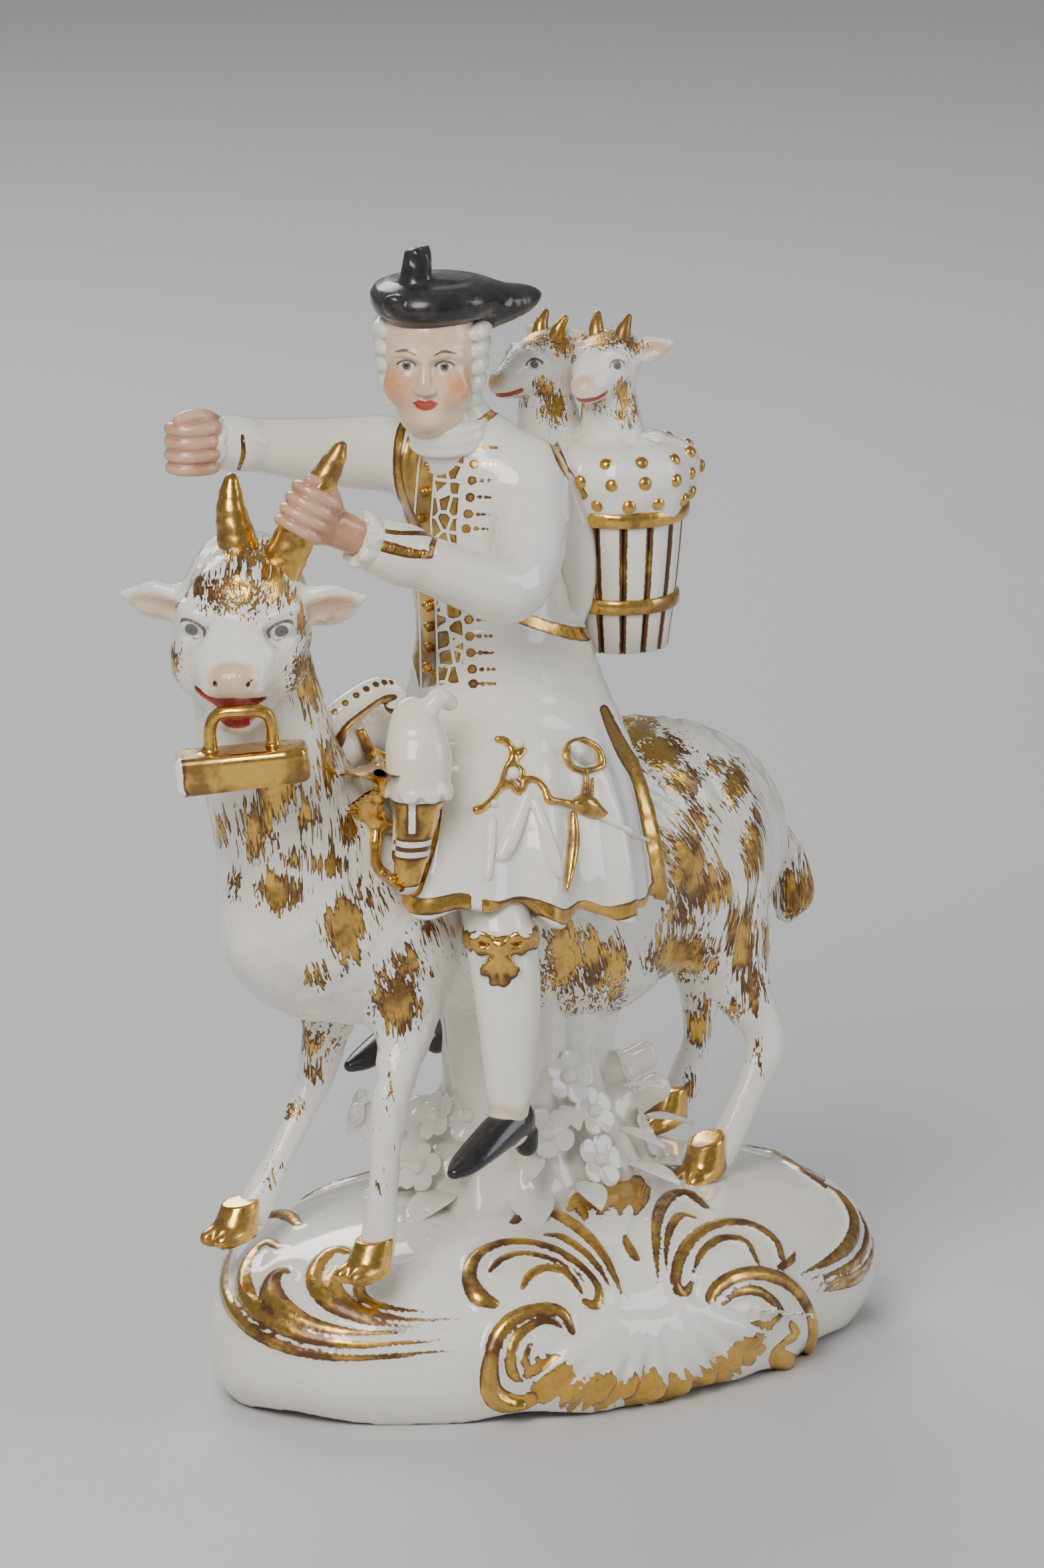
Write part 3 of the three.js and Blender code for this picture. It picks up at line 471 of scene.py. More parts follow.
CARTOUCHE = [
    [(-5, 26.2, 1.1), (-2.5, 27.8, 1.9), (2.5, 28, 2.0), (8, 25, 1.8), (12.6, 20.6, 1.4), (15.8, 14.8, 0.9),
     (17.5, 10.6, 0.3)],
    [(1.6, 23.8, 0.8), (5, 23.2, 1.3), (10, 19.8, 1.1), (13.4, 15.6, 0.7), (14.8, 12.4, 0.3)],
    [(-9.2, 10.2, 1.3), (-12.4, 11.6, 2.3), (-14.2, 15.4, 1.7), (-12.8, 19.6, 1.5), (-8, 22, 1.5), (-2, 22.3, 1.4),
     (4, 20.6, 1.3), (9, 17.2, 1.1), (12.2, 13.2, 1.0), (11.8, 9.8, 1.2), (9.4, 10.6, 0.8)],
    [(-9.8, 16.8, 0.7), (-7.6, 19, 1.0), (-3, 20.2, 1.0), (3, 18.9, 0.9), (7.8, 16, 0.6), (10, 13.2, 0.25)],
    [(-3.2, 13.4, 0.7), (-1.6, 16, 1.1), (1.6, 17.3, 1.2), (5.4, 16.4, 1.1), (7.8, 14, 0.9), (9, 11.6, 0.4)],
    [(6.8, 4.6, 0.9), (4.8, 8.2, 1.4), (0.8, 9, 1.7), (-5, 7.2, 1.8), (-8.6, 3.2, 1.8), (-10, -2.6, 1.8),
     (-9.2, -8.2, 2.0), (-5.6, -11.2, 2.5), (-2, -10.8, 2.0), (-0.2, -8.4, 1.0)],
    [(4.6, 5.8, 0.6), (0.8, 7, 1.1), (-3.6, 4.6, 1.3), (-5.6, 0.8, 1.3), (-5.2, -4, 1.1), (-2.2, -6.6, 0.6)],
    [(-1.6, 2.4, 0.6), (-2.8, -1.2, 0.9), (-0.8, -4, 0.5)],
    [(34.6, 29, 1.0), (31.2, 31.4, 1.8), (27.2, 31, 1.7), (24.8, 27.4, 1.4), (24.2, 21.8, 1.0), (24.6, 14, 0.4)],
    [(32.4, 27, 0.8), (29.4, 27.4, 1.2), (27, 24.4, 1.0), (26.2, 19.8, 0.7), (26.6, 13.9, 0.3)],
    [(50.4, 17.2, 0.8), (49.2, 21.8, 1.3), (44.6, 25.2, 1.4), (38.6, 25.9, 1.4), (32.8, 23.7, 1.4), (29, 18.8, 1.4),
     (28, 13.8, 1.5), (29.8, 11.9, 1.3), (31.6, 14, 0.7)],
    [(45.2, 17.7, 0.8), (42.8, 22.2, 1.0), (37.8, 22.8, 1.1), (33.8, 20.2, 0.9), (31.8, 16, 0.5)],
    [(49.8, 16.6, 1.0), (52.6, 18.4, 0.9), (53, 20, 0.4)],
    [(34.8, 9, 1.0), (35.8, 12, 1.5), (39.8, 14.9, 1.6), (45.6, 15.7, 1.7), (51.4, 13.5, 1.8), (55.2, 9, 1.8),
     (57.2, 3.2, 1.8), (55.8, -2.2, 2.0), (52.4, -4.2, 2.3), (49.9, -1.7, 1.5), (51, 0.4, 0.8)],
    [(37.2, 9, 0.6), (40.6, 11.9, 1.0), (45.6, 12, 1.2), (49.9, 8, 1.2), (48.4, 5.2, 0.8)],
    [(52.4, 5.2, 0.6), (53.4, 3, 1.0), (51.4, 1.2, 0.6)],
    [(16.2, 25.8, 0.35), (18.2, 22.2, 1.1), (19.6, 19.4, 1.2), (20.7, 18.6, 0.4)],
]
RIGHT_SCROLLS = [
    [(59.2, 33.2, 0.8), (63, 30.6, 1.5), (65.6, 25.8, 2.0), (64.6, 21.2, 1.8), (60.2, 17.8, 1.1), (54.2, 15.3, 0.3)],
    [(67, 27.6, 0.6), (68.4, 22.8, 1.3), (66.8, 18.4, 1.3), (62, 15.4, 0.8), (54.4, 13.9, 0.25)],
    [(69.2, 23.6, 0.4), (69.8, 19.6, 0.9), (67, 15.4, 0.9), (61, 13.4, 0.6), (55.2, 12.7, 0.2)],
    [(70, 17.8, 0.3), (68, 14.2, 0.8), (63, 12.2, 0.6), (57.2, 11.8, 0.2)],
    [(42.6, 41.4, 0.7), (48, 40, 1.3), (54.4, 36.2, 1.4), (59.6, 32.6, 1.0)],
]
# The gilded head of the fan, and brown dashes along the right-hand rim.
FAN_HEAD = [(4.8, 31.4), (5.2, 34.4), (7.4, 35.6), (9.6, 34.8), (12, 36.6), (14.4, 36.2), (16.6, 37), (19, 36.2),
            (21.6, 35.6), (23.4, 33.4), (22.6, 30.6), (20.4, 28.2), (18.6, 30.4), (16.8, 27.8), (14.8, 30),
            (12.8, 27.4),
            (11.2, 29.6), (9.4, 26.6), (8, 29.4), (6.2, 28.4)]
RIM_DASHES = [
    [(44, 42.5, 0.5), (47, 41.7, 0.8)], [(49.2, 41.4, 0.5), (52.2, 39.8, 0.9)], [(53.4, 39, 0.5), (56, 37, 0.9)],
    [(57, 36.6, 0.5), (59.6, 34.4, 0.8)], [(36.5, 44, 0.3), (40, 43.6, 0.6)],
]
FAN_RIBS = [(4.6, 33.6), (9, 34.8), (13.4, 36.2), (17.6, 36.8), (21.2, 35.6)]
FAN_ROOT = [(12.6, 23.5), (13.8, 23.3), (15, 23.2), (16.2, 23.3), (17.4, 23.6)]
SHELL_RIBS = [(2.4, -5.2), (6.6, -8.6), (12.6, -8.2), (18.6, -7.4), (24.4, -7.6), (30.6, -7.2), (36, -6.2),
              (41.4, -2.8), (45.6, 2.2)]
SHELL_ROOT = (22.5, 12.5)


def outline_reach(angle):
    """How far the base's widest outline reaches from the centre."""
    oval = 1 / np.hypot(np.cos(angle) / BASE["half_length"], np.sin(angle) / BASE["half_width"])
    corner = np.maximum(0, np.cos(angle - math.radians(BASE["corner_angle"]))) ** 6
    wave = BASE["wave_depth"] * (1 + np.cos(BASE["waves"] * angle))
    return oval * (1 - wave - BASE["corner_cut"] * corner)


def mound_measure(points):
    """A measure that is below zero inside the mound and grows by about one a millimetre."""
    x, y, z = points.T
    share = np.hypot(x, y) / outline_reach(np.arctan2(y, x))
    rise = np.maximum(z - BASE["bulge_height"], 0) / (BASE["height"] - BASE["bulge_height"])
    dome = share ** BASE["dome_power"] + rise ** BASE["side_power"]
    foot = BASE["foot_inset"] * (np.clip(BASE["bulge_height"] - z, 0, 20) / BASE["bulge_height"]) ** 2
    return np.where(z > BASE["bulge_height"], np.maximum(dome, 1e-9) ** (1 / BASE["dome_power"]) - 1, share - 1 + foot)


def mound_slope(points, step=0.4):
    """How the mound's measure grows along each axis."""
    return np.stack([
        mound_measure(points + step * axis) - mound_measure(points - step * axis) for axis in np.eye(3)
    ], -1) / (2 * step)


def mound_normal(points):
    """The way out of the mound."""
    return unit(mound_slope(points))


def mound_distance(points):
    """Distance from the mound's surface, below zero inside, with its flat underside."""
    side = mound_measure(points) / np.maximum(np.linalg.norm(mound_slope(points), axis=1), 1 / 90)
    return np.maximum(side, -points[:, 2])


def drawing_axes(turn):
    """Right, up and towards-the-eye axes of the plane that the painting is drawn on."""
    turn, tilt = math.radians(turn), math.radians(DRAWING_TILT)
    across = np.array([math.sin(turn), -math.cos(turn), 0])
    rise = np.array([math.cos(turn) * math.sin(tilt), math.sin(turn) * math.sin(tilt), math.cos(tilt)])
    return np.array([across, rise, np.cross(across, rise)])


def onto_mound(drawn, turn):
    """Where the line of sight through each (right, up) on the drawing plane meets the mound."""
    across, rise, to_eye = drawing_axes(turn)
    drawn = np.asarray(drawn, float)
    points = drawn[:, :1] * across + drawn[:, 1:2] * rise + 160 * to_eye
    nearest = points.copy()
    least = np.full(len(points), 9.0)
    step = np.full(len(points), 2.0)
    for _ in range(190):
        ahead = points - step[:, None] * to_eye
        measure = mound_measure(ahead)
        closer = (measure < least) & (measure >= 0)
        nearest = np.where(closer[:, None], ahead, nearest)
        least = np.where(closer, measure, least)
        points = np.where((measure < 0)[:, None], points, ahead)
        step = np.where(measure < 0, step / 2, step)
    for _ in range(3):
        nearest -= mound_distance(nearest)[:, None] * mound_normal(nearest)
    nearest[:, 2] = np.maximum(nearest[:, 2], 1.0)
    return nearest


def laid_stroke(rows, turn, legs=3):
    """A drawn stroke as rows of x, y, z, half width on the mound."""
    line = spline(rows, legs)
    return np.hstack([onto_mound(line, turn), np.maximum(line[:, 2:3], 0.12)])


def rib(root, end, turn, widths):
    """A straight rib on the mound."""
    drawn = np.linspace(root, end, 7)
    return np.hstack([onto_mound(drawn, turn), np.interp(np.linspace(0, 1, 7), [0, 0.85, 1], widths)[:, None]])


def base_strokes():
    """Every gilded stroke of the base, on the front and, plainer, on the back."""
    front = [laid_stroke(rows, FRONT) for rows in LEFT_SCROLLS + CARTOUCHE + RIGHT_SCROLLS]
    plain = CARTOUCHE[2:3] + CARTOUCHE[5:7] + CARTOUCHE[10:11] + CARTOUCHE[13:15]
    return front, [laid_stroke(rows, BACK) for rows in plain]


def ridge(line, height=0.85):
    """A stroke as a limb that lies part sunk in the mound and stands `height` half widths out of it."""
    line = np.array(line)
    reach = np.maximum(1.1 * line[:, 3:4], 0.95)
    sunk = line[:, :3] + (height * line[:, 3:4] - reach) * mound_normal(line[:, :3])
    return Tube(np.hstack([sunk, reach]), up=(0.3, 0.2, 0.9), legs=1)


def foot_lobes(points):
    """Low lobes and dents round the mound's foot, all of them inwards."""
    angle = np.arctan2(points[:, 1], points[:, 0])
    low = smooth_step(17, 5, points[:, 2])
    lobes = np.sin(9 * angle + 1.4 * np.sin(2 * angle + 0.7)) + 0.5 * np.sin(17 * angle + 1.1)
    return low * (0.6 * lobes - 0.8 + 0.3 * lattice_noise(points / 9.0, 95))


def build_base(materials):
    """The mound with its scrolls, fan and shell."""
    clay = Clay(step=0.96)
    clay.add(Field([-86, -62, 0], [86, 60, 37], mound_distance), 0.1)
    front, back = base_strokes()
    for line in front + back:
        clay.add(ridge(line), 0.9)
    fan_lobes = []
    for root, end in zip(FAN_ROOT, FAN_RIBS):
        line = rib(root, end, FRONT, [0.9, 2.2, 2.3])
        line[:, 2] += np.linspace(0, 1, 7) ** 2 * 2.2
        clay.add(Tube(line, legs=1), 0.8)
        fan_lobes.append(line[2:])
    shell_edge = []
    for place in SHELL_RIBS:
        line = rib(SHELL_ROOT, place, FRONT, [1.6, 3.4, 3.0])[2:]
        clay.add(ridge(line, 0.6), 1.2)
        shell_edge.append([*line[-1][:3], 2.4])
    rim = spline(shell_edge, 4)
    clay.press(foot_lobes)
    vertices = clay.mesh()
    vertices[:, 2] = np.where(vertices[:, 2] < 0.35, 0, vertices[:, 2])
    gold = line_distance(vertices, front + back) + 0.05 + 0.7 * smooth_step(14, 4, vertices[:, 2])
    places = drawn_places(vertices)[:, :2]
    beams = np.stack([places - FAN_ROOT[2], places - SHELL_ROOT])
    angle, reach = np.arctan2(beams[..., 0], np.abs(beams[..., 1])), np.hypot(beams[..., 0], beams[..., 1])
    teeth = [lattice_noise(np.stack([fine * a, r / 9, 0 * r], -1), 91) for fine, a, r in zip((26, 42), angle, reach)]
    lobes = line_distance(vertices, fan_lobes) - 0.3
    fan = np.maximum(area_depth(vertices, clay.normal, FAN_HEAD), lobes) + 0.6 * teeth[0]
    shell = line_distance(vertices, [rim]) + 2.2 + 4.2 * np.minimum(teeth[1], 0.25)
    dashes = drawn_depth(vertices, clay.normal, RIM_DASHES)
    comb = np.minimum(np.maximum.reduce([fan, shell, dashes]), 4)
    return new_object("base", clay, materials, gold=np.maximum(gold, comb))


# The goat, with the iron that hangs from its teeth.

GOAT_HEAD = LocalFrame((-85.6, -0.4, 171), 41, 29)
GOAT_BODY = [
    [-80, 0, 104, 6, 8], [-75, 0, 104.5, 13, 15.5], [-61, 0, 106, 20, 24], [-40, 0, 104, 21.5, 25.5],
    [-14, 0, 102, 22, 26.5], [15, 0, 103.5, 22, 27], [34, 0, 103, 20, 25.5], [47, 0, 100, 16.5, 22.5],
    [56, 0, 95, 11.5, 17], [61, 0, 92, 5, 8],
]
GOAT_NECK = [
    [-56, 0, 108, 18, 18], [-68, 0.6, 122, 16.6, 17], [-76, 1, 137, 14.2, 14.8], [-80, 0.6, 151, 12.6, 13.4],
    [-83.4, 0.2, 164, 12.2, 12.2], [-84, 0, 172, 8, 9],
]
GOAT_TAIL = [
    [56, 0, 101, 3.4, 3.4], [62, 0, 101.6, 3.6, 3.8], [67, 0, 99.6, 3.6, 4.0], [71.5, 0, 94.5, 3.8, 4.2],
    [75, 0, 88.4, 4.2, 4.7], [75.6, 0, 83.4, 4.0, 4.4], [74.2, 0, 79.8, 2.2, 2.4],
]
GOAT_LEGS = {
    "near_fore": [
        [-52, -12, 100, 8.5, 11], [-54, -16, 88, 6.6, 8.2], [-57, -18, 79.5, 5.0, 5.4], [-61, -19.7, 73, 3.9, 4.2],
        [-63, -20, 66, 3.5, 3.8], [-64.2, -20, 60, 3.1, 3.4], [-65, -20, 50, 2.8, 3.0], [-65.7, -20, 43.6, 3.3, 3.7],
        [-66.8, -20, 37.4, 3.4, 3.9],
    ],
    "far_fore": [
        [-42, 12, 98, 8, 10], [-43, 16, 83, 6.4, 7.4], [-43.8, 18.5, 72, 4.6, 5.0], [-45.5, 20, 63, 3.5, 3.8],
        [-50, 20, 55.5, 2.9, 3.1], [-56, 20, 47.2, 2.7, 2.9], [-60, 20, 41.8, 3.3, 3.7], [-63.6, 20, 37.6, 3.4, 3.9],
    ],
    "near_hind": [
        [38, -9, 104, 9.5, 16], [39.5, -13, 89, 8.6, 13], [42, -16.5, 75, 5.6, 8.2], [46.3, -19, 66, 4.0, 5.0],
        [47.4, -20, 59.5, 3.6, 4.2], [43.6, -20, 53, 3.1, 3.5], [39.4, -20, 46.6, 3.1, 3.5], [36, -20, 42, 3.3, 3.7],
        [33, -20, 39, 3.5, 3.9],
    ],
    "far_hind": [
        [48, 8, 102, 9, 14], [56, 14, 86, 7, 9.5], [64, 19, 71, 4.6, 5.6], [68.3, 20, 60, 3.8, 4.5],
        [67.4, 20, 50, 2.9, 3.1], [64.6, 20, 43, 3.4, 3.8], [61.5, 20, 38, 3.4, 3.9],
    ],
}
# Hooves: foot, and how far the toe dips in degrees.
HOOVES = [((-67.5, -20, 34.5), 9), ((-67, 20, 34.5), 9), ((30.5, -20, 37.2), 19), ((59.5, 20, 35.2), 11)]
# The way the hair lies, with where each way holds: place, reach, direction.
HAIR_LIES = [
    ((-62, 0, 104), 26, (0.35, 0, -1)), ((-30, 0, 112), 24, (0.8, 0, -0.8)), ((5, 0, 112), 26, (0.9, 0, -0.75)),
    ((40, 0, 108), 24, (0.7, 0, -1)), ((58, 0, 92), 18, (0.35, 0, -1)), ((-78, 0, 140), 26, (0.2, 0, -1)),
    ((-5, 0, 82), 26, (0.45, 0, -1)), ((-62, -18, 70), 22, (0.1, 0, -1)), ((52, -16, 70), 22, (0.1, 0, -1)),
    ((-60, 20, 55), 24, (0, 0, -1)), ((66, 18, 60), 24, (0, 0, -1)), ((74, 0, 86), 12, (0.2, 0, -1)),
]
# Gilded patches that the front quarter shows, drawn on its plane: right, up, half width, half height, strength.
DRAWN_PATCHES = [
    (19.5, 129, 5.6, 4.0, 1.1), (25.5, 124, 5.6, 4.4, 1.05), (30.6, 117.6, 5.2, 3.4, 0.95), (33, 110, 4.0, 4.0, 0.7),
    (31.4, 99, 4.2, 9.6, 1.15), (36.6, 97, 2.4, 7.0, 0.9), (26.6, 104, 2.6, 6.0, 0.6), (36.8, 121, 3.4, 2.6, 0.8),
    (39, 95.5, 1.7, 4.4, 0.95), (44.5, 103.5, 2.6, 6.8, 1.0), (41, 117, 3.0, 5.2, 0.95), (45.4, 110, 1.3, 4.6, 0.8),
    (29.6, 81.2, 7.4, 5.0, 1.15), (29.1, 89.4, 5.8, 5.6, 0.7), (42.5, 84, 3.4, 8.6, 1.05), (44.5, 75, 3.2, 5.4, 0.85),
    (48, 84, 1.4, 6.5, 0.8), (15.8, 79.6, 3.0, 7.2, 1.0), (39.6, 70, 3.4, 3.4, 0.6), (44.6, 92, 2.2, 4.2, 0.6),
    (37, 104, 1.2, 5.5, 0.6), (5.4, 82, 4.0, 9.0, 1.1), (11.6, 80, 3.4, 9, 0.9), (0, 76, 2.4, 6, 0.7),
    (7, 72, 2.4, 5, 0.6), (16, 74, 2.6, 6, 0.7), (46, 61, 2.4, 5, 0.5), (-57.4, 108.4, 4.0, 8.0, 0.85),
    (-47, 111, 3.2, 5.6, 0.8), (-52.5, 95, 5.2, 4.2, 1.05), (-62, 97, 1.6, 5, 0.7), (-42.8, 100.6, 4.4, 2.6, 0.95),
    (-39.3, 87, 4.6, 6.6, 1.15), (-45.4, 78, 2.4, 3.6, 0.8), (-28.9, 72.6, 5.0, 6.6, 1.1), (-26, 80.4, 4.2, 4.4, 0.8),
    (-33, 94, 6.5, 6.0, 0.5), (-22, 88, 6, 8, 0.45), (-39, 127, 3.0, 6.4, 0.95), (-53.2, 115.5, 4.2, 7.2, 0.95),
    (-46.6, 137.4, 3.6, 7.0, 0.9), (-42.8, 121.5, 2.2, 7.4, 0.8), (-39.3, 107.4, 3.4, 4.6, 0.8),
    (-64.8, 107.4, 2.0, 5.0, 0.7), (-49.6, 101.8, 3.2, 3.4, 0.75), (-68.4, 118, 2.2, 5.4, 0.6),
    (-35, 64, 2.6, 4.5, 0.5), (-30.4, 56, 1.6, 7, 0.5), (-31.8, 39, 1.8, 8, 0.45), (-46.5, 57, 2.6, 3.4, 0.75),
    (-50.4, 49.6, 2.2, 3.0, 0.7), (-54.6, 36.6, 2.4, 3.6, 0.5), (33.6, 66, 2.6, 5.4, 0.9), (32, 54, 1.6, 4, 0.6),
    (-12, 84, 5, 8, 0.45),
]
# Gilded patches of the far side and the back: centre, half sizes, strength.
COAT_PATCHES = [
    ((75, -2, 86), (6, 6, 9), 1.0), ((68, -2, 97), (5, 5, 4), 0.7), ((66, 18, 76), (6, 6, 9), 0.7),
    ((67, 18, 56), (5, 5, 8), 0.6), ((-46, 19, 72), (6, 7, 7), 0.7), ((-74, 17, 118), (7, 8, 12), 0.9),
    ((-62, 20, 104), (9, 7, 8), 0.9), ((-45, 23, 108), (8, 8, 9), 0.9), ((-42, 22, 92), (7, 8, 8), 0.8),
    ((-22, 24, 100), (8, 8, 10), 0.9), ((-8, 24, 110), (7, 8, 7), 0.7), ((-6, 24, 92), (6, 8, 9), 0.8),
    ((12, 24, 104), (8, 8, 10), 1.0), ((24, 23, 92), (8, 8, 9), 0.8), ((32, 20, 110), (8, 9, 9), 1.0),
    ((46, 18, 100), (7, 8, 11), 1.0), ((38, 20, 84), (8, 8, 8), 0.8), ((54, 14, 88), (6, 8, 9), 0.9),
    ((42, 8, 122), (9, 9, 6), 1.0), ((56, 6, 110), (7, 8, 6), 0.9), ((26, 10, 128), (8, 9, 6), 0.9),
    ((-82, 12, 134), (6, 8, 10), 0.8), ((-74, 14, 148), (6, 7, 9), 0.8), ((62, 6, 98), (5, 8, 8), 0.7),
    ((-64, 14, 130), (7, 8, 9), 0.8), ((-62, 8, 146), (7, 9, 9), 0.8),
]


def weighted(points, places, reach):
    """How much each place counts at each point; the shares add up to one."""
    gaps = ((points[:, None, :] - np.asarray(places)[None]) ** 2).sum(-1)
    shares = np.exp(-gaps / (0.5 * np.asarray(reach)[None] ** 2)) + 1e-12
    return shares / shares.sum(1, keepdims=True)


def hair_way(points):
    """The way the hair lies at each point."""
    shares = weighted(points, [row[0] for row in HAIR_LIES], [row[1] for row in HAIR_LIES])
    return unit(shares @ unit([row[2] for row in HAIR_LIES]))


def hair_places(points):
    """Places in which the hair runs along the first axis: the shader and the modelled locks both use them."""
    way = hair_way(points)
    middle = np.array([0.0, 0.0, 100.0])
    turned = points - middle
    along = turned[:, 0] * way[:, 0] + turned[:, 2] * way[:, 2]
    across = turned[:, 0] * way[:, 2] - turned[:, 2] * way[:, 0]
    return np.stack([along, across, points[:, 1]], -1)


def hair_locks(points):
    """Shallow locks: long ridges along the hair, broken up and bent."""
    place = hair_places(points)
    bend = 1.4 * lattice_noise(place / (14, 14, 14), 3)
    long = place / (9.0, 3.1, 3.1)
    long[:, 1] += bend
    ridges = 1 - 2 * np.abs(lattice_noise(long, 11))
    return 0.42 * ridges + 0.35 * lattice_noise(points / 7.5, 5)


def patch_strength(points, patches):
    """How strongly the patches call for paint: one in the middle of a patch, zero and below outside."""
    out = np.full(len(points), -1.0)
    for centre, sizes, strength in patches:
        gap = np.linalg.norm((points - np.array(centre)) / np.array(sizes), axis=1)
        out = np.maximum(out, strength * (1.2 - 0.75 * gap))
    return out


def drawn_patch_strength(points, normal):
    """The same for the patches drawn on the front quarter's plane, on what faces it."""
    places = drawn_places(points)
    facing = drawn_places(normal)[:, 2]
    out = np.full(len(points), -1.0)
    for right, up, wide, tall, strength in DRAWN_PATCHES:
        gap = np.hypot((places[:, 0] - right) / wide, (places[:, 1] - up) / tall)
        out = np.maximum(out, strength * (1.2 - 0.75 * gap))
    return np.where(facing > 0, out, -1)


def hoof(clay, foot, nod):
    """A cloven hoof: it widens from the pastern to a flat sole with two toes."""
    local = LocalFrame(foot, 0, nod)
    clay.add(Turned(local, [[-1.6, 0, 2.1, 4.3, 5.6], [0.2, 0, 1.9, 4.4, 5.6], [2.6, 0, 0.6, 4.2, 5.0],
                            [5.8, 0, -1.1, 3.75, 4.15]]), 0.3)
    for half in local.halves():
        clay.add(half.ball((2.1, 5.4, 0.0), (2.2, 3.8, 2.0)), 0.9)
    clay.cut(local.tube([[0, 3.6, 6.8, 0.4], [0, 5.8, 3.2, 0.6], [0, 9.8, -1.4, 0.9]]), 0.5)


def build_goat_body(materials):
    """The goat's body, neck, legs and tail, with modelled locks."""
    clay = Clay(step=0.85)
    clay.add(Tube(GOAT_BODY))
    clay.add(Tube(GOAT_NECK, up=(0, 1, 0)), 7)
    clay.add(Tube(GOAT_TAIL, up=(0, 1, 0)), 1.5)
    for rows in GOAT_LEGS.values():
        clay.add(Tube(rows, up=(1, 0, 0)), 4.5)
    clay.add(Ball((-55, -13, 98), (11, 8.5, 15)), 6)
    clay.add(Ball((-76, -1, 107), (6, 9, 12)), 4)
    clay.add(Ball((6, -5, 85), (24, 14, 15)), 8)
    clay.add(Ball((38, -8, 97), (14, 10.5, 17)), 5)
    clay.add(Ball((38, 8, 99), (15, 12, 17)), 5)
    clay.press(lambda points: hair_locks(points) * smooth_step(36, 70, points[:, 2]) * 0.95)
    vertices = clay.mesh()
    patch = np.maximum(patch_strength(vertices, COAT_PATCHES), drawn_patch_strength(vertices, clay.normal))
    return new_object("goat_body", clay, materials, hair=hair_places(vertices), patch=patch)


def build_hooves(materials):
    """Four gilded cloven hooves."""
    clay = Clay(step=0.55)
    for foot, nod in HOOVES:
        hoof(clay, foot, nod)
    return new_object("hooves", clay, materials, gold=ALL_GOLD)


def eye_marks(points, centre, along, upward, half_width, half_height, iris):
    """Painted eye: how deep each point lies in the opening, the lid line, the iris and the pupil."""
    along = unit(along)
    upward = unit(np.asarray(upward, float) - along * (along @ np.asarray(upward, float)))
    rel = points - np.asarray(centre)
    near = np.linalg.norm(rel, axis=1)
    x, y = rel @ along, rel @ upward
    radius = (half_width**2 + half_height**2) / (2 * half_height)
    drop = radius - half_height
    opening = np.minimum(radius - np.hypot(x, y + drop), radius - np.hypot(x, y - drop))
    opening = np.where(near < 2 * half_width, opening, -3)
    line = np.where(y > -0.1 * half_height, 0.12, 0.035) * half_width - np.abs(opening)
    line = np.where(near < 2 * half_width, line, -3)
    ring = np.minimum(iris - near, opening)
    pupil = np.minimum(0.45 * iris - near, opening)
    return opening, line, ring, pupil


def eye_layers(marks):
    """The painted layers of all eyes: opening, lid line, iris and pupil."""
    return {title: np.maximum.reduce(layer) for title, layer in zip(("opening", "line", "iris", "pupil"), zip(*marks))}


# Gilded patches of the head, in its own frame: place, half sizes, strength.
GOAT_HEAD_PATCHES = [
    ((-1, 6, 13), (8, 8, 5), 0.95), ((7, 4, 12), (6, 6, 5), 1.0), ((-8, 4, 12), (4, 6, 4), 0.8),
    ((3, -3, 13), (10, 6, 5), 1.0), ((11, 12, -3), (5, 6, 4.6), 1.0), ((12.4, 6, -6), (5, 5, 7), 0.9),
    ((12.6, 5, 6), (3, 5, 7), 1.0), ((-11.4, 12, -2), (4, 4.4, 4), 0.95), ((-12.4, 7, -7), (4, 5, 6), 0.75),
    ((9, 12, -11), (5, 6, 5), 0.85), ((-12.6, 5, 9), (3, 5, 4), 0.7), ((-9, 12, -11), (4, 6, 5), 0.6),
    ((3, 10, 11), (3, 3, 2.4), 0.6),
]


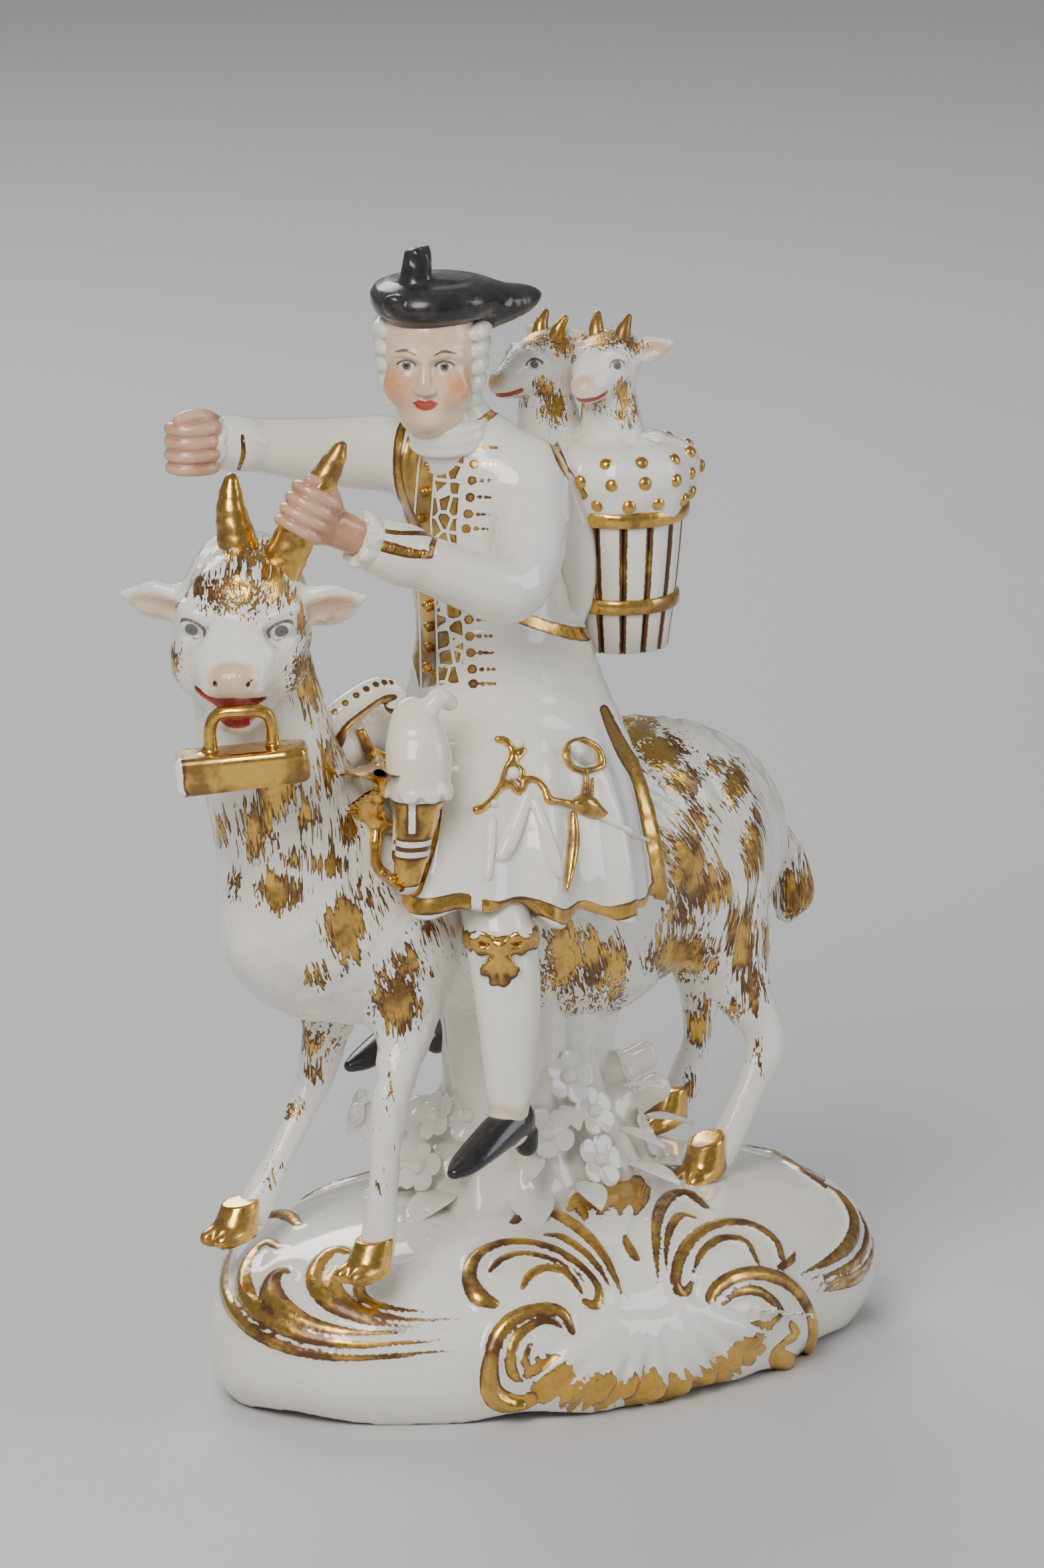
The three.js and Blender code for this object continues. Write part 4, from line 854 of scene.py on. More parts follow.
def build_goat_head(materials):
    """The goat's head and ears, open mouth and modelled brow."""
    head = GOAT_HEAD
    clay = Clay(step=0.53)
    clay.add(head.tube([
        [0, -14, 1, 5, 6], [0, -8, 0, 12, 12.5], [0, 2, -1, 14, 14], [0, 10, -0.6, 12, 11.8], [0, 17, 1.2, 9.2, 8],
        [0, 22, 3.5, 7.2, 4.4], [0, 24.6, 4.4, 5, 3.1],
    ], up=head.up))
    clay.add(head.tube([[0, 4, -8, 10, 6], [0, 13, -8.8, 8, 4.4], [0, 19.4, -9.2, 5.8, 3], [0, 22.6, -9, 3.8, 2.2]],
                       up=head.up), 3)
    clay.add(head.ball((0, 24.2, 5), (4.6, 2.4, 2.7)), 2)
    for half in head.halves():
        clay.add(half.ball((7.4, 7.4, 8.8), (4.4, 4, 2)), 3)
        clay.cut(half.ball((9.2, 12.4, 7.4), (3.6, 3, 2.6)), 2.5)
        clay.add(half.ball((8.5, 9.0, 6.7), (3.6, 3.2, 3.1)), 1)
        clay.add(half.tube([[5.6, 11.2, 8.2, 0.7], [8.6, 10.2, 10.2, 0.9], [11.8, 7.2, 9.2, 0.7]]), 1.4)
        clay.add(half.ball((8.5, 11, -3.5), (4.6, 6.5, 5)), 4)
        clay.add(half.ball((3.2, 24.6, 3), (3.2, 2.2, 1.9)), 1.5)
        clay.add(half.tube([
            [10, -3, 1.8, 3, 2.6], [14.5, -2.6, 1.2, 4.6, 2.3], [19, -3.2, 1.0, 4.9, 1.7],
            [22.4, -3.8, 1.5, 2.6, 1.1], [24.6, -4, 2.0, 0.8, 0.7],
        ], up=half.forward), 2)
        clay.cut(half.tube([
            [14.2, 0.6, 1.2, 2.2, 1.5], [17.6, 0, 1.0, 3.6, 1.7], [21.4, -1.6, 1.4, 1.8, 1.0],
        ], up=half.forward), 0.8)
    mouth = head.tube([[-6.8, 19.0, -1.5, 1.2, 1.1], [-5.0, 21.6, -2.3, 2.0, 2.6], [0, 24.4, -2.9, 3.4, 3.6],
                       [3.6, 22.4, -2.8, 1.7, 2.0], [5.2, 20, -2.8, 0.8, 0.6]], up=head.up)
    clay.cut(mouth, 0.8)
    clay.add(head.tube([[0, 14, -7.6, 4, 1.6], [0, 19, -6.6, 4, 1.3], [0, 22.4, -6.4, 2.6, 0.9]], up=head.up), 0.8)
    for half in head.halves():
        clay.cut(half.tube([[1.4, 26.4, 4.2, 0.4], [3, 26, 5.3, 0.7], [4.3, 24.6, 5, 0.35]]), 0.4)
    clay.add(head.ball((0, 3, 12), (8, 8, 4.4)), 3)

    def brow_locks(points):
        local = head.inside(points)
        place = local / (2.6, 8.0, 2.6)
        place[:, 0] += 0.9 * lattice_noise(local / 6.0, 21)
        ridges = 1 - 2 * np.abs(lattice_noise(place, 17))
        crown = smooth_step(5, 10, local[:, 2]) * smooth_step(12, 5, local[:, 1])
        sides = smooth_step(8, 12, np.abs(local[:, 0])) * smooth_step(2, -3, local[:, 2])
        cheeks = sides * smooth_step(16, 10, local[:, 1])
        return 0.5 * ridges * np.clip(crown + cheeks, 0, 1)

    clay.press(brow_locks)
    vertices = clay.mesh()
    local = head.inside(vertices)
    marks = [eye_marks(vertices, head.at((side * 9.1, 11.5, 6.9)), head.axes.T @ (0.80, -side * 0.45, side * 0.38),
                       head.up, half_width=2.8, half_height=1.95, iris=1.5) for side in (-1, 1)]
    pink = np.maximum(1 - np.linalg.norm((local - [0, 25.4, 4.4]) / [5.4, 4.2, 5], axis=1), -1) * 4
    ear = np.full(len(vertices), -4.0)
    for half in head.halves():
        inner = half.tube([[14.2, 0, 1.2, 3.2, 2.6], [18, -0.4, 1.0, 4.0, 2.6],
                           [22, -1.8, 1.6, 2.2, 1.8]], up=half.forward)
        ear = np.maximum(ear, -inner.distance(vertices))
    ear = np.where(clay.normal @ head.forward > 0.05, ear, -2)
    rims = [half.rows([[1.4, 26.5, 4.2, 0.45], [3, 26.2, 5.4, 0.7], [4.5, 24.8, 5.2, 0.35]]) for half in head.halves()]
    nostrils = line_distance(vertices, rims, 4.0)
    patches = [(head.at(place), size, strength) for place, size, strength in GOAT_HEAD_PATCHES]
    eyes = eye_layers(marks)
    patch = np.minimum(patch_strength(vertices, patches), 0.5 - 2 * eyes["opening"])
    hair = np.stack([local[:, 1] * 0.8 - local[:, 2] * 0.6, local[:, 0], local[:, 2]], -1)
    tongue = 2 - 2 * np.linalg.norm((local - [0.4, 22, -6.6]) / [4.4, 4.5, 2.1], axis=1)
    return new_object("goat_head", clay, materials, hollow=0.6, **eyes, pink=np.maximum(pink, 1.5 * ear), dark=nostrils,
                      red=np.maximum(0.6 - mouth.distance(vertices), tongue), patch=patch, hair=hair)


def build_horns(materials):
    """Two gilded horns, ringed by their growth."""
    clay = Clay(step=0.5)
    right = [[-84.3, -0.5, 177, 4.6], [-85.2, 1, 185, 4.2], [-85.8, 2.4, 192, 3.2], [-85.2, 3.2, 197, 2.1],
             [-84.8, 3.4, 199, 1.2]]
    left = [[-81.4, -4.4, 177, 4.8], [-79.4, -7, 184, 4.4], [-77, -9.4, 191, 3.9], [-74.4, -11.6, 198, 3.2],
            [-72, -13.4, 203.4, 2.3], [-71, -14.2, 206, 1.4]]
    clay.add(Tube(right, legs=4)).add(Tube(left, legs=4), 0.5)
    clay.press(lambda points: 0.08 * np.sin(points[:, 2] * 1.9 + 0.3 * points[:, 0]))
    return new_object("horns", clay, materials, gold=ALL_GOLD)


def build_iron(materials):
    """The flat iron, with its handle between the goat's lips."""
    head = LocalFrame(GOAT_HEAD.centre, 45, 0)
    tilt = LocalFrame(head.at((0.5, 21, -26.5)), 45, 0, 7)
    clay = Clay(step=0.5)

    def sole(points):
        local = tilt.inside(points)
        width = np.where(local[:, 0] > 9, 5.6 - 0.35 * (local[:, 0] - 9), 5.6)
        top = 4.0 - 0.02 * local[:, 0]
        corner = np.stack([np.abs(local[:, 0] + 0.2) - 13.6, np.abs(local[:, 1]) - width,
                           np.maximum(local[:, 2] - top, -3.7 - local[:, 2])], -1) + 1.5
        return np.linalg.norm(np.maximum(corner, 0), axis=1) + np.minimum(corner.max(1), 0) - 1.5

    reach = np.array([15, 15, 15])
    clay.add(Field(tilt.centre - reach, tilt.centre + reach, sole), 0.3)
    clay.cut(tilt.tube([[-16, 6.6, 2.9, 0.5], [0, 6.4, 2.7, 0.5], [16, 6.6, 2.6, 0.5]], legs=2), 0.4)
    clay.add(head.tube([
        [-6.4, 21, -24.5, 2.2, 2.2], [-6.2, 21.3, -22, 1.5, 1.5], [-6.2, 22, -18, 1.3, 1.4],
        [-4.6, 22.6, -15, 1.3, 1.5], [0, 23, -14.2, 1.3, 1.6], [4.8, 22.6, -14.6, 1.3, 1.5], [6.2, 22, -17.6, 1.3, 1.4],
        [6.4, 21.3, -21, 1.5, 1.5], [6.6, 21, -24, 2.2, 2.2],
    ], up=head.forward, legs=4), 0.7)
    vertices = clay.mesh()
    worn = tilt.inside(vertices)[:, 0] + 12.2 + 0.5 * lattice_noise(vertices / 2.0, 9)
    return new_object("flat_iron", clay, materials, gold=np.clip(worn, -ALL_GOLD, ALL_GOLD))


# The rider. Painted lines are drawn on a plane that faces the front quarter, as right and up.


def drawn_places(points, turn=FRONT):
    """Right, up and towards-the-eye distances of points on the drawing plane."""
    return points @ drawing_axes(turn).T


def drawn_depth(points, normal, lines, turn=FRONT, margin=4.0):
    """How deep points that face the drawing plane lie in lines drawn on it: rows of right, up, half width."""
    places = drawn_places(points, turn)
    facing = drawn_places(normal, turn)[:, 2]
    flat = np.stack([places[:, 0], places[:, 1], 0 * places[:, 0]], -1)
    rows = [[[right, up, 0, width] for right, up, width in spline(line, 4)] for line in lines]
    return np.where(facing > -0.05, line_distance(flat, rows, margin), -margin)


def area_depth(points, normal, outline, turn=FRONT, margin=4.0):
    """How deep points that face the drawing plane lie in an area drawn on it: corners of right, up."""
    places = drawn_places(points, turn)
    facing = drawn_places(normal, turn)[:, 2]
    outline = np.asarray(outline, float)
    inside = np.zeros(len(points), bool)
    gap = np.full(len(points), margin)
    for start, end in zip(outline, np.roll(outline, -1, axis=0)):
        along = end - start
        rel = places[:, :2] - start
        t = np.clip(rel @ along / (along @ along), 0, 1)
        gap = np.minimum(gap, np.linalg.norm(rel - t[:, None] * along, axis=1))
        crosses = (start[1] > places[:, 1]) != (end[1] > places[:, 1])
        at = start[0] + (places[:, 1] - start[1]) / (along[1] if along[1] else 1e-9) * along[0]
        inside ^= crosses & (places[:, 0] < at)
    return np.where(facing > -0.05, np.where(inside, gap, -gap), -margin)


def onto_piece(drawn, points, lift=0.0, turn=FRONT, reach=1.6):
    """Where drawn places meet a modelled piece, lifted towards the eye."""
    places = drawn_places(points, turn)
    found = []
    for right, up in drawn:
        near = np.flatnonzero(np.hypot(places[:, 0] - right, places[:, 1] - up) < reach)
        if not len(near):
            near = [np.argmin(np.hypot(places[:, 0] - right, places[:, 1] - up))]
        depths = places[near, 2]
        best = depths > depths.max() - 2.0
        found.append([right, up, depths[best].mean() + lift])
    return np.array(found) @ drawing_axes(turn)


TORSO = [
    [-11, 0.8, 134, 19.2, 22.6], [-10.6, 1.2, 146, 17.0, 18.6], [-11.8, 1.4, 157, 15.2, 15.8],
    [-13.8, 1.4, 170, 15.8, 15.4], [-16.2, 0.8, 182, 17, 14], [-18, 0, 191, 15, 11.5], [-21, 0, 197, 9, 8],
    [-24, 0, 204, 6, 6],
]
RIGHT_SLEEVE = [
    [-14, 8, 188, 8, 9], [-24, 16, 192, 7.4, 8.2], [-36, 22, 193.5, 6.4, 7], [-47, 26.5, 195.5, 5.7, 6.1],
    [-57, 30, 197.5, 5.1, 5.3], [-60, 31, 198, 4.6, 4.8],
]
LEFT_SLEEVE = [
    [-14, -9, 189, 8, 9], [-18, -16, 184, 7.8, 8.4], [-27, -23, 176, 7.2, 7.6], [-36, -26, 172.5, 6.8, 7],
    [-47, -22.5, 177, 6.1, 6.1], [-57, -18, 182, 5.7, 5.7], [-61, -16, 184, 5, 5],
]
NEAR_SKIRT = [
    [-13, -5, 158, 9, 15], [-15, -9, 146, 13, 20.6], [-19, -14, 134, 16.4, 26.6], [-23, -18, 121, 19, 31.4],
    [-26, -20.6, 109, 19.6, 34.6], [-27, -21.6, 99, 19.6, 36],
]
HEM_HEIGHTS = ([-60, -48, -30, -8, 10, 26], [110, 108.6, 104.6, 101.6, 103, 106.5])
FAR_SKIRT = [
    [-6, 4, 152, 9, 12], [-3, 9, 143, 12, 14], [0, 14, 133, 14, 17], [2, 18, 121, 14.6, 19.6],
    [3, 21, 108.5, 13.6, 22.4],
]
HEM_LINES = [
    [(13.6, 132.4, 1.0), (15.2, 128.6, 1.3), (17.8, 123.4, 1.6), (20.6, 118.9, 1.7), (22.2, 113.1, 1.8),
     (23.2, 108.1, 1.8),
     (24.4, 103, 1.8), (25.2, 98, 1.9), (25.8, 94, 2.0)],
    [(-20.2, 114.3, 0.8), (-21.7, 105.5, 1.1), (-25.1, 95.7, 1.4)],
]
COAT_LINES = [
    [(-26, 193.5, 0.7), (-28.1, 190, 0.9), (-29, 183.7, 0.9), (-28.1, 176.6, 1.0), (-24.6, 168.6, 1.1)],
    [(-6, 196.2, 0.6), (-9.5, 193, 0.8), (-13.4, 190.2, 0.7)],
    [(-11.2, 155.4, 1.3), (-2.8, 151, 1.35), (6, 148.3, 1.35), (9.8, 147.9, 1.5)],
    [(0.5, 192.6, 1.0), (3.2, 187.2, 1.0), (5.4, 182, 0.9), (9.4, 176.4, 0.8)],
]
SLEEVE_LINES = [
    [(-35.9, 169.6, 1.2), (-37.2, 165, 1.3), (-36.1, 160.2, 1.2)],
    [(-35.6, 169.6, 0.5), (-29.4, 168.2, 0.45), (-21.6, 167.9, 0.5), (-21.6, 165.6, 0.6), (-22, 163.4, 0.6)],
    [(-22, 163.6, 0.7), (-26, 164, 1.0), (-30, 165, 1.2), (-35.4, 166.6, 1.0)],
    [(-60.6, 188.3, 0.4), (-60.4, 184.6, 0.5), (-61.4, 181.6, 0.4)],
]
WAISTCOAT = [(-25.4, 192.8), (-21, 189.6), (-15.3, 188.4), (-15.4, 182), (-16.2, 176.8), (-16.9, 170), (-16, 155),
             (-15.4, 146), (-15.6, 138), (-24.4, 136.8), (-26.4, 145), (-26.8, 155), (-29.4, 170), (-28.6, 183)]
STRIP_MIDDLE = ([136, 156, 171, 182, 192], [-22.3, -22.9, -23.8, -22.9, -21.2])
DOT_PLACES = [(-13, 186), (-13.2, 182.6), (-13.6, 179.2), (-14, 175.8), (-14.4, 172.4), (-14.8, 169.4), (-14.5, 154.4),
              (-14.3, 150.8), (-14.1, 147.4), (-13.9, 144), (-13.6, 140.6), (-13.4, 137.6)]
BUTTON_PLACES = [(-21.4, 187.6), (-22.7, 182.4), (-23.6, 177), (-24.4, 171.6), (-22.8, 153.6), (-22.6, 149.4),
                 (-22.6, 145.2), (-22.9, 141)]
CUFF_BUTTONS = [(-33.8, 166.4), (-30, 165.1), (-26.2, 164.3), (-23.4, 163.9)]
RIDER_HEAD = LocalFrame((-29.5, 1.5, 215.5), 38, 2)


def hem_height(points):
    """How high the coat's hem hangs: it dips beside the near leg."""
    near = np.interp(points[:, 0], *HEM_HEIGHTS)
    wave = 0.75 * np.sin(0.45 * points[:, 0] + 1.0)
    return 106.4 + (near + wave - 106.4) * smooth_step(-2, -16, points[:, 1])


def coat_folds(points):
    """Folds that run down the skirts and deepen towards the hem."""
    down = smooth_step(146, 112, points[:, 2])
    angle = np.arctan2(points[:, 1] + 4, points[:, 0] + 12)
    waves = np.sin(11 * angle + 0.8 * np.sin(3 * angle)) + 0.4 * np.sin(23 * angle + 1.0)
    soft = lattice_noise(points / (11.0, 11.0, 22.0), 31)
    creases = 1 - 2 * np.abs(lattice_noise(points / (9.0, 9.0, 6.0), 37))
    elbow = np.exp(-np.linalg.norm((points - [-32, -25, 174]) / [11, 9, 9], axis=1) ** 2)
    waist = np.exp(-((points[:, 2] - 160) / 7.0) ** 2) * smooth_step(-18, -6, points[:, 0])
    return 1.45 * down * waves + 0.4 * soft + 0.5 * creases * (elbow + waist)


def build_coat(materials):
    """The coat with its skirts and sleeves, the waistcoat and the painted edges."""
    clay = Clay(step=0.75)
    clay.add(Tube(TORSO, up=(1, 0, 0)))
    clay.add(Tube(NEAR_SKIRT, up=(1, 0, 0)), 6)
    clay.add(Tube(FAR_SKIRT, up=(1, 0, 0)), 6)
    clay.add(Tube(RIGHT_SLEEVE), 4)
    clay.add(Tube(LEFT_SLEEVE, up=(0, -0.5, 0.86)), 3)
    clay.add(Ball((-15, -11, 189), (9, 7.5, 7.5)), 4)
    clay.add(Ball((-15, 11, 190), (9, 7.5, 7.5)), 4)
    clay.add(Tube([[-61, -16, 184, 5.9, 5.9], [-57, -17.8, 182, 6.5, 6.5], [-55, -18.6, 181, 6.3, 6.3]]), 0.5)
    clay.add(Tube([[-60.5, 31.2, 198, 5.4, 5.4], [-57, 30, 197.4, 5.9, 5.9], [-55, 29.2, 197, 5.6, 5.6]]), 0.5)
    clay.cut(Field((-70, -60, 70), (40, 50, 113), lambda points: points[:, 2] - hem_height(points)), 0.8)
    clay.press(coat_folds)
    vertices = clay.mesh()
    normal = clay.normal
    on_sleeve = np.minimum(Tube(LEFT_SLEEVE[3:]).distance(vertices), Tube(RIGHT_SLEEVE[3:]).distance(vertices)) < 1.4
    places = drawn_places(vertices)
    gold = drawn_depth(vertices, normal, HEM_LINES + COAT_LINES)
    hem = 1.7 - np.abs(vertices[:, 2] - hem_height(vertices) - 1.2)
    gold = np.maximum(gold, np.minimum(hem, np.abs(places[:, 0] + 12.6) - 1.1))
    for right, up in DOT_PLACES:
        for step, size in ((0, 0.95), (2.0, 0.5), (3.3, 0.42), (4.4, 0.36)):
            dot = [(right + step, up, size), (right + step + 0.1, up, size)]
            gold = np.maximum(gold, drawn_depth(vertices, normal, [dot]))
    gold = np.where(on_sleeve, drawn_depth(vertices, normal, SLEEVE_LINES), gold)
    vest = np.where(on_sleeve, -4, area_depth(vertices, normal, WAISTCOAT))
    strip = places[:, 0] - np.interp(places[:, 1], *STRIP_MIDDLE)
    return new_object("coat", clay, materials, gold=gold, net=np.minimum(vest, 3.0), strip=strip, drawn=places)


def piece_points(name):
    """A piece's vertices in millimetres."""
    mesh = bpy.data.objects[name].data
    out = np.empty(len(mesh.vertices) * 3, np.float32)
    mesh.vertices.foreach_get("co", out)
    return out.reshape(-1, 3).astype(float) / MM


RELIEF_GOLD = [
    [(-8.3, 126.2, 0.9), (-6.8, 125.9, 1.0), (-5.6, 124.4, 0.8), (-5.2, 122.4, 1.1), (-6.4, 120.8, 0.6),
     (-7.2, 118.6, 0.6),
     (-7.6, 116.8, 0.8), (-9.6, 114, 0.7), (-11.2, 112.4, 0.9), (-12.6, 111.8, 1.1)],
    [(-4.6, 123.4, 0.6), (-3.2, 124.2, 0.7), (-3.4, 123, 0.6), (-4.9, 121.4, 0.6), (-3.4, 120, 0.6), (-3.9, 118, 0.7)],
    [(-7.2, 116.8, 0.9), (-5.6, 117.2, 0.9), (-4.4, 115.6, 0.8), (-3.4, 116, 0.8), (-2.4, 118, 0.9), (-0.4, 117.8, 0.8),
     (1.3, 116, 0.9), (2.2, 113.8, 1.1), (4.4, 113.6, 0.7), (7, 113, 0.9)],
    [(9.4, 126.2, 0.75), (6.6, 125.4, 0.75), (5.6, 123, 0.75), (7, 120.6, 0.7), (9.6, 119.8, 0.7), (12.4, 120.4, 0.8),
     (13.2, 121.6, 0.9), (12.2, 124.4, 0.8), (9.4, 126.2, 0.75)],
    [(9.8, 119.6, 0.7), (9.8, 117.4, 0.65), (9.6, 115.4, 0.9)], [(11.2, 118.4, 0.35), (11, 115, 0.45)],
    [(7.2, 111, 0.8), (7.4, 107, 1.2), (7.2, 103.6, 1.3), (6.6, 99, 0.9), (5.8, 95, 0.4)],
    [(7.6, 113.2, 1.1), (9.8, 112.8, 2.5), (11.8, 111.6, 1.9), (13.6, 110.8, 1.0)],
]
RELIEF_WHITE = [
    [(-2.4, 114.4, 1.4), (-4.4, 109, 1.8), (-6.4, 104.6, 2.0), (-7.6, 102.4, 1.4)],
    [(-0.6, 113.2, 1.2), (1.6, 107, 1.4), (3.4, 101.6, 1.5), (4.3, 98.6, 1.0)],
    [(-9.4, 110, 0.9), (-9.8, 104, 1.1), (-10.2, 98, 0.8)], [(13, 110.8, 1.2), (17, 108.4, 0.9), (22.8, 105.4, 0.4)],
    [(-4.2, 125.5, 1.35), (-4.1, 125.4, 1.35)], [(-5.15, 119.3, 1.55), (-5.1, 119.2, 1.55)],
    [(9.6, 122.9, 2.1), (9.7, 122.8, 2.1)], [(-9.2, 113.2, 1.0), (-9.1, 113.1, 1.0)],
]


def relief_piece(name, rows_list, points, materials, step, lift, **values):
    """Drawn ridges that lie on a piece, as one solid."""
    clay = Clay(step)
    for rows in rows_list:
        line = spline(rows, 3)
        places = onto_piece(line[:, :2], points, lift)
        clay.add(Tube(np.hstack([places, line[:, 2:3] * 0.92]), up=(0.3, 0.1, 1), legs=1), 0.5)
    return new_object(name, clay, materials, **values)


def build_coat_buttons(materials):
    """Gilded buttons down the waistcoat and along the cuff, set by Geometry Nodes."""
    points = piece_points("coat")
    places = [onto_piece([drawn], points, 0.1)[0] for drawn in BUTTON_PLACES + CUFF_BUTTONS]
    ways = [drawing_axes(FRONT)[2]] * len(places)
    sizes = [1.0] * len(BUTTON_PLACES) + [0.85] * len(CUFF_BUTTONS)
    button = dome_mesh("button", chosen("button_radius"), height=1.1)
    return repeat_piece("coat_buttons", button, places, turns_to(ways), sizes, materials[0], variation=0.05,
                        gold=ALL_GOLD)


def build_coat_relief(materials):
    """The chain with its hook and the scissors, gilded, with white pendants."""
    points = piece_points("coat")
    relief_piece("chain_and_scissors", RELIEF_GOLD, points, materials[:1], step=0.45, lift=0.2, gold=ALL_GOLD)
    return relief_piece("pendants", RELIEF_WHITE, points, materials[1:], step=0.45, lift=0.1, hollow=0)


# The garter's bow in its knot's frame: a loop and a hanging end for each side, and the end in the middle.
BOW_LOOPS = (
    [(0.8, 0.6, 0, 0.9, 0.5), (3.0, 1.0, 1.9, 1.2, 0.5), (5.2, 0.3, 1.6, 1.2, 0.5), (4.8, -0.2, -0.6, 1.1, 0.5),
     (2.4, 0.4, -0.9, 0.9, 0.5), (0.8, 0.6, 0, 0.8, 0.5)],
    [(0.4, 0.6, -0.6, 0.9, 0.5), (1.6, 0.9, -3.4, 1.3, 0.5), (2.9, 0.3, -5.8, 1.7, 0.5), (3.1, 0.1, -6.6, 0.5, 0.4)],
)
BOW_END = [(0, 0.6, -0.6, 0.9, 0.5), (0.2, 0.9, -4.4, 1.3, 0.5), (0, 0.3, -7.4, 0.6, 0.4)]
# How far behind the near leg the far one hangs, in millimetres.
FAR_LEG_BACK = 45


def build_legs(materials):
    """Breeches, stockings and the gilded garters, the near one with a bow."""
    near = [
        [-36, -20, 118, 5, 6], [-39.6, -25.6, 110, 6.4, 6.8], [-42.3, -31.4, 101, 7.2, 7.4], [-43, -34.2, 89, 6.5, 7.2],
        [-44, -35.5, 77, 5.3, 5.7], [-44.5, -36, 66, 3.9, 4.4], [-44.5, -36, 61.5, 3.6, 4.6],
    ]
    far = [[x + FAR_LEG_BACK, -y, z, a, b] for x, y, z, a, b in near]
    clay = Clay(step=0.62)
    clay.add(Tube(near, up=(1, 0, 0), legs=4))
    clay.add(Tube(far, up=(1, 0, 0), legs=4))
    for x, y in ((-42.2, -31.3), (2.8, 31.3)):
        band = [[height, 0, 0, reach, reach] for height, reach in ((99.4, 7.5), (100.4, 8), (102.8, 8), (103.8, 7.5))]
        clay.add(Turned(LocalFrame((x, y, 0), 45), band), 0.5)
    foot = np.array([-49.5, -36.8, -0.4])
    knot = LocalFrame(foot + [1.4, -0.2, 102.2], 45, 0)
    clay.add(knot.ball((0, 0.6, 0), (1.5, 1.3, 1.5)), 0.4)
    for half in knot.halves():
        for loop in BOW_LOOPS:
            clay.add(half.tube(loop, up=knot.forward), 0.4)
    clay.add(knot.tube(BOW_END, up=knot.forward), 0.4)
    vertices = clay.mesh()
    band = 2.0 - np.abs(vertices[:, 2] - 101.6)
    local = knot.inside(vertices)
    bow = np.minimum(local[:, 1] - 0.25, 6.6 - np.linalg.norm(local - [0, 0, -2.0], axis=1))
    streak = 0.7 * lattice_noise(vertices / (1.2, 1.2, 2.6), 33)
    repair = 1.2 - np.abs(vertices[:, 2] - 66.5 - 0.8 * np.sin(vertices[:, 0]))
    repair = np.where(vertices[:, 1] < 0, repair, -3)
    return new_object("legs", clay, materials, gold=np.maximum(band, bow) + streak, stain=repair)


def build_shoes(materials):
    """Two black heeled shoes."""
    near = [
        [-39.6, -35.7, 63.4, 2.2, 3.2], [-42.6, -35.9, 63.4, 3.9, 4.2], [-47.4, -36.3, 62, 4.1, 3.9],
        [-54, -37, 59.4, 4.0, 2.9], [-59, -37.5, 57.4, 3.3, 2.2], [-62.4, -38, 56.4, 1.6, 1.3],
    ]
    clay = Clay(step=0.5)
    for shift, side in ((0, 1), (45, -1)):
        rows = [[x + shift, y * side, z, a, b] for x, y, z, a, b in near]
        clay.add(Tube(rows, legs=4))
        heel = [[-39.6 + shift, -35.8 * side, 60, 2.8, 2.8], [-39.2 + shift, -35.8 * side, 57.6, 2.4, 2.4]]
        clay.add(Tube(heel, up=(1, 0, 0)), 0.6)
        clay.cut(Tube([[-43.4 + shift, -35.9 * side, 67.2, 3.6, 3.4], [-46.6 + shift, -36.1 * side, 66.8, 3, 2.6]]),
                 0.6)
        clay.add(Ball((-51.6 + shift, -36.7 * side, 62.6), (2, 2.4, 0.9)), 0.5)
    return new_object("shoes", clay, materials)


def hand(clay, local, size):
    """A closed fist: four curled fingers, a thumb and the back of the hand."""

    def rows(values):
        return local.rows([[r * size, f * size, u * size, w * size] for r, f, u, w in values])

    clay.add(local.ball(np.array([0.8, -0.2, 0]) * size, np.array([4.3, 3.5, 5.4]) * size), 0.6)
    for finger, w in enumerate((1.5, 1.55, 1.5, 1.3)):
        u = 4.3 - 2.75 * finger
        clay.add(Tube(rows([(4.6, -1.2, u * 0.9, w), (4.3, 2.2, u, w * 1.06), (1.4, 4.5, u, w * 1.04),
                            (-2.2, 4.7, u, w), (-4.4, 2.4, u, w * 0.95), (-3.6, 0, u, w * 0.85)]), up=local.up), 0.35)
    clay.add(Tube(rows([(4.2, -2, 4.6, 1.8), (2.4, 1.4, 6.4, 1.75), (-0.6, 3.6, 6.9, 1.6), (-2.6, 4.8, 6.6, 1.3)]),
                  up=local.up), 0.5)


def build_hands(materials):
    """Both fists and wrists."""
    clay = Clay(step=0.45)
    hand(clay, LocalFrame((-67.2, 33, 198), 45), 1.0)
    clay.add(Tube([[-59, 30.6, 197.8, 3.6, 3.8], [-64.5, 32.4, 198, 3.6, 4.4]]), 1.5)
    hand(clay, LocalFrame((-76, -9.4, 192.4), 45, -14, -28), 0.95)
    clay.add(Tube([[-61, -15.8, 183.8, 3.8, 3.8], [-68, -13, 187.6, 3.6, 3.9], [-73, -11, 190.2, 3.6, 4.2]]), 1.8)
    clay.mesh()
    # The clipped hollow measure marks where the skin turns dark red: over the fists, and strongest in the creases
    # between the fingers as painted shade.
    return new_object("hands", clay, materials, hollow=0.4, crease=np.clip(clay.hollow, 0, 1))


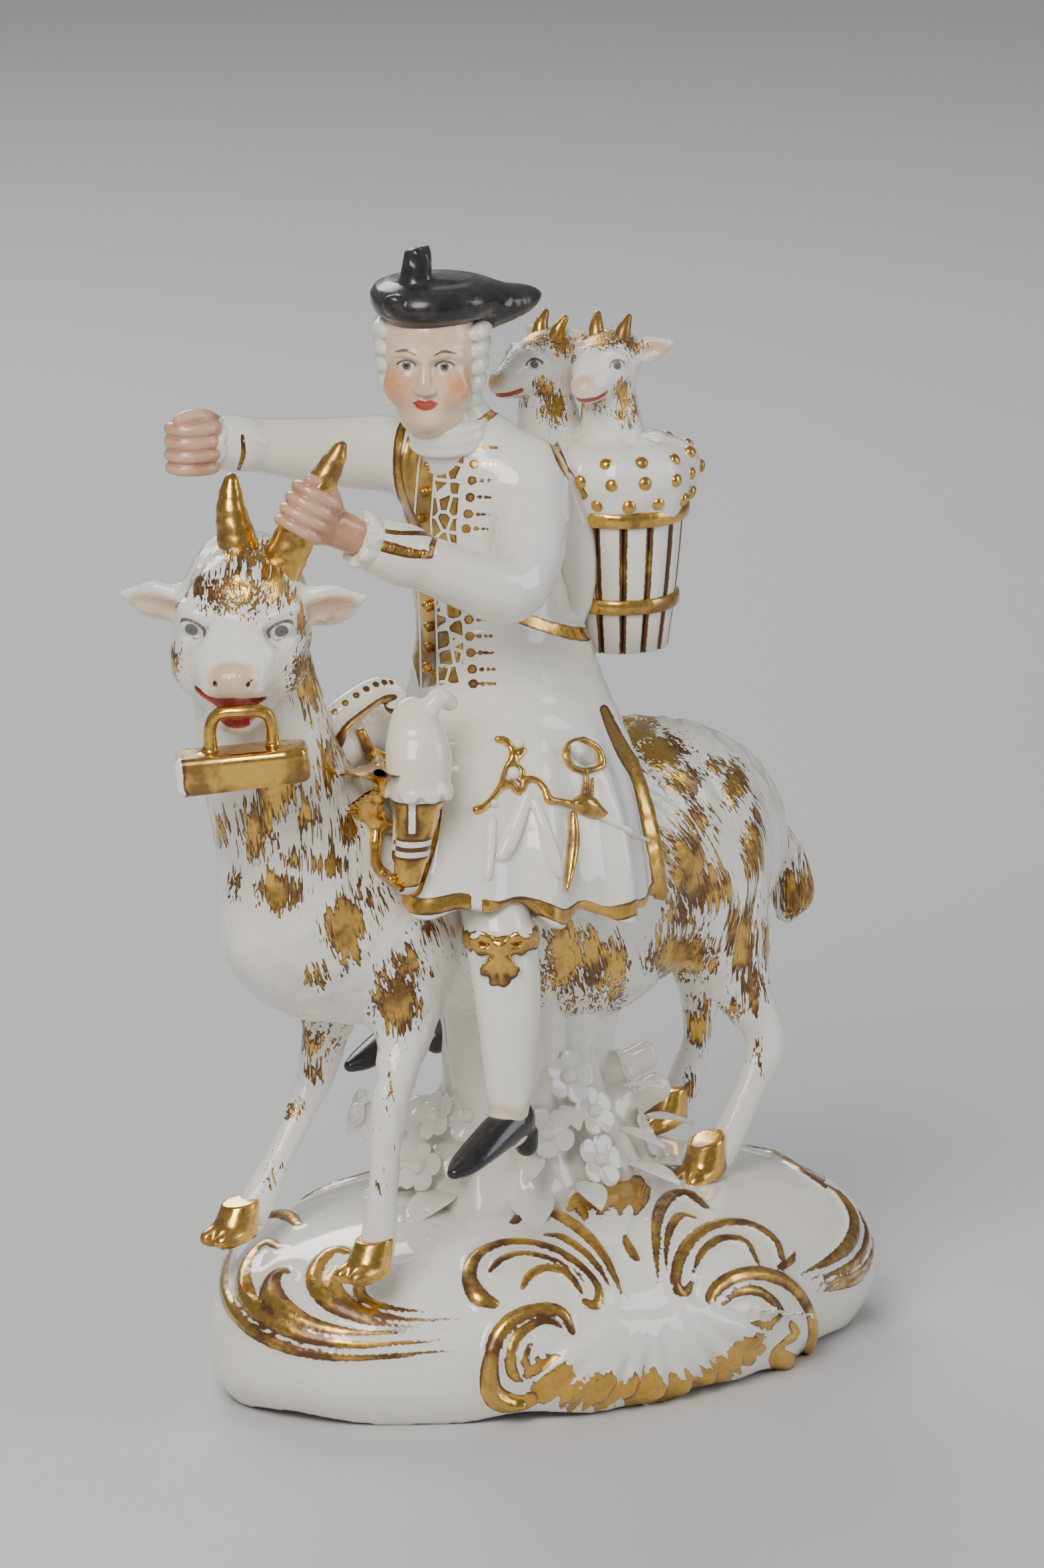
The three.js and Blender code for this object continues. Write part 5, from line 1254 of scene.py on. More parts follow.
def build_frills(materials):
    """White ruffled cuffs at both wrists and the folded neckcloth."""
    clay = Clay(step=0.5)
    for centre, axis, reach in (((-62.5, 32, 198.2), (-46, 18, 6), 5.2), ((-64.2, -14.7, 185.4), (-26, 11, 12), 5.0)):
        axis = unit(axis)
        side = unit(np.cross((0, 0, 1), axis))
        top = np.cross(axis, side)
        clay.add(Tube([[*(np.array(centre) - 4 * axis), 4.4, 4.4], [*(np.array(centre) + 0.4 * axis), 4.7, 4.7]]), 0.6)
        ruffle = []
        for turn in np.linspace(0, 2 * math.pi, 49):
            out = math.cos(turn) * side + math.sin(turn) * top
            wave = math.sin(8 * turn)
            ruffle.append([*(np.array(centre) + (reach + 0.35 * wave) * out + (0.9 * wave + 0.4) * axis), 0.75, 1.15])
        clay.add(Tube(ruffle, up=tuple(axis), legs=1), 0.9)
        inner = [[*(np.array(centre) + 4.3 * (math.cos(turn) * side + math.sin(turn) * top) - 0.8 * axis), 0.9, 1.5]
                 for turn in np.linspace(0, 2 * math.pi, 17)]
        clay.add(Tube(inner, up=tuple(axis), legs=1), 0.8)
        clay.cut(Ball(np.array(centre) + 3.0 * axis, 3.9), 0.5)
    for height, reach, lean in ((197.6, 7.6, 0.0), (199.6, 7.7, 0.8), (201.6, 7.3, 1.5)):
        ring = [[-25.2 - lean * 0.3 + reach * math.cos(a), reach * math.sin(a) * 0.96, height + 0.9 * math.cos(a), 1.15]
                for a in np.linspace(0, 2 * math.pi, 14)]
        clay.add(Tube(ring, legs=2), 1.0)
    clay.add(Tube([[-24, 0, 195, 7.0], [-26, 0.4, 202, 6.4], [-27, 0.8, 207, 5.2]], up=(1, 0, 0)), 1.5)
    return new_object("frills_and_neckcloth", clay, materials)


def build_face(materials):
    """The rider's head: a calm, plain face of even proportions, painted."""
    head = RIDER_HEAD
    clay = Clay(step=0.35)
    clay.add(head.ball((0, -1.2, 3.2), (9.6, 11.2, 10.8)))
    clay.add(head.tube([[0, 0.6, 6, 9.0, 9.2], [0, 1.2, 0, 9.1, 8.9], [0, 1.8, -5.4, 8.6, 8.3],
                        [0, 2.6, -9.2, 7.0, 7.0], [0, 3.4, -10.8, 5.4, 5.4]], up=head.forward, legs=4), 2)
    clay.add(head.ball((0, 8.2, -11.2), (2.6, 2.0, 2.0)), 2.2)
    clay.add(head.tube([[0, 9.2, 3.4, 1.1, 1.0], [0, 10.4, 0.4, 1.1, 1.1], [0, 11.5, -2.6, 1.35, 1.3],
                        [0, 11.5, -3.9, 1.4, 1.2]], up=head.forward), 1.5)
    for half in head.halves():
        clay.cut(half.ball((3.9, 10.4, 0.9), (2.6, 1.9, 1.7)), 1.4)
        clay.add(half.ball((3.9, 7.5, 0.7), (2.3, 2.0, 1.75)), 0.35)
        clay.add(half.tube([[1.9, 9.7, 2.9, 0.6], [4.4, 9.3, 3.5, 0.65], [7, 7.6, 2.7, 0.5]]), 1.6)
        clay.add(half.ball((5.2, 6.7, -4.4), (3.8, 3.2, 3.6)), 2.6)
        clay.add(half.ball((1.35, 10.7, -4.0), (1.0, 1.2, 0.95)), 0.6)
        clay.add(half.tube([[0, 10.1, -6.6, 0.5, 0.6], [1.3, 9.95, -6.5, 0.5, 0.62],
                            [2.7, 9.1, -6.95, 0.25, 0.3]]), 0.4)
    clay.add(head.tube([[-2.2, 9.2, -7.6, 0.3, 0.3], [0, 9.9, -7.9, 0.65, 0.6], [2.2, 9.2, -7.6, 0.3, 0.3]]), 0.4)
    clay.cut(head.tube([[-2.7, 9.9, -7.2, 0.2], [0, 11.0, -7.3, 0.24], [2.7, 9.9, -7.2, 0.2]]), 0.4)
    vertices = clay.mesh()
    local = head.inside(vertices)
    marks = [eye_marks(vertices, half.at((3.95, 9.4, 0.75)), head.right, head.up, half_width=1.95, half_height=1.05,
                       iris=0.92) for half in head.halves()]
    ahead = local[:, 1] > 3
    flat = np.stack([np.abs(local[:, 0]), local[:, 2], 0 * local[:, 0]], -1)
    brows = line_distance(flat, [spline([[1.9, 3.35, 0, 0.16], [3.9, 4.15, 0, 0.3], [6.3, 3.5, 0, 0.14]], 4)])
    brows = np.where(ahead, brows, -3)
    upper = line_distance(flat, [spline([[0, -6.75, 0, 0.4], [1.0, -6.6, 0, 0.5], [2.5, -7.05, 0, 0.18]], 4)])
    lower = line_distance(flat, [spline([[0, -7.85, 0, 0.6], [1.2, -7.75, 0, 0.5], [2.2, -7.35, 0, 0.2]], 4)])
    lips = np.where(ahead, np.maximum(upper, lower), -3)
    parting = np.where(ahead, line_distance(flat, [np.array([[0, -7.25, 0, 0.12], [2.5, -7.15, 0, 0.1]])]), -3)
    blush = np.maximum.reduce([3.2 - np.linalg.norm(local - [side * 6.0, 7.2, -3.8], axis=1) for side in (-1, 1)])
    return new_object("face", clay, materials, hollow=0.5, flesh=np.where(local[:, 1] > -4, 2.0, 1.0), blush=blush,
                      lips=lips, parting=parting, brows=brows, **eye_layers(marks))


def build_wig(materials):
    """The white wig with rows of rolled curls over the ears."""
    head = RIDER_HEAD
    clay = Clay(step=0.45)
    clay.add(head.ball((0, -3.4, 1.5), (10.4, 10.4, 11.6)))
    clay.add(head.tube([[0, -8, -2, 8, 5], [0, -9, -8, 7, 4.4], [0, -9.4, -13, 4.4, 3.2], [0, -9.6, -17, 2.6, 2.2]],
                       up=head.forward), 3)
    for half in head.halves():
        for row in range(5):
            height = 6.4 - 3.7 * row
            spread = 9.7 - 0.12 * row * row
            clay.add(half.tube([
                [spread * 0.94, 3.9 - 0.5 * row, height - 0.1, 1.2, 1.5],
                [spread * 1.03, 2.0 - 0.4 * row, height, 1.8, 2.05], [spread * 1.07, -1.4, height + 0.1, 2.0, 2.05],
                [spread * 0.96, -5.4, height, 2.2, 2.05], [spread * 0.6, -9.6, height, 2.4, 2.05],
            ], up=half.up), 0.55)
    clay.cut(head.ball((0, 7.6, -1), (8.5, 7.6, 13)), 1)

    def strands(points):
        local = head.inside(points)
        place = np.stack([local[:, 0] / 6, local[:, 1] / 5, local[:, 2] / 0.9], -1)
        return 0.14 * lattice_noise(place, 13)

    clay.press(strands)
    return new_object("wig", clay, materials)


def build_hat(materials):
    """The black cocked hat with its button and the broken stump of a plume."""
    local = LocalFrame([-28.4, 2.4, 224.8], 10, -2)
    clay = Clay(step=0.5)
    clay.add(Turned(local, [
        [-0.6, 0, -1, 10.6, 10.8], [0.4, 0, -1.2, 12.4, 13.0], [2.2, 0, -1.3, 13.4, 14.0], [4.0, 0, -1.4, 13.5, 14.0],
        [5.6, 0, -1.5, 12.6, 13.0], [6.7, 0, -1.6, 10.4, 10.8], [7.2, 0, -1.7, 7.0, 7.4],
    ]))
    clay.add(Ball((-32.6, 0.4, 227.6), (9.0, 9.0, 5.4)), 2.5)
    clay.add(Tube([[-19, -3, 225.4, 6.4, 5], [-13, -5, 226, 5.4, 3.6], [-9.6, -6.2, 226.4, 3.4, 2.4],
                   [-7.6, -6.8, 226.6, 1.4, 1.2]]), 2.5)
    clay.add(Tube([[-34.5, 1.5, 228, 3.4], [-34.5, 1.2, 233, 3.1], [-34, 1, 237, 2.9], [-34, 1, 239, 2.6]],
                  up=(1, 0, 0)), 1.2)
    clay.cut(Field((-42, -8, 232), (-26, 8, 246), lambda points: 239.2 - points[:, 2]
                   - 0.9 * lattice_noise(points / (1.6, 1.6, 9), 41)), 0.3)
    button = LocalFrame((-41.2, 0.2, 228.8), 25, 20)
    clay.add(button.ball((0, 0.4, 0), (2.5, 1.5, 2.5)), 0.3)
    clay.cut(button.tube([[1.5 * math.cos(a), 1.7, 1.5 * math.sin(a), 0.28] for a in np.linspace(0, 2 * math.pi, 13)]),
             0.2)

    def cloth(points):
        stump = smooth_step(233, 235, points[:, 2])
        rough = 0.35 * lattice_noise(points / (1.1, 1.1, 3.0), 43)
        return (1 - stump) * 0.14 * lattice_noise(points / 6.0, 47) + stump * rough

    clay.press(cloth)
    return new_object("hat", clay, materials)


# The tub on the rider's back.

TUB = {"centre": (14.0, -10.0), "bottom": 150.0, "rim": 183.0, "bottom_radius": 9.8, "rim_radius": 13.4,
       "hoops": (160.2, 179.0)}
# A stave's section: how far out, which share of its half width aside, and how deep in the gilding.
STAVE_SECTION = [(-5, -0.55, -1.0), (-0.9, -0.98, 0.5), (-0.25, -0.9, 0.25), (0.15, -0.5, -0.35), (0.3, 0, -1.0),
                 (0.15, 0.5, -0.35), (-0.25, 0.9, 0.25), (-0.9, 0.98, 0.5), (-5, 0.55, -1.0)]


def tub_reach(share):
    """The tub's radius at a share of its height."""
    return TUB["bottom_radius"] + share * (TUB["rim_radius"] - TUB["bottom_radius"])


def point_cloud(name, places, turns, sizes):
    """Bare points in millimetres, with a turn and a size each, for Geometry Nodes to set pieces on."""
    mesh = bpy.data.meshes.new(name)
    mesh.from_pydata([tuple(np.asarray(place) * MM) for place in places], [], [])
    mesh.attributes.new("turn", "FLOAT_VECTOR", "POINT").data.foreach_set("vector",
                                                                          np.asarray(turns, np.float32).ravel())
    mesh.attributes.new("size", "FLOAT", "POINT").data.foreach_set("value", np.asarray(sizes, np.float32).ravel())
    obj = bpy.data.objects.new(name, mesh)
    bpy.context.scene.collection.objects.link(obj)
    return obj


def repeat_group():
    """Geometry Nodes: sets a piece on every point with the point's turn and size, varied a little by a fixed seed."""
    tree = bpy.data.node_groups.new("Repeat a piece", "GeometryNodeTree")
    sockets = {}
    for title, kind, value in (
        ("Points", "NodeSocketGeometry", None), ("Piece", "NodeSocketObject", None), ("Size", "NodeSocketFloat", 1.0),
        ("Variation", "NodeSocketFloat", 0.0), ("Seed", "NodeSocketInt", RANDOM_SEED),
        ("Material", "NodeSocketMaterial", None),
    ):
        socket = tree.interface.new_socket(title, in_out="INPUT", socket_type=kind)
        if value is not None:
            socket.default_value = value
        sockets[title] = socket.identifier
    tree.interface.new_socket("Geometry", in_out="OUTPUT", socket_type="NodeSocketGeometry")
    graph = Graph(tree)
    entry = graph.node("NodeGroupInput").outputs
    piece = graph.node("GeometryNodeObjectInfo", {"Object": entry["Piece"]})
    turn = graph.node("GeometryNodeInputNamedAttribute", {"Name": "turn"}, data_type="FLOAT_VECTOR")
    size = graph.node("GeometryNodeInputNamedAttribute", {"Name": "size"}, data_type="FLOAT")
    vary = graph.node("FunctionNodeRandomValue", {2: -1.0, 3: 1.0, "Seed": entry["Seed"]}, data_type="FLOAT")
    share = graph.line(vary.outputs[1], entry["Variation"], 1.0)
    scale = graph.times(graph.times(size.outputs["Attribute"], entry["Size"]), share)
    rotation = graph.node("FunctionNodeEulerToRotation", {0: turn.outputs["Attribute"]})
    placed = graph.node("GeometryNodeInstanceOnPoints", {
        "Points": entry["Points"], "Instance": piece.outputs["Geometry"], "Rotation": rotation.outputs[0],
        "Scale": scale})
    real = graph.node("GeometryNodeRealizeInstances", {0: placed.outputs[0]})
    coloured = graph.node("GeometryNodeSetMaterial", {"Geometry": real.outputs[0], "Material": entry["Material"]})
    leave = graph.node("NodeGroupOutput")
    tree.links.new(coloured.outputs[0], leave.inputs[0])
    return tree, sockets


def repeat_piece(name, piece_mesh, places, turns, sizes, material, variation=0.0, **attributes):
    """Repeats a small mesh over points by Geometry Nodes, as one plain mesh object."""
    if "repeat" not in GROUPS:
        GROUPS["repeat"] = repeat_group()
    tree, sockets = GROUPS["repeat"]
    model = bpy.data.objects.new(name + "_model", piece_mesh)
    bpy.context.scene.collection.objects.link(model)
    cloud = point_cloud(name + "_points", places, turns, sizes)
    modifier = cloud.modifiers.new("repeat", "NODES")
    modifier.node_group = tree
    modifier[sockets["Piece"]] = model
    modifier[sockets["Size"]] = 1.0
    modifier[sockets["Variation"]] = variation
    modifier[sockets["Seed"]] = RANDOM_SEED
    modifier[sockets["Material"]] = material
    bpy.context.view_layer.update()
    evaluated = cloud.evaluated_get(bpy.context.evaluated_depsgraph_get())
    mesh = bpy.data.meshes.new_from_object(evaluated)
    bpy.data.objects.remove(model)
    bpy.data.objects.remove(cloud)
    for title, value in attributes.items():
        layer = mesh.attributes.get(title) or mesh.attributes.new(title, "FLOAT", "POINT")
        layer.data.foreach_set("value", np.full(len(mesh.vertices), value, np.float32))
    mesh.shade_smooth()
    mesh.name = name
    return adopted(name, mesh)


def grid_mesh(name, rows):
    """A closed mesh from rings of points (in millimetres), capped at both ends."""
    rows = np.asarray(rows, float)
    count, around = rows.shape[:2]
    sides = [(j, (j + 1) % around) for j in range(around)]
    last, low, high = (count - 1) * around, count * around, count * around + 1
    faces = [(i + j, i + k, i + around + k, i + around + j) for i in range(0, last, around) for j, k in sides]
    for j, k in sides:
        faces += [(low, k, j), (high, last + j, last + k)]
    vertices = np.vstack([rows.reshape(-1, 3), rows[0].mean(0), rows[-1].mean(0)])
    mesh = bpy.data.meshes.new(name)
    mesh.from_pydata([tuple(vertex * MM) for vertex in vertices], [], faces)
    mesh.update()
    return mesh


def dome_mesh(name, reach, height, around=16, rings=5):
    """A round stud or button that sits on its flat face, pointing along Z."""
    rows = [[(reach * math.cos(a) * math.cos(b), reach * math.cos(a) * math.sin(b),
              height * math.sin(a) - 0.4 * height * (a < 0))
             for b in np.linspace(0, 2 * math.pi, around, endpoint=False)] for a in np.linspace(-0.4, 1.45, rings)]
    return grid_mesh(name, rows)


def turns_to(directions):
    """Euler turns that point Z along each direction."""
    return [tuple(Vector(way).to_track_quat("Z", "Y").to_euler()) for way in directions]


def build_tub(materials):
    """The tub: its core, the staves set round by Geometry Nodes, and the gilded hoops."""
    count = chosen("stave_count")
    rows = []
    half = math.pi / count
    for share in np.linspace(0, 1, 6):
        reach = tub_reach(share) + 0.5 * math.sin(math.pi * share)
        height = TUB["bottom"] + share * (TUB["rim"] + 3 - TUB["bottom"])
        wide = reach * math.tan(half) - chosen("stave_gap") / 2
        rows.append([(reach + out, wide * aside, height) for out, aside, _ in STAVE_SECTION])
    stave = grid_mesh("stave", rows)
    edge = np.r_[np.tile([row[2] for row in STAVE_SECTION], 6), -1, -1].astype(np.float32)
    stave.attributes.new("gold", "FLOAT", "POINT").data.foreach_set("value", edge)
    angles = [2 * math.pi * (i + 0.35) / count for i in range(count)]
    centre = (TUB["centre"][0], TUB["centre"][1], 0)
    tub = repeat_piece("staves", stave, [centre] * count, [(0, 0, a) for a in angles], [1.0] * count, materials[0])
    core = Clay(step=0.6)
    x, y = TUB["centre"]
    core.add(Tube([[x, y, 155, 7.6], [x, y, 178, 11]], up=(1, 0, 0)))
    core.cut(Field((x - 20, y - 20, 130), (x + 20, y + 20, 149), lambda points: points[:, 2] - 148.4), 0.3)
    core.add(Tube([[-4, -5, 152, 6, 4], [0, -6, 162, 8.6, 5], [0, -6, 174, 9, 6], [-3, -5, 186, 8, 6]], up=(1, 0, 0)),
             2)
    new_object("tub_core", core, materials[1:2])
    hoops = Clay(step=0.5)
    for height in TUB["hoops"]:
        share = (height - TUB["bottom"]) / (TUB["rim"] - TUB["bottom"])
        reach = tub_reach(share) + 0.75
        ring = [[x + reach * math.cos(a), y + reach * math.sin(a), height, 0.75, chosen("hoop_width") / 2]
                for a in np.linspace(0, 2 * math.pi, 33)]
        hoops.add(Tube(ring, legs=1), 0.2)
    new_object("hoops", hoops, materials[2:3], gold=ALL_GOLD)
    return tub


def build_cover(materials):
    """The cloth over the tub's rim, with its strap and rows of gilded studs."""
    x, y = TUB["centre"]
    clay = Clay(step=0.55)
    clay.add(Turned(LocalFrame((x, y, 0), 45), [
        [178, 0, 0, 13.9, 13.9], [182.5, 0, 0, 15.1, 15.1], [186, 0, 0, 15.9, 15.9], [189, 0, 0, 15.8, 15.8],
        [191.4, 0, 0, 14.8, 14.8], [193, 0, 0, 12.4, 12.4], [194.2, 0, 0, 8, 8]]))
    clay.cut(Field((x - 25, y - 25, 160), (x + 25, y + 25, 180.4), lambda points: points[:, 2] - 179.6
                   - 1.3 * np.sin(5 * np.arctan2(points[:, 1] - y, points[:, 0] - x) + 0.6)), 1)
    clay.add(Tube([[-9, -7, 190, 4.6, 3.4], [0, -8, 188, 5, 3.6]], up=(1, 0, 0)), 3)
    clay.press(lambda points: 0.55 * np.sin(7 * np.arctan2(points[:, 1] - y, points[:, 0] - x) + points[:, 2] * 0.1)
               + 0.45 * lattice_noise(points / 4.0, 51))
    vertices = clay.mesh()
    cover = new_object("tub_cover", clay, materials[:1], gold=drawn_depth(vertices, clay.normal, COAT_LINES[-1:]))
    places, ways, sizes = [], [], []
    for height, count, shift, size in ((182.4, 14, 0.0, 1.0), (187.2, 14, 0.22, 1.0), (191.4, 12, 0.05, 0.95)):
        for i in range(count):
            angle = 2 * math.pi * i / count + shift
            way = np.array([math.cos(angle), math.sin(angle), 0.0])
            start = np.array([x, y, height]) + way * 22
            for _ in range(60):
                if clay.value(start[None])[0] < 0.05:
                    break
                start = start - 0.25 * way
            places.append(start)
            ways.append(unit(clay.value(start + 0.5 * np.eye(3)) - clay.value(start - 0.5 * np.eye(3))))
            sizes.append(size)
    stud = dome_mesh("stud", chosen("stud_radius"), height=0.9)
    repeat_piece("studs", stud, places, turns_to(ways), sizes, materials[1], variation=0.06, gold=ALL_GOLD)
    return cover


# Gilded patches of a kid's head, in its own frame: place and half sizes.
KID_PATCHES = [
    ((0, 1, 6.4), (5.4, 4.6, 2.6)), ((5.2, 3.4, -4), (2.4, 2.6, 3)), ((-5.2, 3.4, -4), (2.4, 2.6, 3)),
    ((0, 8, -5.4), (3, 3, 2.8)), ((4.2, 2, -8), (3, 3.4, 4.4)), ((-4.2, 2, -8), (3, 3.4, 4.4)),
    ((4.8, -2, 5), (3, 3, 3)), ((-4.8, -2, 5), (3, 3, 3)), ((5, 5, -1.6), (1.6, 2, 1.6)),
]


def kid_head(clay, centre, turn, marks, mouths, horns):
    """One kid's neck, head, ears and horns."""
    head = LocalFrame(centre, turn, 8)
    x, y = centre[0], centre[1]
    clay.add(Tube([[x + 1.5, y - 0.5, 191, 7.2], [x + 1, y, 199, 6.0], [x + 0.5, y, 205.6, 5.2]], up=(1, 0, 0)), 1.5)
    clay.add(head.tube([[0, -7, 0.5, 3, 3.2], [0, -3.6, 1, 6.1, 6.2], [0, 2, 0.5, 6.3, 6.0], [0, 6.6, -0.6, 4.4, 4.4],
                        [0, 9.6, -1.2, 3.6, 3.4], [0, 11, -1.2, 2.6, 2.6]], up=head.up), 1.5)
    mouth = head.tube([[-3.6, 8.6, -2.6, 0.4], [-2, 11.6, -2.9, 0.45], [0, 12.9, -3, 0.5], [2, 11.6, -2.9, 0.45],
                       [3.6, 8.6, -2.6, 0.4]])
    for side, half in zip((-1, 1), head.halves()):
        clay.add(half.ball((4.1, 4.2, 2.4), (1.9, 1.8, 1.7)), 0.6)
        clay.add(half.tube([[2.6, 4.6, 4.8, 0.6], [4.6, 4, 4.6, 0.6], [6, 2.4, 3, 0.5]]), 0.8)
        clay.add(half.tube([[5, -3.6, 2, 2, 1.2], [8.4, -4.4, 3, 2.8, 1.2], [12.2, -5.6, 4.4, 0.8, 0.6]],
                           up=half.forward), 0.8)
        clay.cut(half.tube([[7.6, -2.8, 2.8, 1.2, 0.8], [10, -3.8, 3.6, 0.9, 0.6]], up=half.forward), 0.5)
        horns.add(half.tube([[2.6, -1.6, 4.6, 1.9], [3.1, -2.6, 7.4, 1.5], [3.5, -4.4, 9.6, 0.8]],
                            up=half.forward), 0.3)
        marks.append((half.at((4.9, 5.3, 2.6)), head.axes.T @ (0.75, -side * 0.6, 0), head.up))
    clay.cut(mouth, 0.4)
    mouths.append(mouth)
    return head


def build_kids(materials):
    """The two kids that look out of the tub."""
    clay, horns = Clay(step=0.44), Clay(step=0.4)
    eyes, mouths = [], []
    heads = [kid_head(clay, (13, -7, 208.3), 20, eyes, mouths, horns),
             kid_head(clay, (7.5, 6, 207.4), -10, eyes, mouths, horns)]
    clay.press(lambda points: 0.22 * lattice_noise(points / 2.6, 61) * smooth_step(-2, -6, np.minimum(
        *[head.inside(points)[:, 1] for head in heads])))
    vertices = clay.mesh()
    layers = eye_layers([eye_marks(vertices, *eye, half_width=1.7, half_height=1.1, iris=0.95) for eye in eyes])
    pink = np.full(len(vertices), -4.0)
    patches = []
    for head in heads:
        local = head.inside(vertices)
        pink = np.maximum(pink, 2 * (1 - np.linalg.norm((local - [0, 12.4, 0.4]) / [2.8, 2.6, 2.2], axis=1)))
        for side in (-1, 1):
            pink = np.maximum(pink, np.where(clay.normal @ head.forward > 0.1, 1.4 - np.linalg.norm(
                (local - [side * 9.4, -3.6, 3.4]) / [2.6, 2.4, 1.6], axis=1), -2))
        patches += [(head.at(place), sizes, 0.95) for place, sizes in KID_PATCHES]
    nostrils = np.full(len(vertices), -4.0)
    for head in heads:
        for half in head.halves():
            nostrils = np.maximum(nostrils, 0.45 - np.linalg.norm(vertices - half.at((1.4, 13.2, 0.4)), axis=1))
    patch = np.minimum(patch_strength(vertices, patches), 0.4 - 2 * layers["opening"])
    hair = 2 * heads[0].inside(vertices)[:, [2, 0, 1]] * [-1, 1, 1]
    red = 0.35 - np.minimum(*[mouth.distance(vertices) for mouth in mouths])
    kids = new_object("kids", clay, materials[:1], hollow=0.6, **layers, pink=pink, red=red, patch=patch, hair=hair,
                      dark=nostrils)
    new_object("kids_horns", horns, materials[1:2], gold=ALL_GOLD)
    return kids


SADDLE_SCROLL = [
    [-65.4, -3, 141, 3.4, 3.4], [-63.7, -5, 146.2, 3.3, 3.2], [-59.1, -6.5, 149.3, 3.1, 3.0],
    [-54.6, -7.6, 151.1, 2.9, 2.8], [-51.2, -8.4, 151, 2.7, 2.6], [-49.8, -8.8, 149, 2.4, 2.3],
    [-51.2, -9, 148, 2.0, 1.8],
]
SADDLE_BAND = [(-36.2, 127.8, 1.0), (-35.0, 125, 1.2), (-32.4, 120.1, 1.4), (-32.9, 110.4, 1.4), (-33.2, 101, 1.3),
               (-30, 97.6, 1.2)]


def build_saddle(materials):
    """The saddle's scrolled front, its flap, the holster with a ruffled cap and the pistol's butt."""
    clay = Clay(step=0.53)
    clay.add(Tube(SADDLE_SCROLL, up=(0, 1, 0)))
    clay.add(Tube([[-36, 8, 132, 7, 5], [-44, 5, 137, 7, 4.5], [-52, 1, 139, 6.5, 4], [-60, -3, 139, 5, 3.4],
                   [-64, -4, 137, 3, 2.4]],
                  up=(0, 1, 0)), 2.5)
    clay.add(Tube([[-44, -8, 133, 5, 8], [-52, -19, 130, 4.5, 8], [-58, -23, 119, 3.5, 6.5]], up=(1, 0, 0)), 1.5)
    clay.add(Tube([[-64, -26, 116, 2.6, 2.8], [-63, -27, 124, 3.6, 3.9], [-62, -27, 133, 4.4, 4.8],
                   [-61, -26.6, 138, 4.8, 5]],
                  up=(1, 0, 0)), 0.8)
    cap = [[-61.4, -26.8, 134.6, 5.6, 6.0], [-61, -26.4, 137.4, 6.4, 6.8], [-60, -25.4, 142.6, 6.6, 6.8],
           [-58.6, -22.8, 148.4, 4.6, 4.8], [-58.2, -22, 150, 3, 3.2]]
    clay.add(Tube(cap, up=(1, 0, 0)), 0.5)
    for side in (-60, -20, 20, 60, 100, 180, 230):
        a = math.radians(side)
        way = np.array([math.sin(a), -math.cos(a), 0])
        middle = np.array([-61, -26.4, 135.4])
        clay.add(Tube([np.r_[middle + way * 4.4 + (0, 0, 1.6), 2.2, 1.5], np.r_[middle + way * 6.2, 2.4, 1.0],
                       np.r_[middle + way * 6.8 - (0, 0, 1.4), 1.7, 0.7]], up=tuple(way)), 0.7)
    clay.add(Tube([[-58, -24, 145, 2.4], [-57, -25, 150, 2.2], [-54.4, -25.8, 152.8, 2.1], [-51.6, -26, 151.4, 1.8]],
                  up=(0, 1, 0)), 0.8)
    clay.press(lambda points: 0.14 * lattice_noise(points / 5.0, 71))
    vertices = clay.mesh()
    holster = Tube([[-64, -26, 116, 3.4], [-63, -27, 124, 4.4], [-61, -26.6, 136, 5.4]])
    bands = np.minimum.reduce([np.abs(vertices[:, 2] - band) - 0.6 for band in (122.4, 124.6)])
    gold = np.minimum.reduce([1.2 - holster.distance(vertices), 133.4 - vertices[:, 2], vertices[:, 2] - 115.4, bands])
    middle = drawn_places(vertices)[:, 0] - drawn_places(np.array([[-62.5, -27, 128]]))[0, 0]
    gold = np.minimum(gold, np.maximum(np.abs(middle + 0.6) - 0.7, 127 - vertices[:, 2]))
    scroll = 1.4 - Tube(SADDLE_SCROLL).distance(vertices)
    under = np.minimum(scroll, 2.2 * (0.25 - clay.normal @ (-0.35, -0.35, 0.87)))
    gold = np.maximum(gold, under)
    for x, y, z, a, b in spline(SADDLE_SCROLL, 2)[2:-2]:
        top = np.array([x, y, z]) + b * np.array([-0.5, -0.5, 0.7])
        gold = np.maximum(gold, 0.75 - np.linalg.norm(vertices - top, axis=1))
    under_band = np.vstack([piece_points("goat_body"), vertices])
    relief_piece("saddle_cloth_band", [SADDLE_BAND], under_band, materials, step=0.5, lift=0.3, gold=ALL_GOLD)
    return new_object("saddle_and_holster", clay, materials, gold=gold)


PETALS = 5
# Flowers round the stump: place, the angle that they look to, and size.
FLOWERS = [
    (-6, -15, 62, -105, 6.8), (-0.5, -17, 54, -90, 6.6), (-12, -15, 51, -125, 6.6), (-1, -19.5, 44, -92, 7),
    (14.5, -11.5, 58.5, -45, 6.4), (-26, 4, 54, 170, 6.4), (-35, 18, 54, 150, 6.4), (-29, 6, 43, -170, 6.6),
    (-23.5, -3, 54.7, -150, 6.6), (18, -14, 45, -50, 6.8), (2, 16.5, 50, 90, 7), (22, 10, 46, 30, 6.8),
]


def flower_places():
    """Where each flower sits, where it looks and how big it is."""
    rows = []
    for x, y, height, angle, size in FLOWERS:
        a = math.radians(angle)
        rows.append((np.array([x, y, height], float), unit([math.cos(a) * 0.86, math.sin(a) * 0.86, 0.36]), size))
    return rows


# Broken branches of the stump: place and direction.
BRANCHES = [((19, -9, 60), (0.8, -0.5, 0.6)), ((-20, -8, 66), (-0.8, -0.5, 0.4)), ((22, -9, 52), (0.9, -0.3, 0.45)),
            ((6, 15, 60), (0.2, 0.85, 0.5))]


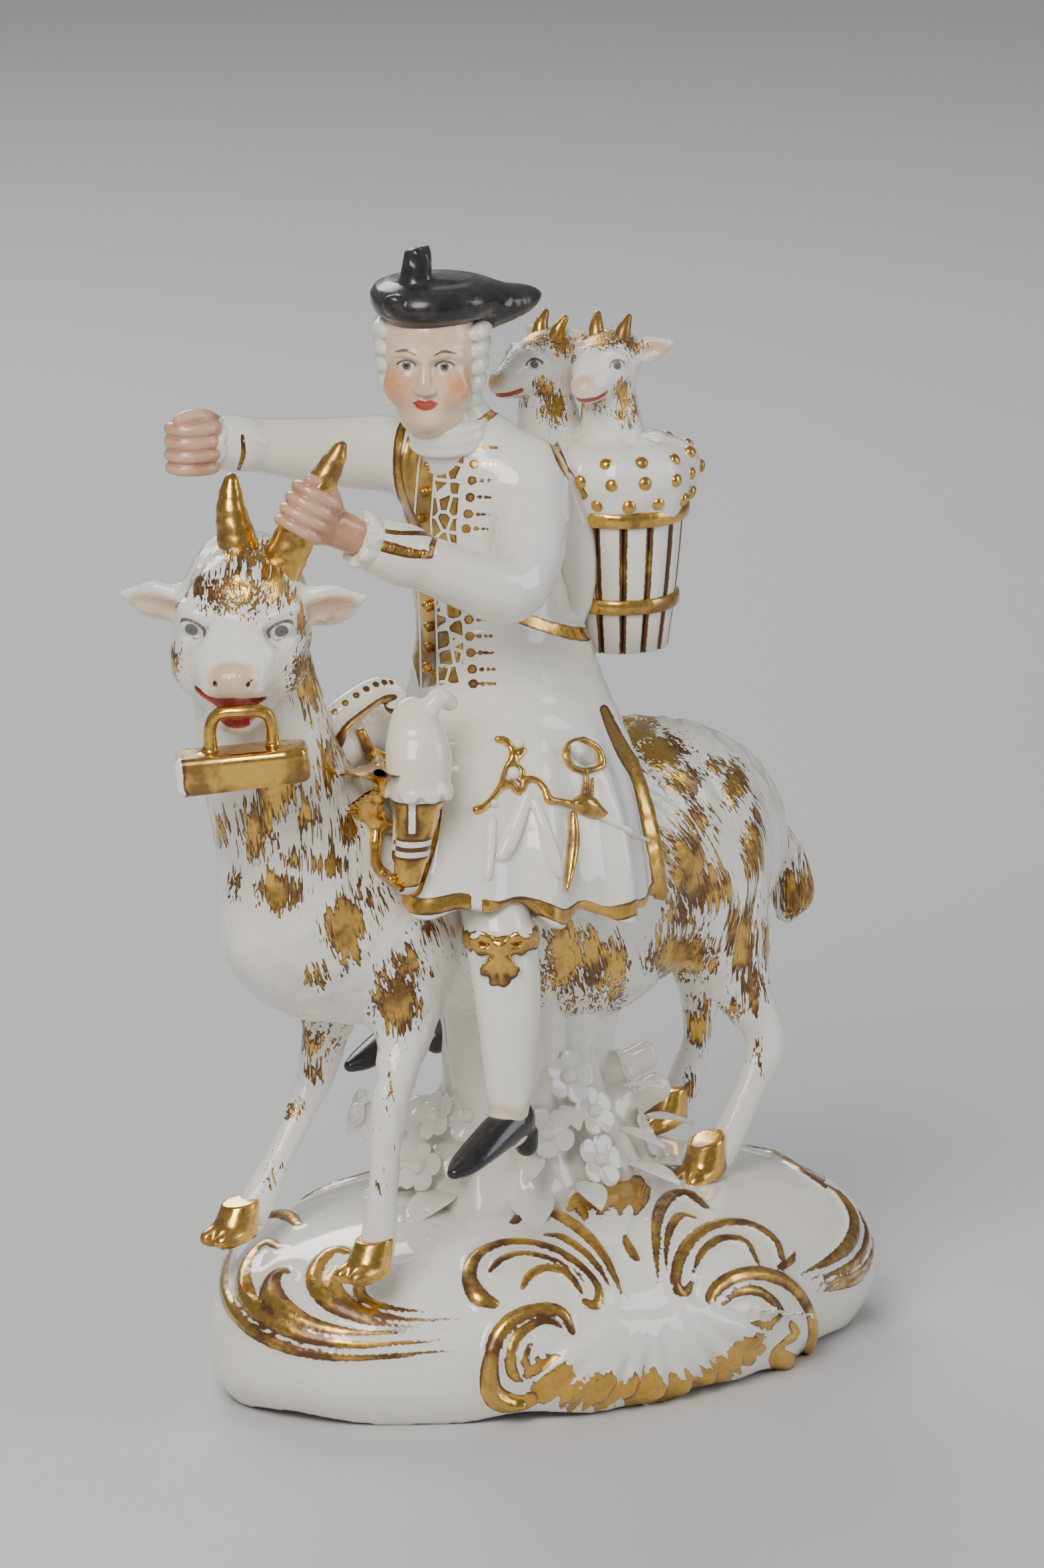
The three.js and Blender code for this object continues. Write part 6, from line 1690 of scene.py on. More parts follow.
def build_stump(materials):
    """The tree stump that carries the goat's belly, with its broken branches."""
    clay = Clay(step=0.8)
    clay.add(Tube([[0, 0, 30, 22, 33], [-1, 0, 38, 17.6, 26.6], [-2, 0, 50, 13.6, 22.6], [-3, 0, 64, 12.6, 21],
                   [-2, 0, 82, 15.6, 23.6]],
                  up=(1, 0, 0)))
    clay.add(Tube([[-12, 4, 40, 7.3], [-24, 11, 46, 5.3], [-33, 17.5, 52, 3.4]]), 2)
    for place, way in BRANCHES:
        place, way = np.array(place, float), unit(way)
        clay.add(Tube([np.r_[place - 8 * way, 4.4], np.r_[place - 2 * way, 3.1], np.r_[place + 2.4 * way, 2.8]]), 2)
        clay.cut(Ball(place + 5.6 * way, 3.1), 0.6)
    for place, _, _ in flower_places():
        middle = np.array([-2, 0, place[2] - 4])
        clay.add(Tube([np.r_[middle + 0.45 * (place - middle), 3.4], np.r_[place - unit(place - middle) * 2.0, 1.8]]),
                 2)

    def bark(points):
        around = np.arctan2(points[:, 1] / 14, (points[:, 0] - 4) / 19)
        wave = np.sin(9 * around + 0.05 * points[:, 2] + 1.6 * lattice_noise(points / 13.0, 81))
        grain = 0.6 * lattice_noise(points / (3, 3, 9), 82) + 0.5 * lattice_noise(points / 5.0, 83)
        return 0.85 * wave * np.abs(wave) + grain

    clay.press(bark)
    return new_object("stump", clay, materials)


def petal_mesh(name, length, width):
    """A cupped petal, its foot at the origin and its tip along X."""
    rows = []
    for share in np.linspace(0, 1, 9):
        wide = width * (0.34 + 0.66 * math.sin(math.pi * (0.12 + 0.62 * share))) * math.sqrt(max(0.03, 1 - share**8))
        lift = 0.22 * length * share - 0.10 * length * share**2
        thick = 0.15 * width * (1 - 0.45 * share)
        row = []
        for a in np.linspace(0, 2 * math.pi, 12, endpoint=False):
            notch = 0.16 * length * share**4 * (1 - abs(math.cos(a))) ** 2
            row.append((share * length - notch, wide * math.cos(a),
                        lift + thick * math.sin(a) + 0.2 * wide * math.cos(a) ** 2))
        rows.append(row)
    return grid_mesh(name, rows)


def build_flowers(materials):
    """Five-petalled flowers round the stump, set by Geometry Nodes, with their hearts."""
    places, turns, sizes, hearts, heart_turns = [], [], [], [], []
    for k, (place, way, size) in enumerate(flower_places()):
        frame_turn = Vector(way).to_track_quat("Z", "Y").to_matrix()
        for i in range(PETALS):
            spin = Matrix.Rotation(math.radians(360 / PETALS * i + 23 * k), 3, "Z")
            turn = frame_turn @ spin
            places.append(np.array(place) + np.array(turn.col[0]) * 0.1 * size - way * 0.6)
            turns.append(tuple(turn.to_euler()))
            sizes.append(size / 7)
        hearts.append(place + 0.2 * way)
        heart_turns.append(way)
    petal = petal_mesh("petal", chosen("petal_length"), width=2.6)
    flowers = repeat_piece("petals", petal, places, turns, sizes, materials[0], variation=0.06)
    heart = dome_mesh("heart", reach=1.5, height=1.4)
    repeat_piece("flower_hearts", heart, hearts, turns_to(heart_turns), [1.0] * len(hearts), materials[1])
    return flowers


def leaf_mesh(name, length, width):
    """A pointed leaf with a raised edge and a mid rib, its foot at the origin and its tip along X."""
    rows = []
    for share in np.linspace(0, 1, 11):
        wide = width * (math.sin(math.pi * min(1.0, 0.06 + 0.94 * share)) ** 0.8) + 0.25
        droop = 0.12 * length * share - 0.26 * length * share**2
        section = []
        for a in np.linspace(0, 2 * math.pi, 14, endpoint=False):
            y = wide * math.cos(a)
            rib = 0.5 * math.exp(-((y / 0.7) ** 2)) * (math.sin(a) > 0)
            section.append((share * length, y, droop + 0.75 * math.sin(a) + rib + 0.16 * abs(y) * math.cos(a) ** 2))
        rows.append(section)
    return grid_mesh(name, rows)


# Leaves: place of the foot, the angle that it points to, and length.
LEAVES = [(-12, -9, -130, 18), (18, -9, -25, 18), (-23, 1, 190, 18), (-17, 10, 140, 18), (18, 9, 45, 18),
          (0, 13, 90, 18)]
SMALL_LEAVES = [
    (-14, -13, 46, -140, 0.1, 0.55), (6, -18, 49, -60, 0.2, 0.55), (-8, -15, 56, -110, 0.2, 0.5),
    (10, -15, 57, -70, -0.2, 0.5), (22, -10, 47, -20, 0.1, 0.6), (-24, -4, 47, -160, 0.1, 0.6),
    (-30, 9, 50, 165, 0.0, 0.5), (-6, -19, 40, -115, 0.1, 0.65), (9, -18, 41, -75, 0.1, 0.65),
    (-18, -10, 59, -140, -0.2, 0.45), (12, 14, 50, 70, 0.1, 0.55), (-14, 15, 48, 115, 0.1, 0.55),
]


def build_leaves(materials):
    """Pointed leaves round the foot of the stump, set by Geometry Nodes."""
    places, turns, sizes = [], [], []
    for x, y, angle, length in LEAVES:
        places.append((x, y, 38.0))
        turns.append((0.0, math.radians(5), math.radians(angle)))
        sizes.append(length / 18)
    for x, y, height, angle, lean, size in SMALL_LEAVES:
        places.append((x, y, height))
        turns.append((0.0, lean, math.radians(angle)))
        sizes.append(size)
    leaf = leaf_mesh("leaf", chosen("leaf_length"), width=4.6)
    return repeat_piece("leaves", leaf, places, turns, sizes, materials[0], variation=0.03)


# Materials. Shared effects are node groups that put out colours and values only.


class Graph:
    """Short ways to lay out and link the nodes of one tree."""

    def __init__(self, tree):
        self.tree = tree
        self.column = 0

    def node(self, kind, inputs=None, **settings):
        """A node with its inputs set or linked, and its settings."""
        made = self.tree.nodes.new(kind)
        made.location = (self.column * 190, (self.column % 5) * -150)
        self.column += 1
        for key, value in settings.items():
            setattr(made, key, value)
        for key, value in (inputs or {}).items():
            if isinstance(value, bpy.types.NodeSocket):
                self.tree.links.new(value, made.inputs[key])
            else:
                made.inputs[key].default_value = value
        return made

    def attribute(self, name, vector=False):
        """The values painted on the mesh under a name."""
        made = self.node("ShaderNodeAttribute", attribute_name=name)
        return made.outputs["Vector" if vector else "Fac"]

    def maths(self, operation, a, b=0.0, c=0.0):
        """One step of arithmetic."""
        return self.node("ShaderNodeMath", {0: a, 1: b, 2: c}, operation=operation).outputs[0]

    def times(self, a, b):
        """One value times another."""
        return self.maths("MULTIPLY", a, b)

    def line(self, value, slope, start):
        """A value times a slope, added to a start."""
        return self.maths("MULTIPLY_ADD", value, slope, start)

    def stirred(self, value, noise, amount, middle=0.5):
        """A value moved up and down by noise round its middle."""
        return self.line(self.maths("SUBTRACT", noise, middle), amount, value)

    def scaled(self, vector, scale):
        """A vector times a scale on each axis."""
        return self.node("ShaderNodeVectorMath", {0: vector, 1: scale}, operation="MULTIPLY").outputs[0]

    def place(self):
        """Where a point lies on the object."""
        return self.node("ShaderNodeTexCoord").outputs["Object"]

    def group(self, tree, **inputs):
        """The outputs of a shared group, with its inputs set or linked."""
        return self.node("ShaderNodeGroup", inputs, node_tree=tree).outputs

    def ramp(self, value, low, high, to_low=0.0, to_high=1.0):
        """A value carried smoothly from one range to another."""
        made = self.node("ShaderNodeMapRange", {0: value, 1: low, 2: high, 3: to_low, 4: to_high},
                         interpolation_type="SMOOTHSTEP")
        return made.outputs[0]

    def noise(self, vector, scale, detail=3.0, roughness=0.5, distortion=0.0):
        """Noise between 0 and 1."""
        made = self.node("ShaderNodeTexNoise", {"Vector": vector, "Scale": scale, "Detail": detail,
                                                "Roughness": roughness, "Distortion": distortion})
        return made.outputs["Fac"]

    def mix(self, share, a, b):
        """Two colours mixed."""
        made = self.node("ShaderNodeMix", data_type="RGBA")
        for socket, value in ((made.inputs["Factor"], share), (made.inputs[6], a), (made.inputs[7], b)):
            if isinstance(value, bpy.types.NodeSocket):
                self.tree.links.new(value, socket)
            else:
                socket.default_value = value
        return made.outputs[2]

    def blend(self, share, a, b):
        """Two values mixed."""
        return self.node("ShaderNodeMix", {0: share, 2: a, 3: b}).outputs[0]


SOCKETS = {"value": "NodeSocketFloat", "colour": "NodeSocketColor", "vector": "NodeSocketVector"}


def shared_group(name, inputs, outputs, recipe):
    """A node group: inputs by title with a default value or a kind, outputs by kind, and the recipe for the outputs."""
    tree = bpy.data.node_groups.new(name, "ShaderNodeTree")
    for title, given in inputs.items():
        kind = given if given in SOCKETS else "value"
        socket = tree.interface.new_socket(title, in_out="INPUT", socket_type=SOCKETS[kind])
        if given is not kind:
            socket.default_value = given
    for title, kind in outputs.items():
        tree.interface.new_socket(title, in_out="OUTPUT", socket_type=SOCKETS[kind])
    graph = Graph(tree)
    entry = graph.node("NodeGroupInput").outputs
    leave = graph.node("NodeGroupOutput")
    for title, socket in zip(outputs, recipe(graph, entry)):
        tree.links.new(socket, leave.inputs[title])
    return tree


def tint(name):
    """A colour from the scene's settings."""
    return tuple(getattr(bpy.context.scene.figure_colours, name))


def rgba(r, g, b):
    """An opaque linear colour."""
    return (r, g, b, 1.0)


CRACK_BROWN = rgba(0.36, 0.30, 0.22)
SPECK_BROWN = rgba(0.05, 0.04, 0.035)


def glaze(graph, entry):
    """The glaze: its colour, gloss and fine surface, with crazing and kiln specks, and painted shade in hollows that
    also stands for glaze pooling there.
    """
    place = graph.place()
    cloud = graph.noise(place, 22.0, 3.0, 0.55)
    colour = graph.mix(graph.ramp(cloud, 0.42, 0.72, 0.0, 0.55), tint("glaze"), tint("glaze_warm"))
    warm = graph.times(entry["Warmth"], graph.ramp(cloud, 0.2, 0.8, 0.5, 1.0))
    colour = graph.mix(warm, colour, tint("glaze_warm"))
    # Darker glaze in hollows, by the hollow measure: painted shade, with some real pooling of the glaze.
    colour = graph.mix(graph.ramp(entry["Hollow"], 0.1, 0.8, 0.0, 0.6), colour, tint("glaze_shade_pooling"))
    swirl = graph.node("ShaderNodeTexNoise", {"Vector": place, "Scale": 260.0, "Detail": 1.0}).outputs["Color"]
    bent = graph.node("ShaderNodeVectorMath", {0: place, 1: swirl, 2: (0.0012,) * 3},
                      operation="MULTIPLY_ADD").outputs[0]
    crack = graph.node("ShaderNodeTexVoronoi", {"Vector": bent, "Scale": 330.0}, feature="DISTANCE_TO_EDGE")
    thin = graph.ramp(crack.outputs["Distance"], 0.0, 0.035, 1.0, 0.0)
    where = graph.ramp(graph.noise(place, 38.0, 2.0), 0.5, 0.62)
    cracked = graph.times(graph.times(thin, where), entry["Crazing"])
    colour = graph.mix(graph.times(cracked, 0.55), colour, CRACK_BROWN)
    dots = graph.node("ShaderNodeTexVoronoi", {"Vector": place, "Scale": 95.0}, feature="F1").outputs
    chance = graph.node("ShaderNodeTexWhiteNoise", {"Vector": dots["Position"]}).outputs["Value"]
    speck = graph.maths("LESS_THAN", dots["Distance"], graph.ramp(chance, 0.86, 1.0, 0.0, 0.032))
    colour = graph.mix(graph.times(speck, 0.8), colour, SPECK_BROWN)
    pits = graph.maths("ADD", graph.times(cracked, -0.25), graph.noise(place, 120.0, 2.0))
    bump = graph.node("ShaderNodeBump", {"Strength": 0.16, "Distance": 0.0006, "Height": pits})
    return colour, graph.ramp(cloud, 0.3, 0.8, 0.07, 0.13), bump.outputs[0]


def gilding(graph, entry):
    """Burnished gold, worn brown at its edges. In: how deep a point lies in it, in millimetres."""
    place, depth, wear = graph.place(), entry["Depth"], entry["Wear"]
    fine = graph.noise(place, 900.0, 4.0, 0.65)
    broad = graph.noise(place, 120.0, 3.0, 0.6)
    share = graph.ramp(graph.stirred(depth, fine, 0.35), -0.07, 0.07)
    rubbed = graph.ramp(graph.stirred(depth, broad, 2.0), graph.line(wear, 0.5, -0.2), graph.line(wear, 0.7, 0.3))
    bright = graph.times(rubbed, graph.blend(wear, 1.0, graph.ramp(broad, 0.36, 0.56)))
    colour = graph.mix(graph.ramp(fine, 0.35, 0.7), tint("gold_deep"), tint("gold_bright"))
    colour = graph.mix(bright, tint("gold_worn"), graph.mix(0.65, colour, tint("gold_bright")))
    gloss = graph.blend(bright, 0.42, graph.ramp(fine, 0.3, 0.8, 0.14, 0.3))
    return colour, share, graph.blend(bright, 0.55, 1.0), gloss


def hair_strokes(graph, entry):
    """Brushed hair. In: the hair's places and how strongly paint is called for. Out: depth in the paint, and relief."""
    strokes = graph.noise(graph.scaled(entry["Hair"], (0.10, 0.85, 0.85)), 1.0, 2.0, 0.5, 0.3)
    hairs = graph.noise(graph.scaled(entry["Hair"], (0.26, 2.2, 2.2)), 1.0, 1.0, 0.5, 0.15)
    both = graph.stirred(graph.stirred(graph.line(entry["Patch"], 1.75, -0.95), strokes, 2.6), hairs, 1.9)
    lone = graph.stirred(graph.ramp(entry["Patch"], 0.03, 0.3, -0.9, 0.0), hairs, 3.6, 0.72)
    relief = graph.maths("ADD", strokes, graph.times(hairs, 0.5))
    return graph.times(graph.maths("MAXIMUM", both, lone), 1.5), relief


def enamel(graph, entry):
    """Painted enamel. In: depth in the painted area, its colour and how thinly it lies. Out: the uneven paint, darker
    in random patches and, as painted shade, in hollows.
    """
    place, soft = graph.place(), entry["Softness"]
    broad = graph.noise(place, 90.0, 3.0, 0.55)
    fine = graph.noise(place, 700.0, 3.0, 0.6)
    edge = graph.stirred(entry["Depth"], fine, graph.times(soft, 1.2))
    uneven = graph.ramp(graph.line(fine, 0.6, broad), 0.45, 1.15)
    cover = graph.line(graph.times(uneven, entry["Thin"]), -1.0, 1.0)
    share = graph.times(graph.ramp(edge, graph.times(soft, -1.0), soft), cover)
    deep = graph.node("ShaderNodeHueSaturation", {"Color": entry["Paint"], "Saturation": 1.1, "Value": 0.62}).outputs[0]
    # Darker paint in hollows, by the hollow measure, is painted shade; the darker random patches are uneven paint.
    hollow_shade_and_patches = graph.maths("MAXIMUM", graph.ramp(entry["Hollow"], 0.05, 0.6), graph.ramp(broad, 0.62, 0.4, 0.0, 0.45))
    return graph.mix(hollow_shade_and_patches, entry["Paint"], deep), share, graph.ramp(graph.line(fine, 0.35, broad), 0.45, 0.9, 0.12,
                                                                      0.34)


def scale_net(graph, entry):
    """White net lines left open in the gilding. In: drawn places. Out: distance from the net's lines."""
    flat = graph.scaled(entry["Drawn"], (1.0, 0.85, 0.0))
    cells = graph.node("ShaderNodeTexVoronoi", {"Vector": flat, "Scale": entry["Size"], "Randomness": 0.55},
                       feature="DISTANCE_TO_EDGE")
    return [cells.outputs["Distance"]]


GILT_KINDS = ("gold", "strokes", "net")
# How deep a point lies in paint that covers a piece all over.
DEEP = 3.0


def painted_porcelain(name, groups, layers=(), crazing=0.5, warmth=0.15, wear=0.5, gloss=0.35):
    """Glazed porcelain with painted layers: rows of kind, attribute (None: all over), colour, softness, thinness."""
    material = bpy.data.materials.new(name)
    material.use_nodes = True
    tree = material.node_tree
    tree.nodes.clear()
    graph = Graph(tree)
    # The hollow measure darkens the glaze and the paints: painted shade.
    hollow = graph.attribute("hollow")
    ground = graph.group(groups["glaze"], Crazing=crazing, Warmth=warmth, Hollow=hollow)
    colour, rough, metal, normal = ground["Color"], ground["Roughness"], None, ground["Normal"]
    for kind, attribute, paint, softness, thin in layers:
        depth = graph.attribute(attribute) if attribute else DEEP
        if kind == "strokes":
            hair = graph.group(groups["strokes"], Hair=graph.attribute("hair", True), Patch=depth)
            depth = hair["Depth"]
            normal = graph.node("ShaderNodeBump", {"Strength": 0.45, "Distance": 0.0005, "Height": hair["Relief"],
                                                   "Normal": normal}).outputs[0]
        if kind == "net":
            gap = graph.group(groups["net"], Drawn=graph.attribute("drawn", True))["Gap"]
            strip = graph.attribute("strip")
            open_lines = graph.line(gap, 9.0, graph.ramp(strip, 1.0, 2.4, 3.0, -0.95))
            seams = graph.maths("ABSOLUTE", graph.maths("SUBTRACT", graph.maths("ABSOLUTE", strip), 1.75))
            depth = graph.maths("MINIMUM", graph.maths("MINIMUM", depth, open_lines), graph.line(seams, 3.0, -0.7))
        if kind in GILT_KINDS:
            layer = graph.group(groups["gilding"], Wear=wear, Depth=depth)
            metal = graph.blend(layer["Share"], 0.0 if metal is None else metal, layer["Metal"])
        else:
            layer = graph.group(groups["enamel"], Paint=paint, Softness=softness, Thin=thin, Depth=depth, Hollow=hollow)
            if metal is not None:
                metal = graph.times(metal, graph.maths("SUBTRACT", 1.0, layer["Share"]))
        colour = graph.mix(layer["Share"], colour, layer["Color"])
        rough = graph.blend(layer["Share"], rough, layer["Roughness"])
    shader = graph.node("ShaderNodeBsdfPrincipled", {
        "Base Color": colour, "Roughness": rough, "Normal": normal, "Metallic": 0.0 if metal is None else metal,
        "IOR": 1.5, "Coat Weight": gloss, "Coat Roughness": 0.04,
        "Subsurface Weight": 0.08, "Subsurface Radius": (0.003, 0.0025, 0.002), "Subsurface Scale": 1.0,
    })
    out = graph.node("ShaderNodeOutputMaterial")
    tree.links.new(shader.outputs[0], out.inputs["Surface"])
    return material


def build_groups():
    """The shared node groups."""
    return {
        "glaze": shared_group("Glaze", {"Hollow": 0.0, "Crazing": 0.5, "Warmth": 0.2},
                              {"Color": "colour", "Roughness": "value", "Normal": "vector"}, glaze),
        "gilding": shared_group("Gilding", {"Depth": 0.0, "Wear": 0.5},
                                {"Color": "colour", "Share": "value", "Metal": "value", "Roughness": "value"}, gilding),
        "strokes": shared_group("Hair strokes", {"Hair": "vector", "Patch": 0.0},
                                {"Depth": "value", "Relief": "value"}, hair_strokes),
        "enamel": shared_group("Enamel", {"Depth": DEEP, "Softness": 0.2, "Paint": "colour", "Thin": 0.1,
                                          "Hollow": 0.0},
                               {"Color": "colour", "Share": "value", "Roughness": "value"}, enamel),
        "net": shared_group("Scale net", {"Drawn": "vector", "Size": 0.34}, {"Gap": "value"}, scale_net),
    }


IRIS_GREY = rgba(0.12, 0.115, 0.10)
LINE_BROWN = rgba(0.09, 0.05, 0.03)
BROW_BROWN = rgba(0.075, 0.035, 0.022)
BLACK = rgba(0.012, 0.011, 0.012)
# Dark red over the fists, strongest in their creases; in the creases it is painted shade.
CREASE_SHADE_RED = rgba(0.42, 0.16, 0.08)
BLUSH_RED = rgba(0.80, 0.25, 0.07)
EYE_WHITE = rgba(0.84, 0.85, 0.84)
STAIN_YELLOW = rgba(0.66, 0.54, 0.30)


def build_materials(groups):
    """Every material by name."""
    eye = [("enamel", "opening", EYE_WHITE, 0.15, 0.1), ("enamel", "iris", IRIS_GREY, 0.12, 0.05),
           ("enamel", "pupil", BLACK, 0.1, 0.0), ("enamel", "line", LINE_BROWN, 0.1, 0.2)]
    gold = [("gold", "gold", None, 0, 0)]
    make = painted_porcelain
    return {
        "base": make("Glazed base", groups, gold, 0.9, 0.12, 0.35),
        "coat": make("Goat's coat", groups, [("strokes", "patch", None, 0, 0)], 0.35, 0.1, 0.85),
        "goat_head": make("Goat's head", groups, [
            ("enamel", "pink", tint("muzzle_pink"), 0.9, 0.3), ("strokes", "patch", None, 0, 0),
            ("enamel", "red", tint("lip_red"), 0.2, 0.1),
            ("enamel", "dark", LINE_BROWN, 0.12, 0.3), *eye], 0.3, 0.05, 0.8),
        "gold": make("Gilded porcelain", groups, gold, 0.2, 0.1, 0.8),
        "white": make("White porcelain", groups, [], 0.3, 0.12),
        "rider_coat": make("Rider's coat", groups, [("net", "net", None, 0, 0), *gold], 0.35, 0.05, 0.5),
        # The hands' dark red layer follows their hollows: painted shade in the creases.
        "skin": make("Painted hands", groups, [("enamel", None, tint("hand_skin"), 0.2, 0.28),
                                               ("enamel", "crease", CREASE_SHADE_RED, 0.5, 0.4)],
                     0.2, 0.2),
        "face": make("Painted face", groups, [
            ("enamel", "flesh", tint("skin"), 0.5, 0.16), ("enamel", "blush", BLUSH_RED, 2.4, 0.2),
            ("enamel", "lips", tint("lip_red"), 0.16, 0.1),
            ("enamel", "parting", LINE_BROWN, 0.1, 0.3), ("enamel", "brows", BROW_BROWN, 0.14, 0.25), *eye], 0.15, 0.1),
        "hat": make("Black hat", groups, [("enamel", None, tint("hat_black"), 0.2, 0.04)], 0.1, 0.1, gloss=0.1),
        "shoe": make("Black shoe", groups, [("enamel", None, BLACK, 0.2, 0.02)], 0.1, 0.1, gloss=0.3),
        "legs": make("Stockings", groups, [("enamel", "stain", STAIN_YELLOW, 1.0, 0.3), *gold], 0.5, 0.1, 0.6),
        "staves": make("Tub staves", groups, gold, 0.4, 0.1, 1.0),
    }


# Stage: a pale floor, soft lights and the camera.

# Lights: name, spot in metres, width and height, power in watts, colour.
LIGHTS = [
    ("key light", (-0.95, -0.45, 0.95), (0.6, 0.8), 16.5, (1.0, 0.97, 0.93)),
    ("fill light", (0.75, -1.0, 0.55), (0.5, 0.9), 5.5, (0.95, 0.97, 1.0)),
    ("rim light", (0.45, 0.95, 0.8), (0.7, 0.6), 8.0, (1.0, 1.0, 1.0)),
]
FLOOR_REACH = 6.0
SENSOR_WIDTH = 36.0
VIEW_TURN = -45.0
VIEW_TILT = 14.0
VIEW_DISTANCE = 4.0
PICTURE = (1568, 2354)
PIXELS_A_METRE = 7200.0
ORIGIN_IN_PICTURE = (808, 2020)


def view_axes(turn, tilt):
    """Right, up and back of a camera that looks at the object."""
    turn, tilt = math.radians(turn), math.radians(tilt)
    back = np.array([math.cos(tilt) * math.sin(turn), -math.cos(tilt) * math.cos(turn), math.sin(tilt)])
    right = np.array([math.cos(turn), math.sin(turn), 0])
    return right, np.cross(back, right), back


def place_looking(obj, spot, target):
    """Puts a lamp or camera at a spot, turned towards the target."""
    way = Vector(target) - Vector(spot)
    obj.location = spot
    obj.rotation_euler = way.to_track_quat("-Z", "Y").to_euler()


def soft_light(name, spot, target, size, power, colour):
    """One area lamp."""
    data = bpy.data.lights.new(name, "AREA")
    data.shape = "RECTANGLE"
    data.size, data.size_y = size
    data.energy = power
    data.color = colour
    lamp = bpy.data.objects.new(name, data)
    bpy.context.scene.collection.objects.link(lamp)
    place_looking(lamp, spot, target)
    return lamp


def build_stage():
    """Floor, lights, world and camera."""
    scene = bpy.context.scene
    mesh = bpy.data.meshes.new("floor")
    corners = [(x * FLOOR_REACH, y * FLOOR_REACH, 0) for x, y in ((-1, -1), (1, -1), (1, 1), (-1, 1))]
    mesh.from_pydata(corners, [], [(0, 1, 2, 3)])
    floor = bpy.data.objects.new("floor", mesh)
    scene.collection.objects.link(floor)
    material = bpy.data.materials.new("Pale floor")
    material.use_nodes = True
    graph = Graph(material.node_tree)
    shader = material.node_tree.nodes["Principled BSDF"]
    tone = graph.mix(graph.noise(graph.place(), 3.0, 2.0), rgba(0.56, 0.56, 0.565), rgba(0.60, 0.60, 0.60))
    material.node_tree.links.new(tone, shader.inputs["Base Color"])
    shader.inputs["Roughness"].default_value = 0.65
    mesh.materials.append(material)
    world = bpy.data.worlds.new("Studio")
    world.use_nodes = True
    backdrop = world.node_tree.nodes["Background"]
    backdrop.inputs["Color"].default_value = rgba(0.55, 0.56, 0.58)
    backdrop.inputs["Strength"].default_value = 0.4
    scene.world = world
    middle = (-0.01, 0, 0.12)
    for name, spot, size, power, colour in LIGHTS:
        soft_light(name, spot, middle, size, power, colour)
    right, up, back = view_axes(VIEW_TURN, VIEW_TILT)
    across = (PICTURE[0] / 2 - ORIGIN_IN_PICTURE[0]) / PIXELS_A_METRE
    above = (ORIGIN_IN_PICTURE[1] - PICTURE[1] / 2) / PIXELS_A_METRE
    data = bpy.data.cameras.new("camera")
    data.sensor_width = SENSOR_WIDTH
    data.lens = SENSOR_WIDTH * VIEW_DISTANCE * PIXELS_A_METRE / PICTURE[1]
    data.clip_start, data.clip_end = 0.1, 50.0
    camera = bpy.data.objects.new("camera", data)
    scene.collection.objects.link(camera)
    aim = right * across + up * above
    place_looking(camera, tuple(aim + back * VIEW_DISTANCE), tuple(aim))
    scene.camera = camera


GROUPS = {}
MATERIALS = {}


# What a user may change, the operators that make the pieces, and the panel that lists them.


def paint(name, description, red, green, blue):
    """A colour that a user can change."""
    return bpy.props.FloatVectorProperty(name=name, description=description, default=(red, green, blue, 1.0), size=4,
                                         min=0.0, max=1.0, subtype="COLOR")


def length(name, description, default, high=0.05):
    """A length that a user can change, in metres."""
    return bpy.props.FloatProperty(name=name, description=description, default=default, min=0.0001, max=high,
                                   precision=5, unit="LENGTH")


class FigureGroupSizes(bpy.types.PropertyGroup):
    """Sizes of the pieces that repeat."""

    stave_count: bpy.props.IntProperty(name="Staves", description="How many staves the tub has", default=14, min=8,
                                       max=24)
    stave_gap: length("Stave gap", "How far apart the staves stand", 0.0003, 0.002)
    hoop_width: length("Hoop width", "How wide the tub's gilded hoops are", 0.0035, 0.008)
    stud_radius: length("Stud radius", "How big the studs on the tub's cloth are", 0.00145, 0.004)
    button_radius: length("Button radius", "How big the coat's buttons are", 0.00115, 0.003)
    petal_length: length("Petal length", "How long a flower's petals are", 0.0052, 0.012)
    leaf_length: length("Leaf length", "How long the leaves round the stump are", 0.0184, 0.03)


class FigureGroupColours(bpy.types.PropertyGroup):
    """Colours of the glaze, the gilding and the paints."""

    glaze: paint("Glaze", "Clear glaze over the white body", 0.86, 0.845, 0.79)
    glaze_warm: paint("Warm glaze", "Where the glaze has taken a warm tone in the kiln", 0.80, 0.74, 0.60)
    # Painted shade in hollows, which also stands for glaze pooling there.
    glaze_shade_pooling: paint("Shade and glaze pooling", "Painted shade in hollows, where the glaze also runs together", 0.60, 0.575, 0.50)
    gold_bright: paint("Bright gold", "Burnished gilding", 0.87, 0.53, 0.115)
    gold_deep: paint("Deep gold", "Gilding in the hollows of its brush strokes", 0.43, 0.23, 0.05)
    gold_worn: paint("Worn gold", "The brown that shows where gilding is rubbed", 0.13, 0.055, 0.018)
    skin: paint("Skin", "Flesh tone of the face", 0.86, 0.62, 0.43)
    hand_skin: paint("Hands", "Flesh tone of the hands", 0.80, 0.48, 0.28)
    lip_red: paint("Red", "Lips and the animals' mouths", 0.50, 0.022, 0.014)
    muzzle_pink: paint("Pink", "Muzzles of the goat and the kids", 0.82, 0.55, 0.36)
    hat_black: paint("Black", "Hat and shoes", 0.014, 0.013, 0.014)


def painted(*names):
    """Materials by name, built on their first use."""
    if not MATERIALS:
        GROUPS.update(build_groups())
        MATERIALS.update(build_materials(GROUPS))
    return [MATERIALS[name] for name in names]


class FIGURE_OT_base(bpy.types.Operator):
    """Models the mound base with its scrolls, fan and shell"""

    bl_idname = "figure_group.base"
    bl_label = "Base"

    def execute(self, context):
        build_base(painted("base"))
        return {"FINISHED"}


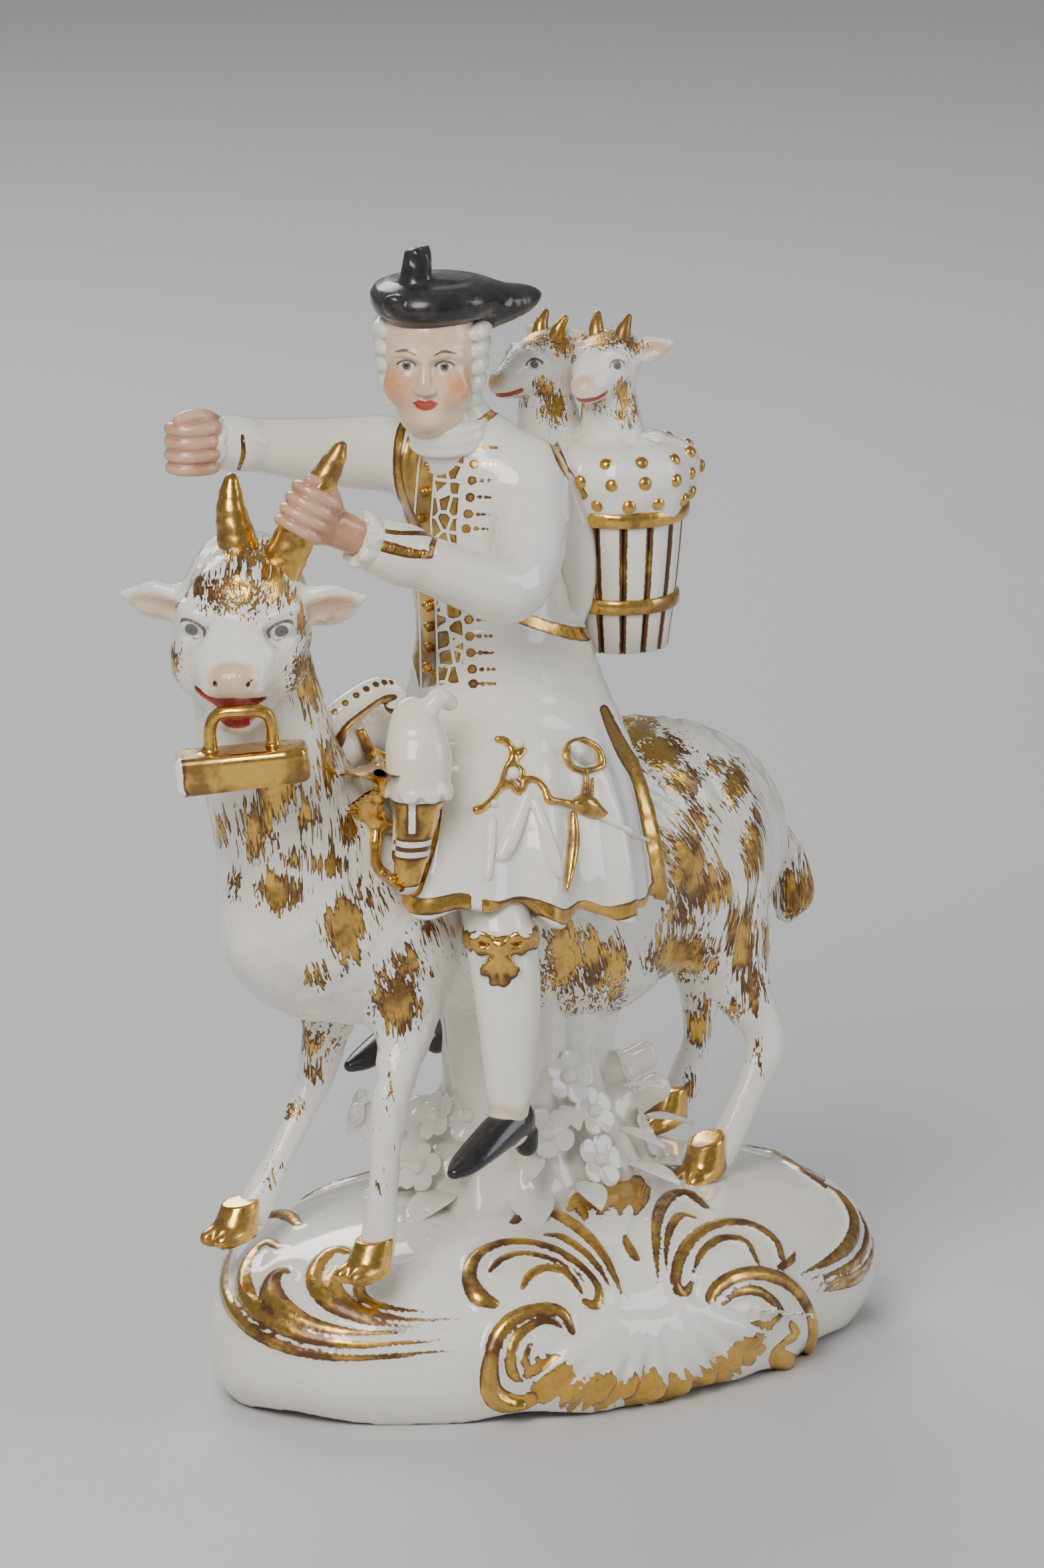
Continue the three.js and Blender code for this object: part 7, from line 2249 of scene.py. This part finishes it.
class FIGURE_OT_goat_body(bpy.types.Operator):
    """Models the goat's body, neck, tail and legs with the painted coat"""

    bl_idname = "figure_group.goat_body"
    bl_label = "Goat's body"

    def execute(self, context):
        build_goat_body(painted("coat"))
        return {"FINISHED"}


class FIGURE_OT_goat_head(bpy.types.Operator):
    """Models the goat's head with its ears and painted face"""

    bl_idname = "figure_group.goat_head"
    bl_label = "Goat's head"

    def execute(self, context):
        build_goat_head(painted("goat_head"))
        return {"FINISHED"}


class FIGURE_OT_goat_horns(bpy.types.Operator):
    """Models the goat's gilded horns"""

    bl_idname = "figure_group.goat_horns"
    bl_label = "Goat's horns"

    def execute(self, context):
        build_horns(painted("gold"))
        return {"FINISHED"}


class FIGURE_OT_goat_hooves(bpy.types.Operator):
    """Models the four gilded hooves"""

    bl_idname = "figure_group.goat_hooves"
    bl_label = "Hooves"

    def execute(self, context):
        build_hooves(painted("gold"))
        return {"FINISHED"}


class FIGURE_OT_iron(bpy.types.Operator):
    """Models the smoothing iron that hangs from the goat's mouth"""

    bl_idname = "figure_group.iron"
    bl_label = "Smoothing iron"

    def execute(self, context):
        build_iron(painted("gold"))
        return {"FINISHED"}


class FIGURE_OT_coat(bpy.types.Operator):
    """Models the rider's coat with sleeves, skirts and waistcoat"""

    bl_idname = "figure_group.coat"
    bl_label = "Coat"

    def execute(self, context):
        build_coat(painted("rider_coat"))
        return {"FINISHED"}


class FIGURE_OT_coat_relief(bpy.types.Operator):
    """Lays the chain, the hook, the scissors and the pendants on the coat"""

    bl_idname = "figure_group.coat_relief"
    bl_label = "Chain and scissors"

    def execute(self, context):
        build_coat_relief(painted("gold", "white"))
        return {"FINISHED"}


class FIGURE_OT_coat_buttons(bpy.types.Operator):
    """Sets the gilded buttons on waistcoat and cuff by Geometry Nodes"""

    bl_idname = "figure_group.coat_buttons"
    bl_label = "Buttons"

    def execute(self, context):
        build_coat_buttons(painted("gold"))
        return {"FINISHED"}


class FIGURE_OT_legs(bpy.types.Operator):
    """Models the breeches, stockings and garters"""

    bl_idname = "figure_group.legs"
    bl_label = "Legs"

    def execute(self, context):
        build_legs(painted("legs"))
        return {"FINISHED"}


class FIGURE_OT_shoes(bpy.types.Operator):
    """Models the black heeled shoes"""

    bl_idname = "figure_group.shoes"
    bl_label = "Shoes"

    def execute(self, context):
        build_shoes(painted("shoe"))
        return {"FINISHED"}


class FIGURE_OT_hands(bpy.types.Operator):
    """Models both fists"""

    bl_idname = "figure_group.hands"
    bl_label = "Hands"

    def execute(self, context):
        build_hands(painted("skin"))
        return {"FINISHED"}


class FIGURE_OT_frills(bpy.types.Operator):
    """Models the ruffled cuffs and the folded neckcloth"""

    bl_idname = "figure_group.frills"
    bl_label = "Frills and neckcloth"

    def execute(self, context):
        build_frills(painted("white"))
        return {"FINISHED"}


class FIGURE_OT_face(bpy.types.Operator):
    """Models and paints the rider's head"""

    bl_idname = "figure_group.face"
    bl_label = "Face"

    def execute(self, context):
        build_face(painted("face"))
        return {"FINISHED"}


class FIGURE_OT_wig(bpy.types.Operator):
    """Models the rolled wig"""

    bl_idname = "figure_group.wig"
    bl_label = "Wig"

    def execute(self, context):
        build_wig(painted("white"))
        return {"FINISHED"}


class FIGURE_OT_hat(bpy.types.Operator):
    """Models the cocked hat with its button and broken plume"""

    bl_idname = "figure_group.hat"
    bl_label = "Hat"

    def execute(self, context):
        build_hat(painted("hat"))
        return {"FINISHED"}


class FIGURE_OT_tub(bpy.types.Operator):
    """Sets the staves round by Geometry Nodes and adds core and hoops"""

    bl_idname = "figure_group.tub"
    bl_label = "Tub"

    def execute(self, context):
        build_tub(painted("staves", "white", "gold"))
        return {"FINISHED"}


class FIGURE_OT_tub_cover(bpy.types.Operator):
    """Models the cloth over the tub's rim and sets its studs by Geometry Nodes"""

    bl_idname = "figure_group.tub_cover"
    bl_label = "Tub cloth"

    def execute(self, context):
        build_cover(painted("gold", "gold"))
        return {"FINISHED"}


class FIGURE_OT_kids(bpy.types.Operator):
    """Models the two kids that look out of the tub"""

    bl_idname = "figure_group.kids"
    bl_label = "Kids"

    def execute(self, context):
        build_kids(painted("goat_head", "gold"))
        return {"FINISHED"}


class FIGURE_OT_saddle(bpy.types.Operator):
    """Models the saddle and the holster"""

    bl_idname = "figure_group.saddle"
    bl_label = "Saddle"

    def execute(self, context):
        build_saddle(painted("gold"))
        return {"FINISHED"}


class FIGURE_OT_stump(bpy.types.Operator):
    """Models the tree stump under the goat"""

    bl_idname = "figure_group.stump"
    bl_label = "Stump"

    def execute(self, context):
        build_stump(painted("white"))
        return {"FINISHED"}


class FIGURE_OT_flowers(bpy.types.Operator):
    """Sets petals and hearts round the stump by Geometry Nodes"""

    bl_idname = "figure_group.flowers"
    bl_label = "Flowers"

    def execute(self, context):
        build_flowers(painted("white", "white"))
        return {"FINISHED"}


class FIGURE_OT_leaves(bpy.types.Operator):
    """Sets the leaves round the stump by Geometry Nodes"""

    bl_idname = "figure_group.leaves"
    bl_label = "Leaves"

    def execute(self, context):
        build_leaves(painted("white"))
        return {"FINISHED"}


class FIGURE_OT_stage(bpy.types.Operator):
    """Sets the pale floor, the soft lights and the camera"""

    bl_idname = "figure_group.stage"
    bl_label = "Stage"

    def execute(self, context):
        build_stage()
        return {"FINISHED"}


OPERATORS = (FIGURE_OT_base, FIGURE_OT_goat_body, FIGURE_OT_goat_head, FIGURE_OT_goat_horns,
             FIGURE_OT_goat_hooves, FIGURE_OT_iron, FIGURE_OT_coat, FIGURE_OT_coat_relief,
             FIGURE_OT_coat_buttons, FIGURE_OT_legs, FIGURE_OT_shoes, FIGURE_OT_hands, FIGURE_OT_frills,
             FIGURE_OT_face, FIGURE_OT_wig, FIGURE_OT_hat, FIGURE_OT_tub, FIGURE_OT_tub_cover, FIGURE_OT_kids,
             FIGURE_OT_saddle, FIGURE_OT_stump, FIGURE_OT_flowers, FIGURE_OT_leaves, FIGURE_OT_stage)


class FIGURE_PT_panel(bpy.types.Panel):
    """Sizes, colours and pieces of the figure group"""

    bl_idname = "FIGURE_PT_panel"
    bl_label = "Porcelain figure group"
    bl_space_type = "VIEW_3D"
    bl_region_type = "UI"
    bl_category = "Figure group"

    def draw(self, context):
        column = self.layout.column(align=True)
        for group in (context.scene.figure_sizes, context.scene.figure_colours):
            for name in group.__annotations__:
                column.prop(group, name)
            column.separator()
        for operator in OPERATORS:
            column.operator(operator.bl_idname)


CLASSES = (FigureGroupSizes, FigureGroupColours, *OPERATORS, FIGURE_PT_panel)


def register():
    """Registers the classes and puts the settings on the scene."""
    for part in CLASSES:
        bpy.utils.register_class(part)
    bpy.types.Scene.figure_sizes = bpy.props.PointerProperty(type=FigureGroupSizes)
    bpy.types.Scene.figure_colours = bpy.props.PointerProperty(type=FigureGroupColours)


def unregister():
    """Takes the settings and classes away again."""
    del bpy.types.Scene.figure_colours
    del bpy.types.Scene.figure_sizes
    for part in reversed(CLASSES):
        bpy.utils.unregister_class(part)


def main():
    """Makes every piece and the stage."""
    register()
    for operator in OPERATORS:
        getattr(bpy.ops.figure_group, operator.bl_idname.split(".")[1])()


if __name__ == "__main__":
    main()
